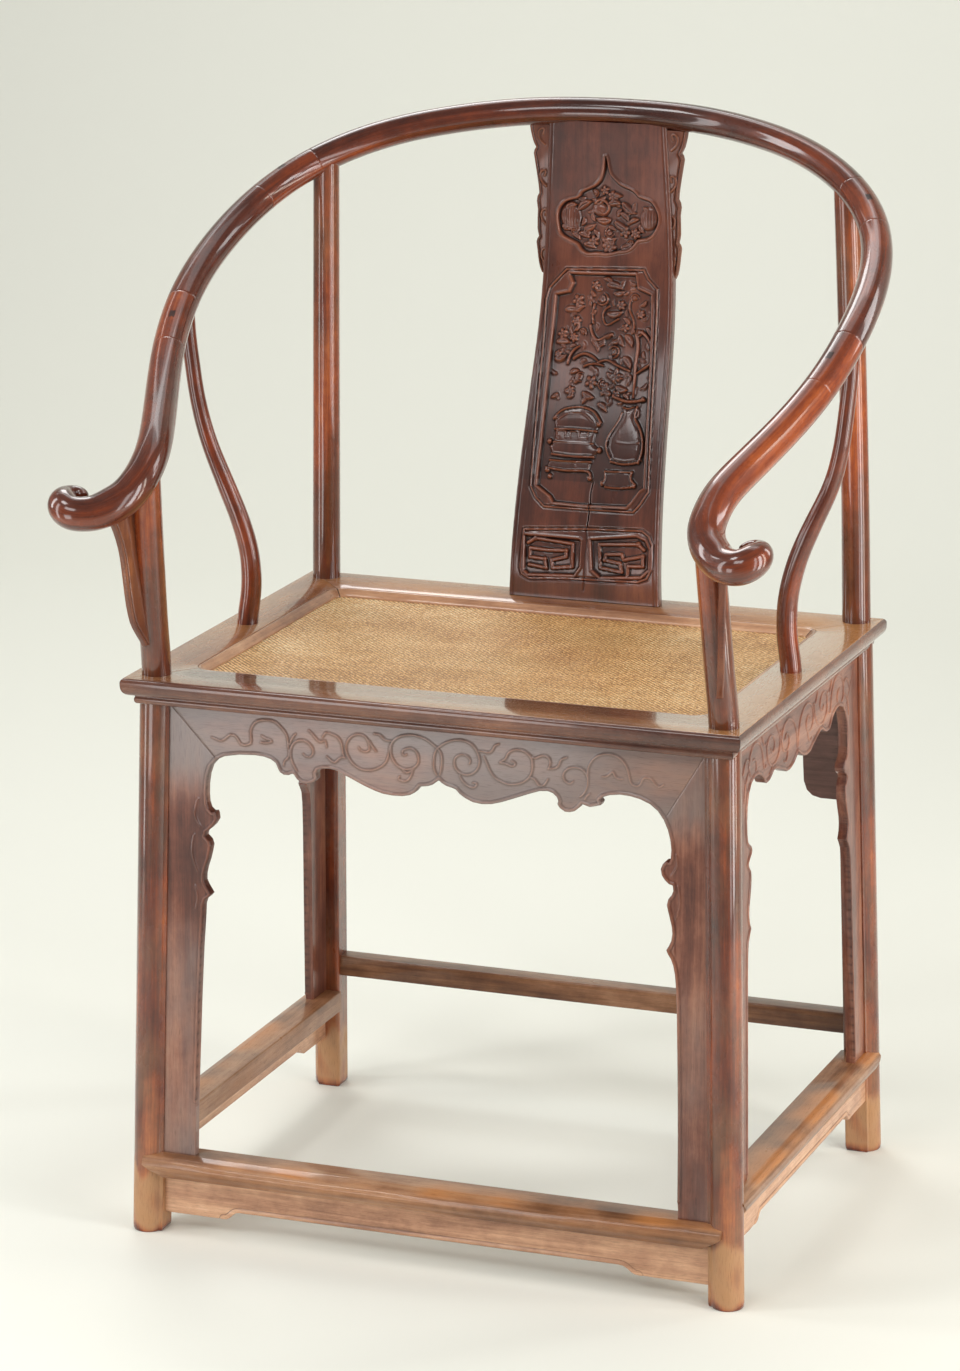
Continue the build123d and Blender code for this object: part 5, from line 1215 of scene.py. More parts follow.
SIDE_EDGE = [
    (5.0, 452.5), (14.0, 448.0), (26.0, 445.5), (36.0, 446.5), (46.0, 450.5),
    (58.0, 454.5), (67.0, 457.2), (74.0, 457.0), (79.0, 454.4), (86.0, 451.6),
    (94.0, 451.2), (99.5, 453.4), (103.0, 457.6), (109.0, 462.0), (118.0, 465.4),
    (128.0, 465.8), (138.0, 462.6), (145.5, 455.4), (150.0, 445.0), (151.8, 432.0),
    (151.8, 420.0), (150.4, 413.5), (146.0, 409.5), (140.6, 406.4), (138.8, 402.4),
    (141.0, 398.4), (146.0, 395.4), (149.6, 391.6), (147.0, 388.0), (143.2, 384.6),
    (142.2, 378.0), (143.6, 370.0), (146.4, 361.0), (149.4, 353.0), (150.6, 345.0),
    (149.0, 338.0), (145.0, 331.5), (148.6, 327.4), (153.0, 321.0), (155.4, 310.0),
    (157.4, 284.0), (159.8, 230.0), (162.6, 170.0), (165.6, 110.0),
]
SIDE_TOP, SIDE_CORNER = (0.0, 455.8), 17
FRONT_SCROLLS = {
    "L1": [(-213.7, 476.6), (-208.8, 475.2), (-204.8, 474.2), (-199.9, 477), (-194.9, 480.7), (-190, 479.7), (-186.6, 475.4), (-183.2, 472.5),
        (-176.3, 474), (-174.8, 477.4), (-175.3, 484.8), (-173.3, 491), (-168.3, 495.8), (-158.5, 497.6), (-150.7, 496.3), (-144.9, 491.7),
        (-140, 485.3), (-138.6, 476.2), (-138.6, 465.1), (-142.1, 461.5), (-143.1, 457.2)],
    "L1b": [(-164.5, 482.5), (-159.6, 480.2), (-154.7, 478.4), (-159.6, 476.5), (-165.5, 476.4)],
    "L2": [(-129.9, 452.9), (-133.3, 458.2), (-135.7, 464.4), (-136.2, 471.8), (-133.2, 478.5), (-127.4, 481.8), (-120.6, 481.1),
        (-115.7, 476.9), (-114.3, 472), (-117.2, 467.5), (-121.6, 467.6), (-124, 469.7)],
    "L2t": [(-137.1, 477.2), (-134.2, 484), (-131.2, 487.5)],
    "L3": [(-118.6, 491.8), (-114.7, 488.5), (-110.8, 484.3), (-106.9, 482.3), (-103.1, 483.6), (-101.1, 477.8)],
    "L3b": [(-105, 486.7), (-102.1, 490.9), (-96.3, 490.4), (-90.5, 488), (-86.6, 481.9), (-85.6, 474.7), (-83.7, 469.3)],
    "L3c": [(-101.1, 469.5), (-97.3, 466.2), (-93.4, 464.7), (-88.5, 468.9), (-83.7, 470.2)],
    "L4": [(-40.3, 486.2), (-41.3, 478.8), (-43.2, 471.3), (-47, 466.3), (-52.8, 462.6), (-59.5, 460.7), (-67.3, 460.7), (-74, 463.8),
        (-78.9, 468.8), (-81.8, 475), (-82.2, 481.4), (-79.8, 487.1), (-76, 490.7), (-71.1, 492.5), (-65.3, 491.7), (-61.5, 487.9),
        (-60, 482.6), (-60.5, 478.8), (-64.4, 477.1), (-68.7, 478.5), (-70.2, 480.9)],
    "L4t": [(-60.5, 488), (-56.7, 482.4), (-53.3, 478.6)],
    "L5t": [(-55.7, 494.4), (-49.9, 493.9), (-46.1, 490.7), (-42.2, 489.3), (-38.4, 489.6)],
    "L5": [(5.1, 486.8), (1.8, 489.2), (-4.9, 493.4), (-12.6, 495.9), (-20.2, 496.6), (-27.9, 495.2), (-33.6, 492.6), (-37.4, 488.8),
        (-39.2, 483.6), (-39.1, 478.1), (-37.4, 472.8), (-33.6, 468.1), (-28.8, 465.3), (-23, 464.9), (-17.3, 466.9), (-13.4, 471.3),
        (-12.8, 476.9), (-14.9, 481.7), (-19.2, 484.3), (-24.5, 483.6), (-28.3, 480.5), (-26.9, 477.4), (-24, 478.6)],
    "L5b": [(-28.8, 465.8), (-24.9, 462), (-20.1, 463.4), (-17.3, 465.9)],
    "L5c": [(-18.2, 464.5), (-20.1, 458.8), (-23, 454.9), (-27.8, 453.7), (-31.8, 455.4), (-30.7, 457.8)],
    "C1": [(5.1, 486.8), (8.5, 482.6), (9.5, 476.3), (9, 468.9), (7.6, 462.4), (6.7, 458.6)],
    "C2": [(5.1, 486.8), (2.8, 482), (1.8, 475.5), (2.1, 468.2), (4.8, 462.1), (6.7, 458.6)],
    "R1": [(5.1, 486.8), (8.5, 489.4), (14.2, 493.1), (21.3, 495.6), (28.4, 496.3), (35, 494.8), (40.3, 491), (43.6, 485.8), (45.3, 479.6),
        (43.7, 472.2), (38, 466.6), (30.9, 465.2), (24.7, 468.1), (21.4, 473.7), (22.3, 479.3), (27, 482.9), (32.7, 482.5), (36.6, 478.8),
        (35.6, 475.5)],
    "R1b": [(26.7, 464.2), (28.6, 460.3), (32.4, 456.5), (37.2, 454.2), (41.4, 455.1), (42.8, 458), (39, 458.5)],
    "R2": [(44.6, 487.8), (49.3, 487.7), (54, 487.3), (57.8, 490.4), (59.7, 494), (63.4, 495.9)],
    "R3": [(49.3, 483.6), (52.2, 477.5), (55.6, 470.6), (59.8, 465.5), (65.5, 462.4), (72.2, 460.5), (79.7, 461.1), (86.3, 463.5),
        (91.9, 468.1), (94.7, 474.3), (95.1, 481.6), (93.6, 486.9), (88.9, 491), (82.3, 492.6), (75.7, 491.1), (71.5, 487.1), (69.2, 482.8),
        (64.5, 479.6), (70.1, 478.8), (76.3, 477.1), (79.1, 479.6), (75.3, 482)],
    "R4": [(93.6, 486.9), (98.3, 486.6), (103, 488.9), (108.6, 488.9), (111.5, 485.9), (111.5, 481.3), (110.1, 477.6)],
    "R4b": [(111.5, 478.2), (116.2, 479.1), (119.9, 482.1), (121.8, 486.8), (127.3, 489.8)],
    "R5": [(93.8, 468.3), (97.6, 466.9), (100.4, 463.5), (103.7, 461.5), (107, 463.7), (109.8, 468.5)],
    "R6": [(147.1, 473), (144.3, 478.6), (138.6, 481.2), (132.1, 481.2), (127, 478.7), (124.2, 473.5), (126.2, 468.2), (130.4, 466.4), (133.6, 469)],
    "R7": [(139.9, 455.1), (144.5, 460), (147.2, 467.5), (147.1, 474.8), (147.5, 482), (150.7, 488.7), (156.2, 493.9), (163.1, 496.1),
        (171, 496), (177.5, 493), (182.2, 488), (184.6, 482), (186.1, 475.8), (188.5, 471.1), (192.7, 470.1), (196.3, 472.7), (198.1, 476.9),
        (201.8, 478.5), (206.4, 477.3), (209.2, 474), (213, 471.3), (217.5, 473.9)],
    "R7b": [(160.1, 475.6), (165.7, 477), (170.3, 480.6), (173.1, 476.4), (179.6, 475.2)],
    "R8": [(144.5, 452.8), (146.4, 456.6), (149.1, 459.1)],
}


def carved(name, node, slot, outline, art, step, thick, place, grain, rim=0.45, tone=0.0, angle=50.0, ride=True):
    """Board with relief from a drawn height map; flat back and square edges."""
    zero = lambda x, z, d: (np.zeros_like(x), np.zeros_like(x))
    if art is None:
        read = zero
    else:
        read = lambda x, z, d: (art.read(x, z), np.clip(art.read(x, z, art.cav), -1.2, 1.2))
    V, Q, G, C = board(outline, step, thick, read, place, grain, rim=rim)
    n = len(V) // 2
    front = Q[(Q < n).all(1)]
    wall = Q[((Q < n).any(1)) & ((Q >= n).any(1))]
    # back: one face per outline loop instead of the fine grid
    nxt = {}
    for w in wall:
        nxt.setdefault(int(w[1]), int(w[0]))
    loops, seen = [], set()
    for st in list(nxt):
        if st in seen:
            continue
        loop, k = [], st
        while k not in seen and k in nxt:
            seen.add(k)
            loop.append(k)
            k = nxt[k]
        if len(loop) > 2:
            loops.append(loop)
    from mathutils.geometry import tessellate_polygon
    back0 = V[n:]
    tris = []
    for loop in loops:
        idx = np.array(loop)
        tri = np.array(tessellate_polygon([[Vector(back0[i]) for i in idx]]))
        if len(tri):
            tris.append(idx[tri] + n)
    pc = Piece()
    pc.add(V, np.vstack([front, wall]), np.vstack(tris) if tris else (), G, C)
    ob = pc.build(name, MAT[slot], [node] if node else (), angle=angle, tone=tone, ride=ride)
    b = bmesh.new()
    b.from_mesh(ob.data)
    loose = [v for v in b.verts if not v.link_faces]
    bmesh.ops.delete(b, geom=loose, context="VERTS")
    bmesh.ops.recalc_face_normals(b, faces=b.faces)
    b.to_mesh(ob.data)
    b.free()
    return ob


def carve_beads(art, lines, half=1.35, rise=1.2, cut=2.2, side=4.0, smooth=True):
    """Round beads lying in shallow grooves."""
    base = art.H.copy()
    for pts in lines:
        keep = art.H.copy()
        art.H = base.copy()
        art.groove(pts, side, cut, smooth=smooth)
        art.H = np.minimum(keep, art.H)
    for pts in lines:
        art.stroke(pts, half, rise + cut, smooth=smooth, base=-cut, w1=half * 0.7, w2=half * 0.7, power=0.6)
    return art


def side_outline(front):
    """Points of the arch of a side apron on one half."""
    s = -1 if front else 1
    return [(s * d, z) for d, z in SIDE_EDGE]


def leg_xy(back, z):
    foot, head = (FOOT_BACK, HEAD_BACK) if back else (FOOT_FRONT, HEAD_FRONT)
    t = z / SEAT_TOP
    return foot[0] + (head[0] - foot[0]) * t, foot[1] + (head[1] - foot[1]) * t


# front apron and its strips ------------------------------------------------
art = Art((-266, 74), (266, 508), 0.42)
scrolls = [np.array(p) for p in FRONT_SCROLLS.values()]
carve_beads(art, scrolls)
# small accents where the strips step in
for s, edge in ((-1, FRONT_EDGE_L), (1, FRONT_EDGE_R)):
    for a, b, c in (((228, 418), (231, 402), (226, 392)), ((232, 384), (234, 366), (229, 350)), ((232, 336), (229, 326), (231, 314))):
        carve_beads(art, [np.array([(s * a[0], a[1]), (s * b[0], b[1]), (s * c[0], c[1])])], 1.1, 0.8, 1.1, 2.4)
art.H += 0.0
# mask of the flat fields between the scrolls; it is not used and the fields stay flat
dome = np.abs(art.H) < 1e-6
field = np.zeros_like(art.H)
# raised edge bead along the cut outline, down both strips
arch = FRONT_EDGE_L[1:] + FRONT_EDGE_R[:-1]
inside = np.array(arch)
Dn, _, _ = poly_distance(art.X, art.Z, np.vstack([[(-262, 506)], [(-262, 84)], inside, [(262, 84)], [(262, 506)]]))
low = art.Z < 330
d_edge = np.where(Dn > 0, Dn, 0)
# distance to the arch only
line_d = np.full(art.X.shape, 99.0)
pts = np.array(arch)
for a, b in zip(pts[:-1], pts[1:]):
    lo_i = np.clip(((np.minimum(a, b) - 8 - art.lo) / art.step).astype(int), 0, None)
    hi_i = np.clip(((np.maximum(a, b) + 8 - art.lo) / art.step).astype(int) + 2, 0, None)
    w = (slice(lo_i[1], hi_i[1]), slice(lo_i[0], hi_i[0]))
    X, Z = art.X[w], art.Z[w]
    dd = b - a
    t = np.clip(((X - a[0]) * dd[0] + (Z - a[1]) * dd[1]) / dd.dot(dd), 0, 1)
    q = np.hypot(X - a[0] - t * dd[0], Z - a[1] - t * dd[1])
    line_d[w] = np.minimum(line_d[w], q)
EDGE_BEAD = 2.9
bead_h = np.where(line_d < EDGE_BEAD, 1.25 * np.sqrt(np.clip(1 - ((line_d - EDGE_BEAD / 2) / (EDGE_BEAD / 2)) ** 2, 0, 1)), 0)
quirk = np.where((line_d >= EDGE_BEAD - 0.4) & (line_d < EDGE_BEAD + 2.0),
                 1.1 * (1 - ((line_d - EDGE_BEAD - 0.8) / 1.2) ** 2), 0)
art.H = np.maximum(art.H - np.clip(quirk, 0, 1.2), bead_h * (line_d < EDGE_BEAD))
art.blur(1)
art.cavity(10)
# grooves deeper than 0.32 mm take the lowest cav: painted shade along the carved lines
art.cav = np.where(art.H < -0.32, -1.15, art.cav)
FRONT_Y = lambda z: -219.7 + 0.03419 * z
front_place = lambda x, z, h: np.stack([x, FRONT_Y(z) - h, z], -1)
front_grain = lambda x, z, h: np.stack([x, z, h], -1)
upright_grain = lambda x, z, h: np.stack([z + 3000, x, h], -1)
top_z = SEAT_BOTTOM + 0.4
xt = leg_xy(False, SEAT_BOTTOM)[0] - 16 + 1.2
xb = leg_xy(False, 77)[0] - 16 + 1.2
STEP = 0.8
def apron_tone(v):
    """Painted grey sheen over the top, redder below it, paler towards the feet."""
    z_ = v[:, 2]
    top = np.clip((z_ - 400) / 50.0, 0, 1)
    foot_ = np.clip((330 - z_) / 60.0, 0, 1)
    return 0.62 * top - 0.25 * (1 - top) * (1 - foot_) + 0.22 * foot_ + 0.12 * np.sin(v[:, 0] / 60.0)



carved("front_apron_shape", "front_apron", "apron_wood",
       [(-xt, top_z)] + FRONT_EDGE_L[CORNER_L:] + FRONT_EDGE_R[:CORNER_R + 1] + [(xt, top_z)],
       art, STEP, 9.0, front_place, front_grain, tone=apron_tone)
carved("front_apron_strip_left_shape", "front_apron_strip_left", "apron_wood",
       [(-xb, 77.0), (-233.5, 77.0)] + FRONT_EDGE_L[:CORNER_L + 1] + [(-xt, top_z)], art, STEP, 9.0, front_place, upright_grain, tone=apron_tone)
carved("front_apron_strip_right_shape", "front_apron_strip_right", "apron_wood",
       [(xt, top_z)] + FRONT_EDGE_R[CORNER_R:] + [(236.7, 77.0), (xb, 77.0)], art, STEP, 9.0, front_place, upright_grain, tone=apron_tone)

# side aprons ---------------------------------------------------------------
SIDE_SCROLLS = [
    [(2, 457), (2, 467), (6, 479), (14, 488), (26, 493), (38, 491), (46, 484), (47, 474), (41, 467), (32, 466), (26, 472), (28, 479),
     (34, 481), (38, 477)],
    [(51, 486), (53, 476), (60, 467), (70, 463), (80, 464), (88, 470), (91, 479), (88, 488), (79, 491), (71, 487), (69, 479), (75, 475),
     (80, 479)],
    [(94, 468), (99, 466), (102, 472), (105, 483), (112, 492), (123, 496), (134, 493), (141, 485), (142, 475), (136, 468), (127, 468),
     (122, 474), (125, 481), (131, 482)],
    [(49, 488), (54, 487), (58, 491), (62, 496)],
    [(92, 488), (97, 487), (101, 490), (105, 496)],
    [(30, 466), (32, 460), (37, 456), (42, 458)],
    [(76, 463), (80, 459), (86, 457)],
    [(144, 474), (150, 470), (155, 462), (158, 450)],
    [(143, 484), (149, 487), (155, 484), (160, 476)],
]
side_art = Art((-214, 98), (214, 508), 0.42)
lines = []
for p in SIDE_SCROLLS:
    lines.append(np.array(p, float))
    lines.append(np.array([(-a, b) for a, b in p], float))
carve_beads(side_art, lines)
arch = list(reversed(side_outline(True))) + [SIDE_TOP] + side_outline(False)
pts = np.array(arch, float)
line_d = np.full(side_art.X.shape, 99.0)
for a, b in zip(pts[:-1], pts[1:]):
    lo_i = np.clip(((np.minimum(a, b) - 8 - side_art.lo) / side_art.step).astype(int), 0, None)
    hi_i = np.clip(((np.maximum(a, b) + 8 - side_art.lo) / side_art.step).astype(int) + 2, 0, None)
    w = (slice(lo_i[1], hi_i[1]), slice(lo_i[0], hi_i[0]))
    X, Z = side_art.X[w], side_art.Z[w]
    dd = b - a
    t = np.clip(((X - a[0]) * dd[0] + (Z - a[1]) * dd[1]) / dd.dot(dd), 0, 1)
    line_d[w] = np.minimum(line_d[w], np.hypot(X - a[0] - t * dd[0], Z - a[1] - t * dd[1]))
bead_h = np.where(line_d < EDGE_BEAD, 1.25 * np.sqrt(np.clip(1 - ((line_d - EDGE_BEAD / 2) / (EDGE_BEAD / 2)) ** 2, 0, 1)), 0)
quirk = np.where((line_d >= EDGE_BEAD - 0.4) & (line_d < EDGE_BEAD + 2.0),
                 1.1 * (1 - ((line_d - EDGE_BEAD - 0.8) / 1.2) ** 2), 0)
side_art.H = np.maximum(side_art.H - np.clip(quirk, 0, 1.2), bead_h * (line_d < EDGE_BEAD))
side_art.blur(1)
side_art.cavity(10)
# grooves deeper than 0.32 mm take the lowest cav: painted shade along the carved lines
side_art.cav = np.where(side_art.H < -0.32, -1.15, side_art.cav)
for sx, lr in ((-1, "left"), (1, "right")):
    place = lambda y, z, h, sx=sx: np.stack([sx * (287.3 - 0.02418 * z + h), y, z], -1)
    gr = lambda y, z, h, sx=sx: np.stack([y + 5000 + 900 * sx, z, h], -1)
    gu = lambda y, z, h, sx=sx: np.stack([z + 6000 + 900 * sx, y, h], -1)
    inner = lambda back, z: leg_xy(back, z)[1] + (-16 + 1.2 if back else 16 - 1.2)
    tf, tb = inner(False, SEAT_BOTTOM), inner(True, SEAT_BOTTOM)
    bf, bb = inner(False, 103), inner(True, 103)
    fh, bh = side_outline(True), side_outline(False)
    top = [(tf, top_z)] + list(reversed(fh[:SIDE_CORNER + 1])) + [SIDE_TOP] + bh[:SIDE_CORNER + 1] + [(tb, top_z)]
    carved(f"side_apron_{lr}_shape", f"side_apron_{lr}", "apron_wood", top, side_art, STEP, 9.0, place, gr)
    sf = [(bf, 102.6), (-165.8, 102.6)] + list(reversed(fh[SIDE_CORNER:])) + [(tf, top_z)]
    sb = [(tb, top_z)] + bh[SIDE_CORNER:] + [(165.8, 102.6), (bb, 102.6)]
    carved(f"side_apron_strip_{lr}_front_shape", f"side_apron_strip_{lr}_front", "apron_wood", sf, side_art, STEP, 9.0, place, gu)
    carved(f"side_apron_strip_{lr}_back_shape", f"side_apron_strip_{lr}_back", "apron_wood", sb, side_art, STEP, 9.0, place, gu)

# back apron: plain, its lower ends rounded --------------------------------
bt, bb_ = leg_xy(True, SEAT_BOTTOM)[0] - 16 + 1.2, leg_xy(True, 352)[0] - 16 + 1.2
half = [(219.5, 368.0), (218.8, 384.0), (218.5, 400.0), (217.6, 417.0), (216.0, 432.0), (212.5, 440.5), (206.0, 447.0), (198.0, 451.5),
        (188.0, 454.0)]
back_outline = [(-bt, top_z), (-bb_, 352.0), (-236, 352.0), (-228, 354.0), (-222.5, 359.0)] + [(-a, b) for a, b in half] \
    + list(reversed(half)) + [(222.5, 359.0), (228, 354.0), (236, 352.0), (bb_, 352.0), (bt, top_z)]
back_art = Art((-268, 346), (268, 508), 0.8)
Db, _, _ = poly_distance(back_art.X, back_art.Z, np.array(back_outline))
back_art.H = -0.5 * np.clip(1 - np.abs(Db - 5.0) / 0.9, 0, 1) * (back_art.Z < 500)
ripple = 0.12 * np.sin(back_art.X / 9.0 + 2.0 * np.sin(back_art.Z / 31.0)) + 0.1 * np.sin(back_art.X / 23.0)
back_art.H += ripple
back_art.cavity(8)
carved("back_apron_shape", "back_apron", "back_apron_wood", back_outline, back_art, 1.2, 8.0,
       lambda x, z, h: np.stack([x, 222.3 - 0.0321 * z + h, z], -1), lambda x, z, h: np.stack([x + 8000, z, h], -1), rim=1.2)

# aprons under the footrest and the side stretchers ------------------------
foot_outline = [(-268.5, 17), (-207, 17), (-204.2, 17.4), (-202, 18.6), (-199.8, 20.4), (-197.5, 22.6), (-195.2, 24.2), (-192.5, 24.8),
                (180, 24.8), (183.8, 24.2), (187, 22.6), (189.6, 20.6), (192, 18.9), (194.8, 17.5), (198, 17), (268.5, 17), (268.5, 56.2),
                (-268.5, 56.2)]


def edge_art(lo, hi, line, depth=0.55, at=4.2, w=0.8):
    a = Art(lo, hi, 0.45)
    p = np.array(line, float)
    dist = np.full(a.X.shape, 99.0)
    for q0, q1 in zip(p[:-1], p[1:]):
        dd = q1 - q0
        t = np.clip(((a.X - q0[0]) * dd[0] + (a.Z - q0[1]) * dd[1]) / dd.dot(dd), 0, 1)
        dist = np.minimum(dist, np.hypot(a.X - q0[0] - t * dd[0], a.Z - q0[1] - t * dd[1]))
    a.H = 0.5 * np.sqrt(np.clip(1 - ((dist - at / 2) / (at / 2)) ** 2, 0, 1)) * (dist < at) - depth * np.clip(1 - ((dist - at - 0.5) / w) ** 2, 0, 1)
    a.H += 0.10 * np.sin(a.X / 7.0 + np.sin(a.Z / 9.0)) * (dist > at + 1.5)
    a.cavity(8)
    return a


carved("footrest_apron_shape", "footrest_apron", "stretcher_apron_wood", foot_outline,
       edge_art((-270, 14), (270, 58), foot_outline[1:15]), 0.8, 9.0,
       lambda x, z, h: np.stack([x, -214.0 - h, z], -1), lambda x, z, h: np.stack([x + 9000, z, h], -1), rim=0.8)
side_low = [(-199.5, 52.8), (-143, 52.8), (-140.3, 53.1), (-138, 54.2), (-136, 56.0), (-134, 58), (-131.8, 59.5), (-129, 60), (133, 60),
            (135.8, 59.5), (138, 58), (140, 56.0), (142, 54.2), (144.3, 53.1), (147, 52.8), (203, 52.8), (203, 82.7), (-199.5, 82.7)]
for sx, lr in ((-1, "left"), (1, "right")):
    carved(f"side_stretcher_apron_{lr}_shape", f"side_stretcher_apron_{lr}", "stretcher_apron_wood", side_low,
           edge_art((-202, 50), (206, 85), side_low[1:15]), 0.9, 8.0,
           lambda y, z, h, sx=sx: np.stack([sx * (286.0 + h), y, z], -1),
           lambda y, z, h, sx=sx: np.stack([y + 10000 + 700 * sx, z, h], -1), rim=0.8)

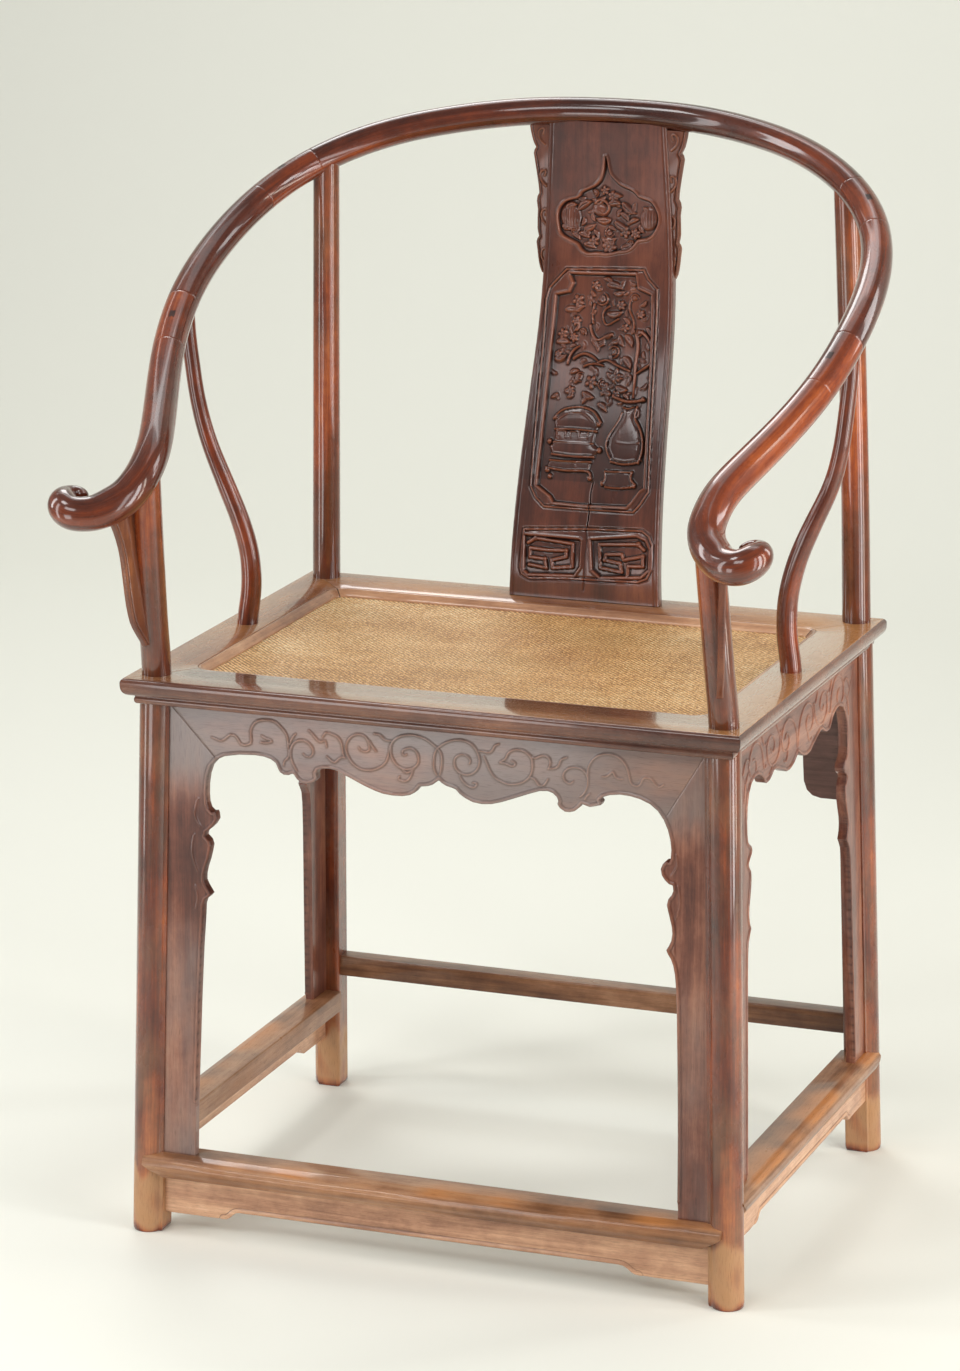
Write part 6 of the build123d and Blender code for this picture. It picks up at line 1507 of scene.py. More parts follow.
# =====================================================================
# splat: carved lines on its face, in millimetres (x, z)
# =====================================================================
SP = {
    "medallion": [(-7, 944.6), (-8.6, 934.6), (-10.2, 926.5), (-12.7, 920.8), (-17.8, 915.8), (-26.2, 911.8), (-31.2, 908.7), (-33.8, 904.6),
        (-41.4, 901.8), (-48.1, 899), (-53.2, 893.1), (-55.2, 885), (-54.2, 876.3), (-52, 869.2), (-45.9, 864.7), (-39, 861.9), (-33.9, 859),
        (-30.3, 854.5), (-23.4, 851.3), (-15, 852.1), (-4.8, 851.9), (6.9, 854.5), (17, 857), (23.5, 862.9), (26.8, 866.3), (35.9, 868.4),
        (43.4, 875.9), (46.5, 884.8), (45.6, 892.7), (41.3, 900.5), (36.2, 904.2), (27, 906.9), (24.4, 909.2), (18.5, 913.6), (9.2, 917.1),
        (3.3, 921.6), (-1.8, 927), (-4.4, 934.8)],
    "m_lumps": [(-42.9, 884.9), (36.4, 886.7), (-12.5, 892.9), (-3.3, 858.3), (12.3, 872.7), (23.3, 871.7), (-18.7, 863), (-25.7, 870.6),
        (-3.7, 871), (0, 906.3), (-8.4, 911.5), (16.2, 892.8), (-17.7, 908.6), (18.5, 861.9), (-39.3, 872.3)],
    "m_leaves": [(-35.3, 891.7), (-21, 900.4), (-19.3, 898.9), (-7.6, 905.9), (-5, 898.1), (8.5, 899.2), (9.3, 901.2), (23.8, 890.8),
        (7.8, 890.7), (16.3, 883.2), (-29.1, 874.4), (-17.4, 879), (-34.2, 869.4), (-23, 865.2), (2, 882.5), (15.6, 876), (30.4, 896.7),
        (38.1, 889.2), (27.3, 880.6), (31.7, 872.9), (-48.1, 892.6), (-36.2, 896.4), (-51.3, 876.4), (-41, 873.8), (-41, 869), (-32.3, 863.1),
        (1.7, 909.6), (9.3, 906.8), (-2.2, 883.8), (-17.4, 884.6), (8.5, 857.4), (21, 862.8), (-28.8, 859.3), (-16.8, 856), (-20.9, 889.2),
        (-17.4, 881.4), (17.2, 881.7), (26.4, 885.4), (-10.3, 864.3), (4, 866.6)],
    "m_curls": [(-17.6, 899), (-12.6, 902.5), (-5.8, 899.6), (-4.1, 893.3), (-9.1, 889.1), (-12.5, 891.3)],
    "outer": [(-44.7, 834.7), (-5, 836.6), (33.6, 838.2), (38.7, 829.5), (48.1, 820.7), (49.8, 783.1), (52.7, 737.7), (56.8, 683.6),
        (60.4, 636.6), (53.1, 624.1), (47, 617), (-5.8, 616.2), (-43.2, 616.3), (-52.5, 624), (-58.6, 634.2), (-59.9, 678.8), (-61.3, 721.6),
        (-63.9, 804), (-60.9, 816.8), (-52.6, 826.1)],
    "inner": [(-41.7, 831), (25.6, 833), (28.2, 820.4), (42.3, 815.2), (44.8, 782.9), (47.6, 746.5), (49.4, 719.4), (51.9, 683.3),
        (54.8, 639.8), (50.7, 636.8), (43.8, 626.2), (39.3, 621.3), (-6.2, 619.9), (-34.5, 620.7), (-38.4, 626), (-52.9, 635.2), (-52.9, 681.6),
        (-53.7, 722.1), (-54.4, 767.8), (-54, 810.6), (-40.7, 813.8), (-37.1, 822)],
    "low_outer": [(-61.6, 593.6), (2.6, 598.3), (57.5, 600.3), (64.6, 595.7), (68.6, 587.7), (69, 564.7), (65, 556), (56.2, 552.1),
        (-17, 550.1), (-54.4, 547.6), (-61.4, 551.4), (-63.3, 557.7), (-62.7, 577.9)],
    "low_left": [(-60.8, 588.5), (-5.5, 588.3), (-3.3, 586.6), (-3.3, 562), (-8.5, 554), (-55.4, 551.6), (-59.6, 554.8)],
    "low_right": [(6.2, 588.7), (51.7, 594.7), (61.1, 591.4), (65.7, 583.3), (65.9, 564.5), (58.2, 557.3), (17.9, 554.1), (9.5, 560.2)],
    "fretL": [(-57.2, 581.4), (-49.6, 586.2), (-11.9, 583.3), (-11.2, 561.7), (-30.9, 559.1), (-32.5, 566.4), (-18, 570.7), (-18.3, 576.5),
        (-36.4, 575.6), (-54.6, 576.4), (-54.7, 567.9), (-39.3, 566.9), (-37.7, 558.6), (-54.9, 560.5)],
    "fretR": [(60.1, 582.9), (54.1, 587.6), (15, 584.7), (17.5, 562.9), (39, 560.3), (36.8, 568.6), (21.5, 570.6), (22.4, 575.9), (38, 577.1),
        (40.6, 572), (59.4, 576.6), (59.9, 567.2), (45.4, 566.1), (44.8, 556.6)],
    "lid1": [(-43.6, 697.4), (-39.7, 702.2), (-34.5, 706), (-25.8, 708.4), (-16.8, 709.2), (-8.7, 707.7), (-2.6, 704.5), (4.1, 696.4)],
    "lid2": [(-37.9, 697.2), (-29.5, 702.5), (-20.6, 703.9), (-13.7, 703.1), (-3.2, 695.9)],
    "rim": [(-41.2, 687.9), (-20.3, 688.7), (0.7, 688.1)],
    "rim2": [(-41.3, 676), (-21.6, 676.7), (-1.2, 676.6)],
    "belly": [(-41.7, 665), (-21.1, 664.1), (0.8, 664.8)],
    "bandL": [(-41.2, 687.9), (-41.3, 676), (-45.4, 671.9), (-41.7, 665)],
    "bandR": [(0.7, 688.1), (-0.7, 676.6), (6.1, 671.7), (0.8, 664.8)],
    "knobs": [(-45.4, 676.5), (5.6, 671.2), (2, 695.2), (-41.4, 698.5), (-44.5, 650.5), (-0.9, 645.4), (-41.5, 644.6), (12.5, 641.7),
        (44, 641.3), (14.3, 721.2), (43.7, 720)],
    "standT": [(-43.2, 659.3), (-22.8, 659.1), (-1.4, 660.1)],
    "standB": [(-45.8, 652.5), (-23, 651), (-2.6, 650.8), (0.1, 646.4)],
    "vL": [(24.7, 706.3), (23.2, 701.1), (18.2, 692.2), (13.6, 683.9), (12.9, 673.7), (18.4, 663.9)],
    "vR": [(39.1, 712.7), (38.1, 702.6), (42.4, 695.8), (47.9, 684.1), (48.8, 672), (46.1, 662.2)],
    "vlip": [(15.6, 720.3), (28.4, 717.1), (44.9, 719.6)],
    "vneck": [(24.6, 711.8), (30.3, 710.6), (35.7, 712.5)],
    "vband": [(22.6, 679.4), (34.5, 679), (45.5, 680.4)],
    "vfoot": [(18.6, 661.9), (32.3, 660.3), (45.5, 662.7)],
    "vstT": [(14.1, 652.5), (26.4, 652.8), (41, 653.3)],
    "vstB": [(15.7, 638.4), (30.3, 638.3), (43.6, 640.3)],
    "vstL": [(14.1, 652.5), (14.9, 645.4), (12.1, 640.1)],
    "vstR": [(41, 653.3), (40.5, 647.2), (45, 642.4)],
    "fretBand": [(-37.7, 678.5), (-38.7, 686.5), (-29.6, 686.6), (-28.9, 681.1), (-24.4, 680.9), (-24.5, 686.4), (-16.1, 686.8), (-15.3, 681),
        (-7.4, 680.9), (-7, 686.6)],
    "stem1": [(-15.2, 803.4), (-16.4, 794.9), (-15.1, 786.5)],
    "stem2": [(0.1, 802.6), (-5.8, 795.5), (-2.1, 785.6), (4.1, 787.6), (10.2, 791.3)],
    "stem3": [(20.8, 808.9), (20.5, 800.4), (24.9, 792.2), (26.7, 783.9)],
    "pot_rim": [(-17.6, 783.8), (-15, 776.4), (-8.8, 770.9), (-1.7, 773.9), (5.3, 776.8)],
    "scrollA": [(30.1, 777.4), (32.6, 767.5), (32.3, 750.9), (32.8, 743.5), (33.5, 721.3)],
    "scrollB": [(35.3, 780.2), (42.4, 774.8), (47.3, 763.4), (47.6, 753.5), (40.2, 747.3), (34.3, 742.8)],
    "archA": [(-36.6, 748.4), (-34.7, 755.2), (-31.7, 760.4), (-26.6, 764.4)],
    "archB": [(-30.7, 752.9), (-22, 757.6), (-12.5, 755.7), (-6.5, 751.9)],
    "archC": [(-19.7, 746.5), (-10.8, 749.2), (-0.5, 748.1)],
    "branch": [(-6.3, 750.3), (2.6, 753.3), (12.3, 749.7), (26.7, 744.8)],
    "flowers": [(-15.2, 821.3), (-6.8, 808.1), (-31.7, 805.9), (11.9, 804.1), (25.1, 811.7), (32.3, 796.8), (17.5, 783.4), (31.7, 780),
        (-44.5, 774.7), (-33, 772), (-24.3, 777.6), (-31.9, 787.2), (-10.4, 732.6), (0.9, 730.8), (13.7, 738.2), (-30.6, 723.9), (9.9, 761.2),
        (-46.9, 756.1), (15.8, 722.7), (-23, 736.8)],
    "leaves": [(-4.1, 821.9), (12.7, 818.6), (3.7, 814.7), (14.6, 817), (-44.8, 796.6), (-29.9, 795.8), (-2.1, 795.7), (14.3, 798.3),
        (-13.4, 798.4), (-18.7, 794.7), (12.8, 776.4), (18.4, 766.7), (18.2, 776.7), (26.7, 766.3), (6.1, 769.3), (14.8, 774.8), (-10.4, 768.3),
        (-7.6, 760.1), (-3.7, 774.6), (5.3, 776.8), (-32.7, 739.5), (-23.7, 741.7), (-27.8, 730.7), (-24.3, 739.2), (5.2, 732.7), (0.4, 720.9),
        (-36.2, 724.4), (-26.7, 722.5), (18.7, 756.7), (27.4, 746.5), (4.1, 741.8), (21.1, 737.8), (14.5, 746.5), (10, 738.8), (-18.4, 723),
        (-5.8, 718.8), (-50.1, 766.8), (-36.2, 766.8), (-50.1, 751.8), (-38.5, 755.8), (39.4, 784.6), (44, 776.5), (32.2, 804.4), (37.2, 809.8),
        (-35.4, 795.4), (-24.8, 801.2), (21.7, 786.9), (14.8, 792.4), (-14.5, 811.1), (-19.6, 816.8), (1.3, 824.8), (-8.1, 827.7), (-28.8, 784),
        (-33.7, 777.9), (14.8, 730), (27.1, 727.5), (23.1, 723.1), (29.2, 718.5)],
    "leaves3": [(-1.5, 713.2), (8.4, 706.7), (10.8, 722), (-0.6, 723.3), (-27.5, 721.7), (-33.7, 717.2), (-12.4, 718.6), (-17.2, 712.2),
        (37.9, 712.6), (38.3, 701.6), (-19.4, 659.4), (-14.2, 653.6), (-43.3, 720.7), (-49.5, 716.3), (26, 692.7), (22.6, 684.4), (37.6, 689.5),
        (34, 683.2), (45.5, 671.8), (49.8, 664)],
}

SF = np.array(SPLAT_FACE)


def splat_y(z):
    return cubic(SF[:, 1], SF[:, :1], np.asarray(z, float).ravel())[:, 0].reshape(np.shape(z))


def splat_place(x, z, h):
    """Points at height h over the S-curved face (h negative goes into the board)."""
    y = splat_y(z)
    slope = (splat_y(z + 0.5) - splat_y(z - 0.5))
    k = np.sqrt(1 + slope ** 2)
    return np.stack([x, y - h / k, z + h * slope / k], -1)


def splat_mid(z):
    return 1.5 + (z - 529.5) / (979.0 - 529.5) * -7.0


def splat_half(z):
    s = np.array(SPLAT_HALF)
    return np.interp(z, s[:, 0], s[:, 1])


sa = Art((-80, 528), (82, 984), 0.3)
frame_line = lambda k: np.array(SP[k])


def inset(poly, q):
    """Returns the outline as given, not moved; q is not used."""
    return poly


def panel(art, outline, depth, lip=1.3, rise=0.95, smooth=False, soft=1.3):
    """Sunk ground with a raised lip round it."""
    p = art.curve(outline, closed=True) if smooth else np.asarray(outline, float)
    win = art.window(p, 4)
    D, _, _ = poly_distance(art.X[win], art.Z[win], p)
    H = art.H[win]
    ground = -depth * np.clip((D - 0.2) / soft, 0, 1) ** 0.7
    H[:] = np.where(D > 0, ground, H)
    q = np.abs(D + lip) / lip
    H[:] = np.where(q < 1, np.maximum(H, rise * np.sqrt(np.clip(1 - q * q, 0, 1))), H)
    return D, win, p


# outer bead of the large panel: a raised line outside the sunk ground
for key in ("outer",):
    c = frame_line(key)
    c = np.vstack([c, c[:1]])
    sa.groove(c, 2.4, 1.1, smooth=False)
    sa.stroke(c, 1.15, 2.1, smooth=False, base=-0.9, power=0.6)
DEPTH = 4.2
panel(sa, frame_line("inner"), DEPTH)
panel(sa, frame_line("medallion"), DEPTH, smooth=True)
c = frame_line("low_outer")
c = np.vstack([c, c[:1]])
sa.groove(c, 2.5, 1.2, smooth=False)
sa.stroke(c, 1.3, 2.2, smooth=False, base=-1.0, power=0.6)
panel(sa, frame_line("low_left"), 3.4, lip=1.2, rise=0.9)
panel(sa, frame_line("low_right"), 3.4, lip=1.2, rise=0.9)
# random numbers for the filler leaves, and the ground level of the sunk panels
art_rng = np.random.default_rng(21)
G0 = -DEPTH


def flower(c, r, base=G0, petals=5, h=3.3, rot=0.0):
    """Blossom: rounded petals round a ball, seen from above."""
    for k in range(petals):
        a = rot + 2 * math.pi * k / petals
        sa.dot((c[0] + 0.56 * r * math.cos(a), c[1] + 0.56 * r * math.sin(a)), 0.47 * r, h, ry=0.36 * r, rot=a, base=base)
    for k in range(petals):
        a = rot + 2 * math.pi * (k + 0.5) / petals
        win = sa.window([c], r + 1)
        sa.groove([(c[0] + 0.25 * r * math.cos(a), c[1] + 0.25 * r * math.sin(a)), (c[0] + 0.95 * r * math.cos(a), c[1] + 0.95 * r * math.sin(a))],
                  0.45, 0.0, smooth=False)
    sa.dot(c, 0.26 * r, h + 0.5, base=base)


def cup(c, r, base=G0, h=3.1, rot=0.0):
    """Bud seen from the side: nested curled petals."""
    ca, s_ = math.cos(rot), math.sin(rot)
    tr = lambda u, v: (c[0] + r * (u * ca - v * s_), c[1] + r * (u * s_ + v * ca))
    sa.dot(c, 0.8 * r, h * 0.75, ry=0.65 * r, rot=rot, base=base)
    sa.stroke([tr(-0.9, 0.5), tr(-0.8, -0.2), tr(-0.2, -0.7), tr(0.5, -0.6), tr(0.9, 0.0), tr(0.85, 0.55)], 0.17 * r, h, base=base, w1=0.08 * r, w2=0.08 * r)
    sa.stroke([tr(-0.4, 0.6), tr(-0.3, -0.1), tr(0.1, -0.3), tr(0.45, 0.0), tr(0.35, 0.5)], 0.13 * r, h * 1.12, base=base, w1=0.06 * r, w2=0.06 * r)


def pairs(key, w=2.4, h=2.9, base=G0):
    p = SP[key]
    for i in range(0, len(p) - 1, 2):
        L = math.dist(p[i], p[i + 1])
        sa.leaf(p[i], p[i + 1], max(1.6, min(w * 1.6, 0.27 * L)), h, base=base, vein=0.4, bend=0.12 * (-1) ** (i // 2))


# medallion: foliage, curls and two big fruits
lumps = SP["m_lumps"]
sa.dot(lumps[0], 10.5, 3.4, ry=13.0, rot=0.15, base=G0)
sa.dot(lumps[1], 9.0, 3.4, ry=12.0, rot=-0.2, base=G0)
sa.dot(lumps[2], 9.0, 3.3, ry=6.5, rot=-0.2, base=G0)
for i, r in ((3, 7.5), (4, 6.0), (5, 5.5), (6, 5.5), (9, 5.5), (10, 4.6)):
    flower(lumps[i], r, petals=5 + i % 2, rot=0.3 * i)
for i, r in ((7, 4.5), (8, 4.8), (11, 4.0), (12, 3.6), (13, 4.0), (14, 3.4)):
    cup(lumps[i], r, rot=0.7 * i)
pairs("m_leaves", 2.5, 3.4)
sa.stroke(SP["m_curls"], 1.5, 4.0, base=G0, w2=0.7)
for k in range(16):
    a = k * 2.39996
    r = 5 + 30 * math.sqrt((k + 0.5) / 16)
    c0 = (np.mean([p[0] for p in SP["medallion"]]) + 1.12 * r * math.cos(a), 887 + 0.62 * r * math.sin(a))
    t = a + 1.1
    sa.leaf(c0, (c0[0] + 8.5 * math.cos(t), c0[1] + 8.5 * math.sin(t)), 2.3, 2.3, base=G0, vein=0.4, bend=0.15)
# fine hatching on the big fruits
for cc, rx, ry, n in ((lumps[0], 8, 10, 6), (lumps[1], 7, 9, 5)):
    for k in range(n):
        u = -0.8 + 1.6 * k / (n - 1)
        sa.groove([(cc[0] + u * rx, cc[1] - ry * math.sqrt(max(0, 1 - u * u)) * 0.9), (cc[0] + u * rx * 1.1, cc[1]),
                   (cc[0] + u * rx, cc[1] + ry * math.sqrt(max(0, 1 - u * u)) * 0.9)], 0.5, 0.7)

# large panel -----------------------------------------------------------
sa.stroke(SP["stem1"], 1.1, 3.2, base=G0)
sa.stroke(SP["stem2"], 1.0, 3.0, base=G0)
sa.stroke(SP["stem3"], 1.0, 3.0, base=G0)
sa.stroke(SP["branch"], 1.2, 3.1, base=G0)
pairs("leaves", 2.3, 2.9)
pairs("leaves3", 2.2, 2.9)
for i, p in enumerate(SP["flowers"]):
    r = (4.6, 6.2, 6.2, 4.8, 4.2, 4.6, 4.2, 4.4, 5.2, 4.4, 3.8, 5.0, 6.4, 5.2, 5.4, 4.4, 5.6, 4.0, 4.2, 4.4)[i]
    if i % 3 == 1:
        cup(p, r, rot=0.9 * i)
    else:
        flower(p, r, petals=5 + (i % 2), rot=0.4 * i)
sa.stroke(SP["pot_rim"], 1.5, 3.5, base=G0)
for q in (0.0, 1.9, 3.8):
    sa.stroke([(a, b - 2.4 - q) for a, b in SP["pot_rim"][1:4]], 0.85, 2.6, base=G0)
for key, w in (("archA", 1.2), ("archB", 1.2), ("archC", 1.0), ("scrollA", 1.7), ("scrollB", 1.5)):
    sa.stroke(SP[key], w * 1.15, 3.9, base=G0, w2=0.8)
# small filler leaves over the ground of the upper half
for k in range(64):
    x0 = art_rng.uniform(-48, 46)
    z0 = art_rng.uniform(718, 826)
    a = art_rng.uniform(0, 2 * math.pi)
    L = art_rng.uniform(5, 9)
    sa.leaf((x0, z0), (x0 + L * math.cos(a), z0 + L * math.sin(a)), art_rng.uniform(1.4, 2.2), art_rng.uniform(1.2, 2.1), base=G0, bend=0.2)
# lidded censer on its stand
lid = np.array(SP["lid1"])
body = np.array(SP["bandL"] + SP["belly"] + SP["bandR"][::-1])
sa.fill(np.vstack([lid, SP["rim"][::-1]]), 2.3, bevel=3.6, base=G0, dome=0.9)
sa.fill(np.vstack([SP["bandL"], SP["belly"], SP["bandR"][::-1]]), 2.5, bevel=3.6, base=G0, dome=0.7)
sa.stroke(SP["lid1"], 1.3, 4.0, base=G0)
sa.stroke(SP["lid2"], 0.9, 3.9, base=G0)
sa.stroke(SP["rim"], 1.3, 4.2, base=G0)
sa.stroke(SP["rim2"], 0.9, 4.0, base=G0)
sa.stroke(SP["belly"], 1.3, 4.3, base=G0)
sa.stroke(SP["fretBand"], 0.85, 3.9, base=G0, smooth=False)
stand = np.array(SP["standT"] + SP["standB"][:3][::-1])
sa.fill(stand, 2.5, bevel=2.0, base=G0)
sa.stroke(SP["standT"], 1.2, 3.8, base=G0)
sa.stroke(SP["standB"], 1.4, 3.8, base=G0)
for k, p in enumerate(SP["knobs"]):
    sa.dot(p, (2.6, 2.9, 2.9, 2.5, 2.9, 2.9, 2.5, 2.6, 2.6, 2.2, 2.2)[k], 4.4, base=G0)
# bottle vase on its stand
vase = np.array(SP["vL"] + SP["vfoot"] + SP["vR"][::-1] + SP["vneck"][::-1])
sa.fill(vase, 3.0, bevel=5.5, base=G0, dome=0.9)
for key, w in (("vlip", 1.6), ("vneck", 0.9), ("vband", 1.0), ("vfoot", 1.3), ("vL", 1.3), ("vR", 1.3)):
    sa.stroke(SP[key], w, 4.3, base=G0)
vband = np.array(SP["vband"])
for k in range(5):
    p = vband[0] + (vband[-1] - vband[0]) * (k + 0.5) / 5
    sa.leaf((p[0], p[1] - 4), (p[0] + 1.5, p[1] - 12), 1.7, 4.0, base=G0)
    sa.leaf((p[0], p[1] + 3), (p[0] - 1.0, p[1] + 12), 1.7, 4.0, base=G0)
vst = np.array(SP["vstT"] + SP["vstR"][1:] + SP["vstB"][::-1] + SP["vstL"][::-1][:-1])
sa.fill(vst, 2.3, bevel=2.0, base=G0)
for key, w in (("vstT", 1.1), ("vstB", 1.2), ("vstL", 1.4), ("vstR", 1.4)):
    sa.stroke(SP[key], w, 3.9, base=G0)
# small panel: two squared dragon frets
for key in ("fretL", "fretR"):
    sa.stroke(SP[key], 1.9, 3.5, base=-3.4, smooth=False, power=0.4)
for key in ("fretL", "fretR"):
    q = np.array(SP[key])
    sa.groove(q[2:8], 0.5, 0.9, smooth=False)
for p, r in ((SP["fretL"][1], 2.6), (SP["fretR"][1], 2.6), (SP["fretL"][7], 2.2), (SP["fretR"][6], 2.2), (SP["fretL"][11], 2.2), (SP["fretR"][10], 2.2)):
    sa.dot(p, r * 1.15, 3.7, base=-3.4)
    sa.dot((p[0] + 0.6, p[1] + 0.4), 0.9, 4.3, base=-3.4)
# a worn drying crack between them
sa.groove([(2.5, 642), (1.2, 628), (2.6, 612), (1.6, 600), (2.4, 588), (1.8, 572), (2.2, 556), (1.4, 540)], 1.1, 0.9)
sa.groove([(2.5, 642), (1.2, 628), (2.6, 612), (1.6, 600)], 0.5, 1.4)
sa.blur(1)
# softened long edges with a fine bead
mid_, half_ = splat_mid(sa.Z), splat_half(sa.Z)
edge = half_ - np.abs(sa.X - mid_)
sa.H -= 0.5 * np.clip(1 - ((edge - 4.2) / 0.8) ** 2, 0, 1)
sa.H -= np.where(edge < 2.0, 2.0 - np.sqrt(np.clip(4.0 - (2.0 - np.clip(edge, 0, 2)) ** 2, 0, 4)), 0)
sa.H += 0.12 * np.sin(sa.X / 11.0 + 1.5 * np.sin(sa.Z / 47.0)) + 0.08 * np.sin(sa.Z / 19.0)
sa.cavity(16)
SSTEP = 0.72
zt = 977.0
for name, z0, z1 in (("splat_upper_shape", 752.0, zt), ("splat_lower_shape", 530.2, 752.0)):
    rows = np.arange(z0, z1, 8.0)
    rows = np.append(rows, z1)
    L_ = [(float(splat_mid(z) - splat_half(z)), float(z)) for z in rows]
    R_ = [(float(splat_mid(z) + splat_half(z)), float(z)) for z in rows]
    V, Q, G, C = board(L_[::-1] + R_, SSTEP, 12.0, lambda x, z, d: (sa.read(x, z), np.clip(sa.read(x, z, sa.cav), -1.2, 1.2)),
                       splat_place, lambda x, z, h: np.stack([z + 12000, x, h], -1), rim=0.0001, back_round=0.0001)
    n = len(V) // 2
    keep = (Q < n).all(1)
    face = Q[keep]
    pc = Piece()
    pc.add(V[:n], face, (), G[:n], C[:n])
    # sides and back on a coarse grid that starts at the face's edge
    m = len(rows)
    zz = rows
    prof = []
    for s in (-1, 1):
        for dpt in (0.0, 2.0, 11.2, 12.0):
            prof.append((s, dpt))
    cols = [(-1, 2.0, 0.0), (-1, 6.0, 0.0), (-1, 11.0, 0.0), (-1, 12.0, 0.9)] + [("m", f) for f in np.linspace(-0.9, 0.9, 12)] \
        + [(1, 12.0, 0.9), (1, 11.0, 0.0), (1, 6.0, 0.0), (1, 2.0, 0.0)]
    P, GG = [], []
    for c in cols:
        if c[0] == "m":
            x = splat_mid(zz) + c[1] * splat_half(zz)
            h = np.full(m, -12.0)
        else:
            x = splat_mid(zz) + c[0] * (splat_half(zz) - c[2])
            h = np.full(m, -c[1])
        P.append(splat_place(x, zz, h))
        GG.append(np.stack([zz + 12000, x, h], -1))
    P, GG = np.array(P), np.array(GG)
    pc.add(P.reshape(-1, 3), grid_quads(len(cols), m, False), (), GG.reshape(-1, 3))
    ob = pc.build(name, MAT["splat_wood"], ["back_splat"], angle=55,
                  tone=lambda v: 0.30 * np.sin(v[:, 2] / 60.0) + 0.25 * (v[:, 2] < 640) - 0.1)
    b = bmesh.new()
    b.from_mesh(ob.data)
    bmesh.ops.delete(b, geom=[v for v in b.verts if not v.link_faces], context="VERTS")
    b.normal_update()
    fr = [f for f in b.faces if f.calc_center_median().y < 0.29]
    b.to_mesh(ob.data)
    b.free()

# flanges beside the head of the splat ------------------------------------
flange = [(57.5, 826), (67.5, 829), (69.3, 833), (70.5, 838), (71.4, 844), (72, 850), (73, 858), (72.2, 861.4), (70.5, 864), (71.4, 868), (72, 872),
          (71.8, 881), (71.5, 890), (72.5, 898), (71.8, 902.5), (70, 906), (70.4, 911), (71, 916), (72.2, 924), (73.5, 932), (75.5, 944),
          (74.6, 947.6), (73, 950), (74.6, 952.8), (76, 956), (77.4, 961), (78.5, 966), (79.4, 972), (57.5, 972)]
for s, lr in ((-1, "left"), (1, "right")):
    pts = [(-5.5 + s * a, b) for a, b in flange]
    a_ = edge_art((min(p[0] for p in pts) - 2, 822), (max(p[0] for p in pts) + 2, 984), pts[1:28], depth=0.7, at=2.2, w=0.7)
    for (u, v) in ((64.5, 846), (64.5, 884), (65.5, 922), (67.0, 962)):
        a_.stroke([(-5.5 + s * (u - 3), v - 9), (-5.5 + s * (u + 2.5), v - 3), (-5.5 + s * (u + 2), v + 5), (-5.5 + s * (u - 2), v + 6),
                   (-5.5 + s * (u - 1.5), v + 1)], 1.1, 1.1)
    a_.cavity(8)
    carved(f"splat_flange_{lr}_shape", f"splat_flange_{lr}", "spandrel_wood", pts, a_, 0.6, 7.0,
           lambda x, z, h: np.stack([x, 278.4 - h, z], -1), lambda x, z, h: np.stack([z + 13000, x, h], -1), rim=0.7)

# spandrels before the front posts ----------------------------------------
span_edge = [(13.5, 560.0), (15.2, 563.2), (17.0, 566.0), (19.4, 569.6), (22.0, 573.5), (24.9, 578.4), (27.5, 584.0), (29.7, 591.6), (31.5, 600.0),
             (33.1, 610.8), (34.5, 622.0), (35.9, 633.8), (37.5, 645.0), (39.3, 653.3), (41.5, 661.0), (44.4, 668.8), (47.5, 676.0),
             (49.8, 682.0), (51.5, 688.0), (51.5, 706.0), (24.0, 706.0), (20.0, 690.0), (12.0, 640.0), (6.0, 560.0)]
TURN = math.radians(22)
for s, lr in ((-1, "left"), (1, "right")):
    o = np.array([s * math.sin(TURN), -math.cos(TURN), 0.0])
    nrm = np.array([math.cos(TURN), s * math.sin(TURN), 0.0])
    org = np.array([s * 267.4, -205.2, 0.0])

    def two_faced(a, z, h, o=o, nrm=nrm, org=org):
        return org + np.outer(a, o) + np.outer(h + 3.2, nrm) + np.outer(z, [0, 0, 1.0])

    a_ = edge_art((2, 556), (56, 712), span_edge[:19], depth=0.5, at=2.6, w=0.7)
    carved(f"post_spandrel_{lr}_shape", f"post_spandrel_{lr}", "spandrel_wood", span_edge, a_, 0.7, 6.4,
           two_faced, lambda a, z, h, s=s: np.stack([z + 14000 + 300 * s, a, h], -1), rim=1.6)
# =====================================================================
# woven cane: two sets of flat strands, each over two and under two
# =====================================================================
PITCH = 1.3
CX0, CX1 = -(OPEN_HALF_W - 6.2), OPEN_HALF_W - 6.2
CY0, CY1 = OPEN_FRONT + 6.2, OPEN_BACK - 6.2
NX = int((CX1 - CX0) / PITCH)
NY = int((CY1 - CY0) / PITCH)
cane_rng = np.random.default_rng(11)
LIFT = 0.33


def sag(x, y):
    """The mat gives a little in the middle and is drawn tight at its edges."""
    u = np.clip(1 - (x / 245.0) ** 2, 0, 1)
    v = np.clip(1 - ((y + 3.7) / 170.0) ** 2, 0, 1)
    return -1.1 * (u * v) ** 0.8 + 0.16 * np.sin(x / 41.0 + 1.3) * np.sin(y / 33.0)


def wander(n, m, amount):
    """Slow sideways wander of each strand, smooth along it and across the set."""
    k = cane_rng.normal(0, 1, (n // 12 + 3, m // 14 + 3))
    a = np.linspace(0, k.shape[0] - 1.001, n)
    b = np.linspace(0, k.shape[1] - 1.001, m)
    i, j = a.astype(int), b.astype(int)
    fa, fb = (a - i)[:, None], (b - j)[None]
    return amount * (k[i][:, j] * (1 - fa) * (1 - fb) + k[i + 1][:, j] * fa * (1 - fb) + k[i][:, j + 1] * (1 - fa) * fb + k[i + 1][:, j + 1] * fa * fb)


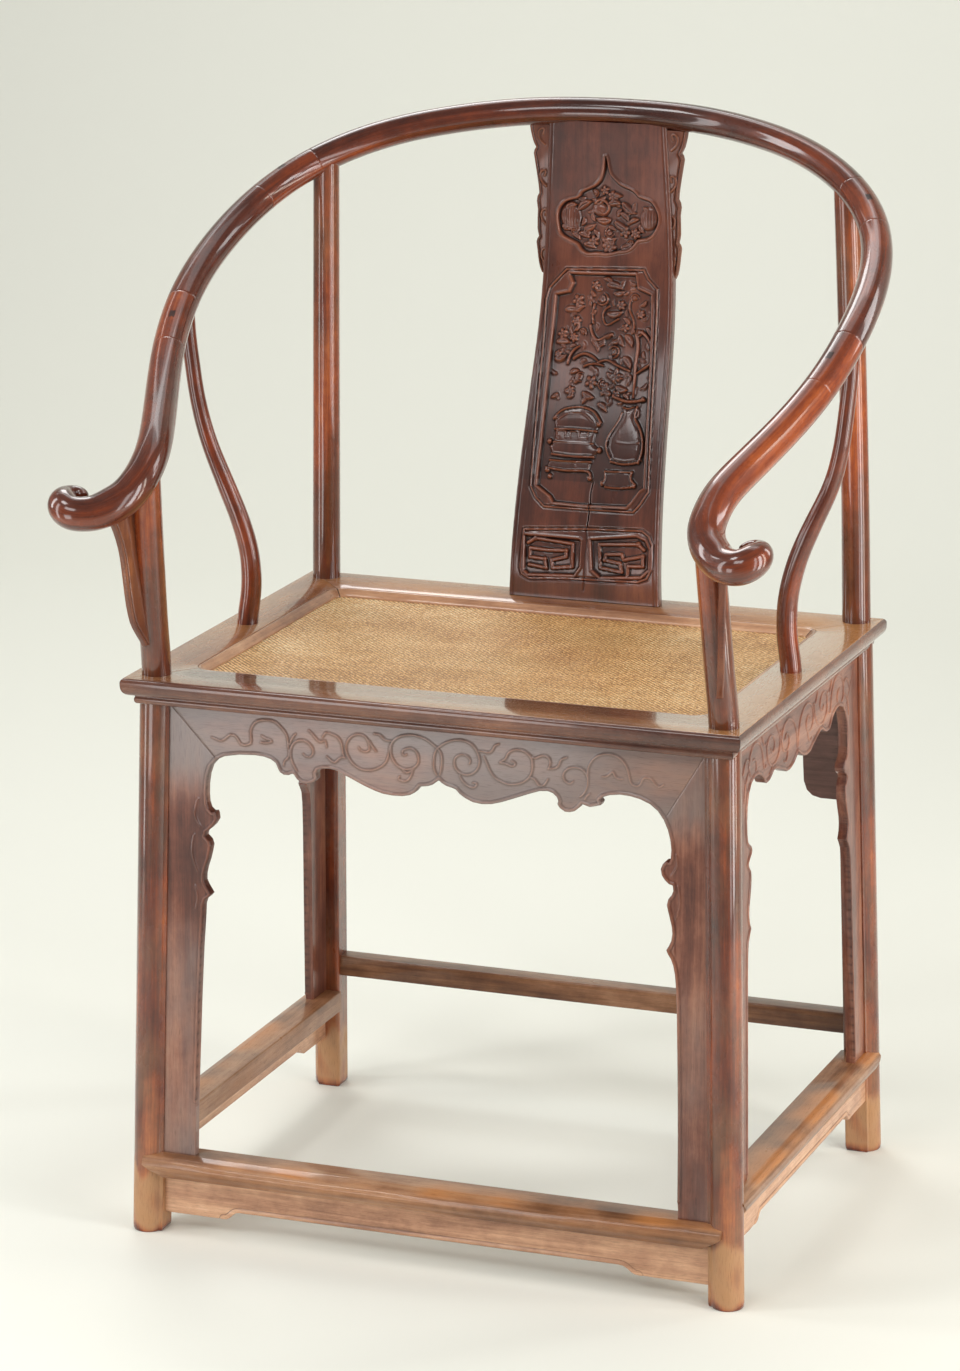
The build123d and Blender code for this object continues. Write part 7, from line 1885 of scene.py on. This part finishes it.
gx = CX0 + (np.arange(NX) + 0.5) * PITCH
gy = CY0 + (np.arange(NY) + 0.5) * PITCH
over = ((np.arange(NX)[:, None] + np.arange(NY)[None, :]) % 4) < 2      # lengthwise strand on top

# strands running front to back
W = 0.47 * PITCH
xx = gx[:, None] + wander(NX, NY, 0.10)
yy = np.repeat(gy[None, :], NX, 0) + wander(NX, NY, 0.08)
zz = 522.0 + sag(xx, yy) + np.where(over, LIFT, -LIFT)
shade = np.clip(cane_rng.normal(0, 0.4, NX)[:, None] + 0.35 * wander(NX, NY, 1.0), -1, 1)
tiltn = cane_rng.normal(0, 0.05, (NX, 1))
pc = Piece()
V = np.stack([np.stack([xx - W, yy, zz - 0.03 + tiltn], -1), np.stack([xx + W, yy, zz - 0.03 - tiltn], -1)], 2)
G = np.stack([np.stack([yy + 500 * (np.arange(NX)[:, None] % 7), np.full_like(xx, -W) + gx[:, None] * 3, zz], -1),
              np.stack([yy + 500 * (np.arange(NX)[:, None] % 7), np.full_like(xx, W) + gx[:, None] * 3, zz], -1)], 2)
idx = np.arange(NX * NY * 2).reshape(NX, NY, 2)
Q = np.stack([idx[:, :-1, 0], idx[:, :-1, 1], idx[:, 1:, 1], idx[:, 1:, 0]], -1).reshape(-1, 4)
# cav: 0.25 on the crowns, -0.5 where a strand dips under; the cane material paints shade from the low values
C = np.repeat(np.where(over, 0.25, -0.5)[:, :, None], 2, 2)
pc.add(V.reshape(-1, 3), Q, (), G.reshape(-1, 3), C.ravel())
tone_v = np.repeat(shade[:, :, None], 2, 2).ravel()
pc.build("cane_strands_lengthwise", MAT["cane"], ["cane_seat"], angle=180, tone=lambda v, t=tone_v: t)

# strands running side to side
xx = np.repeat(gx[None, :], NY, 0) + wander(NY, NX, 0.08)
yy = gy[:, None] + wander(NY, NX, 0.10)
ov = over.T
zz = 522.0 + sag(xx, yy) + np.where(ov, -LIFT, LIFT)
shade = np.clip(cane_rng.normal(0, 0.4, NY)[:, None] + 0.35 * wander(NY, NX, 1.0), -1, 1)
tiltn = cane_rng.normal(0, 0.05, (NY, 1))
pc = Piece()
V = np.stack([np.stack([xx, yy - W, zz - 0.03 + tiltn], -1), np.stack([xx, yy + W, zz - 0.03 - tiltn], -1)], 2)
G = np.stack([np.stack([xx + 500 * (np.arange(NY)[:, None] % 7), np.full_like(xx, -W) + gy[:, None] * 3, zz], -1),
              np.stack([xx + 500 * (np.arange(NY)[:, None] % 7), np.full_like(xx, W) + gy[:, None] * 3, zz], -1)], 2)
idx = np.arange(NX * NY * 2).reshape(NY, NX, 2)
Q = np.stack([idx[:, :-1, 0], idx[:, 1:, 0], idx[:, 1:, 1], idx[:, :-1, 1]], -1).reshape(-1, 4)
# cav as for the lengthwise strands: the low values become painted shade
C = np.repeat(np.where(ov, -0.5, 0.25)[:, :, None], 2, 2)
pc.add(V.reshape(-1, 3), Q, (), G.reshape(-1, 3), C.ravel())
tone_h = np.repeat(shade[:, :, None], 2, 2).ravel()
pc.build("cane_strands_crosswise", MAT["cane"], ["cane_seat"], angle=180, tone=lambda v, t=tone_h: t)

# =====================================================================
# palm-fibre webbing under the cane: cords woven over and under
# =====================================================================
WX, WY0, WY1 = OPEN_HALF_W - 12.6, OPEN_FRONT + 12.6, OPEN_BACK - 12.6
pc = Piece()
CP = 8.2
nx_, ny_ = int(2 * WX / CP), int((WY1 - WY0) / CP)
cx = -WX + (np.arange(nx_) + 0.5) * 2 * WX / nx_
cy = WY0 + (np.arange(ny_) + 0.5) * (WY1 - WY0) / ny_
SIDES = 6
ring_ = circle(1.0, SIDES)
web_rng = np.random.default_rng(5)


def cord(points, r, shift):
    p = np.asarray(points, float)
    t, n, b = frames_along(p, (0, 0, 1))
    rr = r * (1 + web_rng.normal(0, 0.05, len(p)))
    twist = np.linspace(0, len(p) * 0.45, len(p))
    ca, s_ = np.cos(twist), np.sin(twist)
    sec = np.stack([ring_[None, :, 0] * ca[:, None] - ring_[None, :, 1] * s_[:, None],
                    ring_[None, :, 0] * s_[:, None] + ring_[None, :, 1] * ca[:, None]], -1) * rr[:, None, None]
    s = np.r_[0, np.cumsum(np.linalg.norm(np.diff(p, axis=0), axis=1))]
    sweep(pc, p, sec, n, b, s, (True, True), shift)


for i, x in enumerate(cx):
    if 66 < abs(x) < 90:
        continue
    k = np.arange(2 * ny_ + 1)
    y = WY0 + (WY1 - WY0) * k / (2 * ny_)
    z = 518.0 + 0.5 * np.sin((k + (2 * i)) * math.pi / 2 - math.pi / 4) * 0.9
    x_ = x + web_rng.normal(0, 0.25, len(k))
    cord(np.stack([x_, y, z], -1), 1.15, 37.0 * i)
for j, y in enumerate(cy):
    for x0, x1 in ((-WX, -90.0), (-66.0, 66.0), (90.0, WX)):
        m = max(3, int((x1 - x0) / (CP / 2)))
        k = np.arange(m + 1)
        x = x0 + (x1 - x0) * k / m
        z = 518.0 - 0.5 * np.sin((k + 2 * j) * math.pi / 2 - math.pi / 4) * 0.9
        y_ = y + web_rng.normal(0, 0.25, len(k))
        cord(np.stack([x, y_, z], -1), 1.15, 53.0 * j + x0)
# pad of loose fibre between the cords and the cane
px = np.linspace(-WX, WX, 90)
py = np.linspace(WY0, WY1, 60)
PX, PY = np.meshgrid(px, py)
PZ = 518.9 + 0.25 * np.sin(PX / 5.0) * np.sin(PY / 4.3) + web_rng.normal(0, 0.1, PX.shape)
v = np.stack([PX, PY, PZ], -1).reshape(-1, 3)
pc.add(v, grid_quads(60, 90, False), (), v)
pc.build("seat_webbing_shape", MAT["palm_fibre"], ["seat_webbing"], angle=60,
         tone=lambda v: 0.5 * np.sin(v[:, 0] / 23.0) * np.sin(v[:, 1] / 19.0))

# =====================================================================
# bowed battens under the cane
# =====================================================================
def arc_z(y, ends, mid):
    """Height of the circle through both ends and the middle."""
    y0, y1 = OPEN_FRONT + 4, OPEN_BACK - 4
    c, h = (y0 + y1) / 2, (y1 - y0) / 2
    s = ends - mid
    R = (h * h + s * s) / (2 * s)
    return mid + R - np.sqrt(R * R - (y - c) ** 2)


for sx, lr in ((-1, "left"), (1, "right")):
    pc = Piece()
    y = np.linspace(OPEN_FRONT + 4, OPEN_BACK - 4, 120)
    zt, zb = arc_z(y, 515.6, 503.0), arc_z(y, 506.0, 492.0)
    rows = []
    sec_ = rounded_poly([(-10, 0), (10, 0), (10, 1), (-10, 1)], 0.0)
    half = []
    m = 22
    for k in range(m):
        a = 2 * math.pi * k / m
        u = math.copysign(abs(math.cos(a)) ** 0.22, math.cos(a)) * 10
        w = math.copysign(abs(math.sin(a)) ** 0.30, math.sin(a))
        half.append((u, w))
    half = np.array(half)
    V = np.zeros((len(y), m, 3))
    wob = 0.35 * np.sin(y / 13.0 + sx) + 0.2 * np.sin(y / 5.1)
    V[:, :, 0] = sx * 78 + half[None, :, 0] + wob[:, None] * 0.5
    V[:, :, 1] = y[:, None]
    V[:, :, 2] = (zt + zb)[:, None] / 2 + half[None, :, 1] * (zt - zb)[:, None] / 2 - 0.15 * np.abs(wob[:, None])
    G = np.stack([np.repeat(y[:, None], m, 1) + 15000 + 400 * sx, V[:, :, 0], V[:, :, 2]], -1)
    q = grid_quads(len(y), m, True)[:, ::-1]
    from mathutils.geometry import tessellate_polygon
    tri = np.array(tessellate_polygon([[Vector((a, b, 0)) for a, b in half]]))
    pc.add(V.reshape(-1, 3), q, np.vstack([tri, tri[:, ::-1] + (len(y) - 1) * m]), G.reshape(-1, 3))
    fix_normals(pc.build(f"seat_brace_{lr}_shape", MAT["brace_wood"], [f"seat_brace_{lr}"], angle=40))


# =====================================================================
# floor, light and camera
# =====================================================================
fm = bpy.data.materials.new("floor_paper")
fm.use_nodes = True
fb = fm.node_tree.nodes["Principled BSDF"]
fb.inputs["Base Color"].default_value = (0.845, 0.85, 0.775, 1)
fb.inputs["Roughness"].default_value = 0.75
fb.inputs["Specular IOR Level"].default_value = 0.25
bm = bmesh.new()
prof = [(-5.0, 0.0), (2.2, 0.0)]
for k in range(1, 13):
    a = k / 12 * math.pi / 2
    prof.append((2.2 + 1.6 * math.sin(a), 1.6 - 1.6 * math.cos(a)))
prof.append((3.8, 7.0))
for x in (-6.0, 6.0):
    for y, z in prof:
        bm.verts.new((x, y, z))
bm.verts.ensure_lookup_table()
n = len(prof)
for k in range(n - 1):
    bm.faces.new((bm.verts[k], bm.verts[n + k], bm.verts[n + k + 1], bm.verts[k + 1]))
me = bpy.data.meshes.new("paper_sweep")
bm.to_mesh(me)
bm.free()
me.materials.append(fm)
me.shade_smooth()
floor = bpy.data.objects.new("paper_sweep", me)
bpy.context.scene.collection.objects.link(floor)

world = bpy.data.worlds.new("studio")
bpy.context.scene.world = world
world.use_nodes = True
wt = world.node_tree
wt.nodes["Background"].inputs["Color"].default_value = (1.0, 0.985, 0.94, 1)
wt.nodes["Background"].inputs["Strength"].default_value = 0.25


def softbox(name, loc, target, size, power, color=(1, 1, 1)):
    lamp = bpy.data.lights.new(name, "AREA")
    lamp.shape = "RECTANGLE"
    lamp.size, lamp.size_y = size
    lamp.energy = power
    lamp.color = color
    ob = bpy.data.objects.new(name, lamp)
    bpy.context.scene.collection.objects.link(ob)
    ob.location = loc
    ob.rotation_mode = "QUATERNION"
    ob.rotation_quaternion = (Vector(target) - Vector(loc)).to_track_quat("-Z", "Y")
    return ob


def on_ring(name, az, z, height, width, power, aim=0.9, radius=1.8, color=(1, 1, 1)):
    """Upright strip box standing on a ring round the chair."""
    a = math.radians(az)
    softbox(name, (radius * math.cos(a), radius * math.sin(a), z), (0, 0, aim), (width, height), power, color)


on_ring("strip_right_1", -33, 0.97, 1.9, 0.24, 6.0, aim=0.97)
on_ring("strip_right_2", -15, 0.97, 1.9, 0.36, 18.0, aim=0.97)
on_ring("strip_right_3", 3, 1.00, 1.9, 0.24, 10.5, aim=1.0, color=(1.0, 0.90, 0.78))
on_ring("strip_right_4", 36, 1.50, 1.1, 0.36, 6.0)
on_ring("strip_left_1", -143, 0.97, 1.9, 0.28, 8.5, aim=0.97)
on_ring("strip_left_2", -167, 1.40, 1.3, 0.30, 9.0)
on_ring("box_low", -111, 0.42, 0.50, 0.50, 3.3, aim=0.46, radius=1.5)
softbox("box_high_left", (-1.2, 1.75, 2.7), (-0.4, 0.7, 0.3), (0.85, 0.85), 12)
softbox("box_over_front", (-1.05, -1.0, 2.75), (-0.2, -0.3, 0.5), (0.62, 0.55), 10)
softbox("box_front", (-0.5, -3.0, 2.9), (0.1, 0, 0.4), (1.8, 0.9), 28)
softbox("wash_back", (-1.5, 1.3, 3.4), (-1.5, 3.8, 1.2), (4.0, 1.0), 30)
softbox("wash_floor", (-1.0, 1.8, 3.4), (-0.9, 2.0, 0), (4.0, 1.4), 18)

# camera solved from the chair's own edges
AZ, EL, ROLL = math.radians(21.11), math.radians(14.89), math.radians(-0.39)
back = np.array([math.sin(AZ) * math.cos(EL), -math.cos(AZ) * math.cos(EL), math.sin(EL)])
right = np.array([math.cos(AZ), math.sin(AZ), 0.0])
up = np.cross(back, right)
r2 = right * math.cos(ROLL) + up * math.sin(ROLL)
u2 = -right * math.sin(ROLL) + up * math.cos(ROLL)
cam_data = bpy.data.cameras.new("camera")
cam_data.sensor_fit = "AUTO"
cam_data.sensor_width = 36.0
cam_data.sensor_height = 36.0
cam_data.lens = 4861.2 / 1371 * 36.0
cam_data.clip_start, cam_data.clip_end = 0.1, 60
cam = bpy.data.objects.new("camera", cam_data)
bpy.context.scene.collection.objects.link(cam)
cam.matrix_world = Matrix(((r2[0], u2[0], back[0], 1.5365), (r2[1], u2[1], back[1], -4.0635), (r2[2], u2[2], back[2], 1.6482), (0, 0, 0, 1)))
bpy.context.scene.camera = cam

bpy.context.scene.view_settings.view_transform = "Standard"
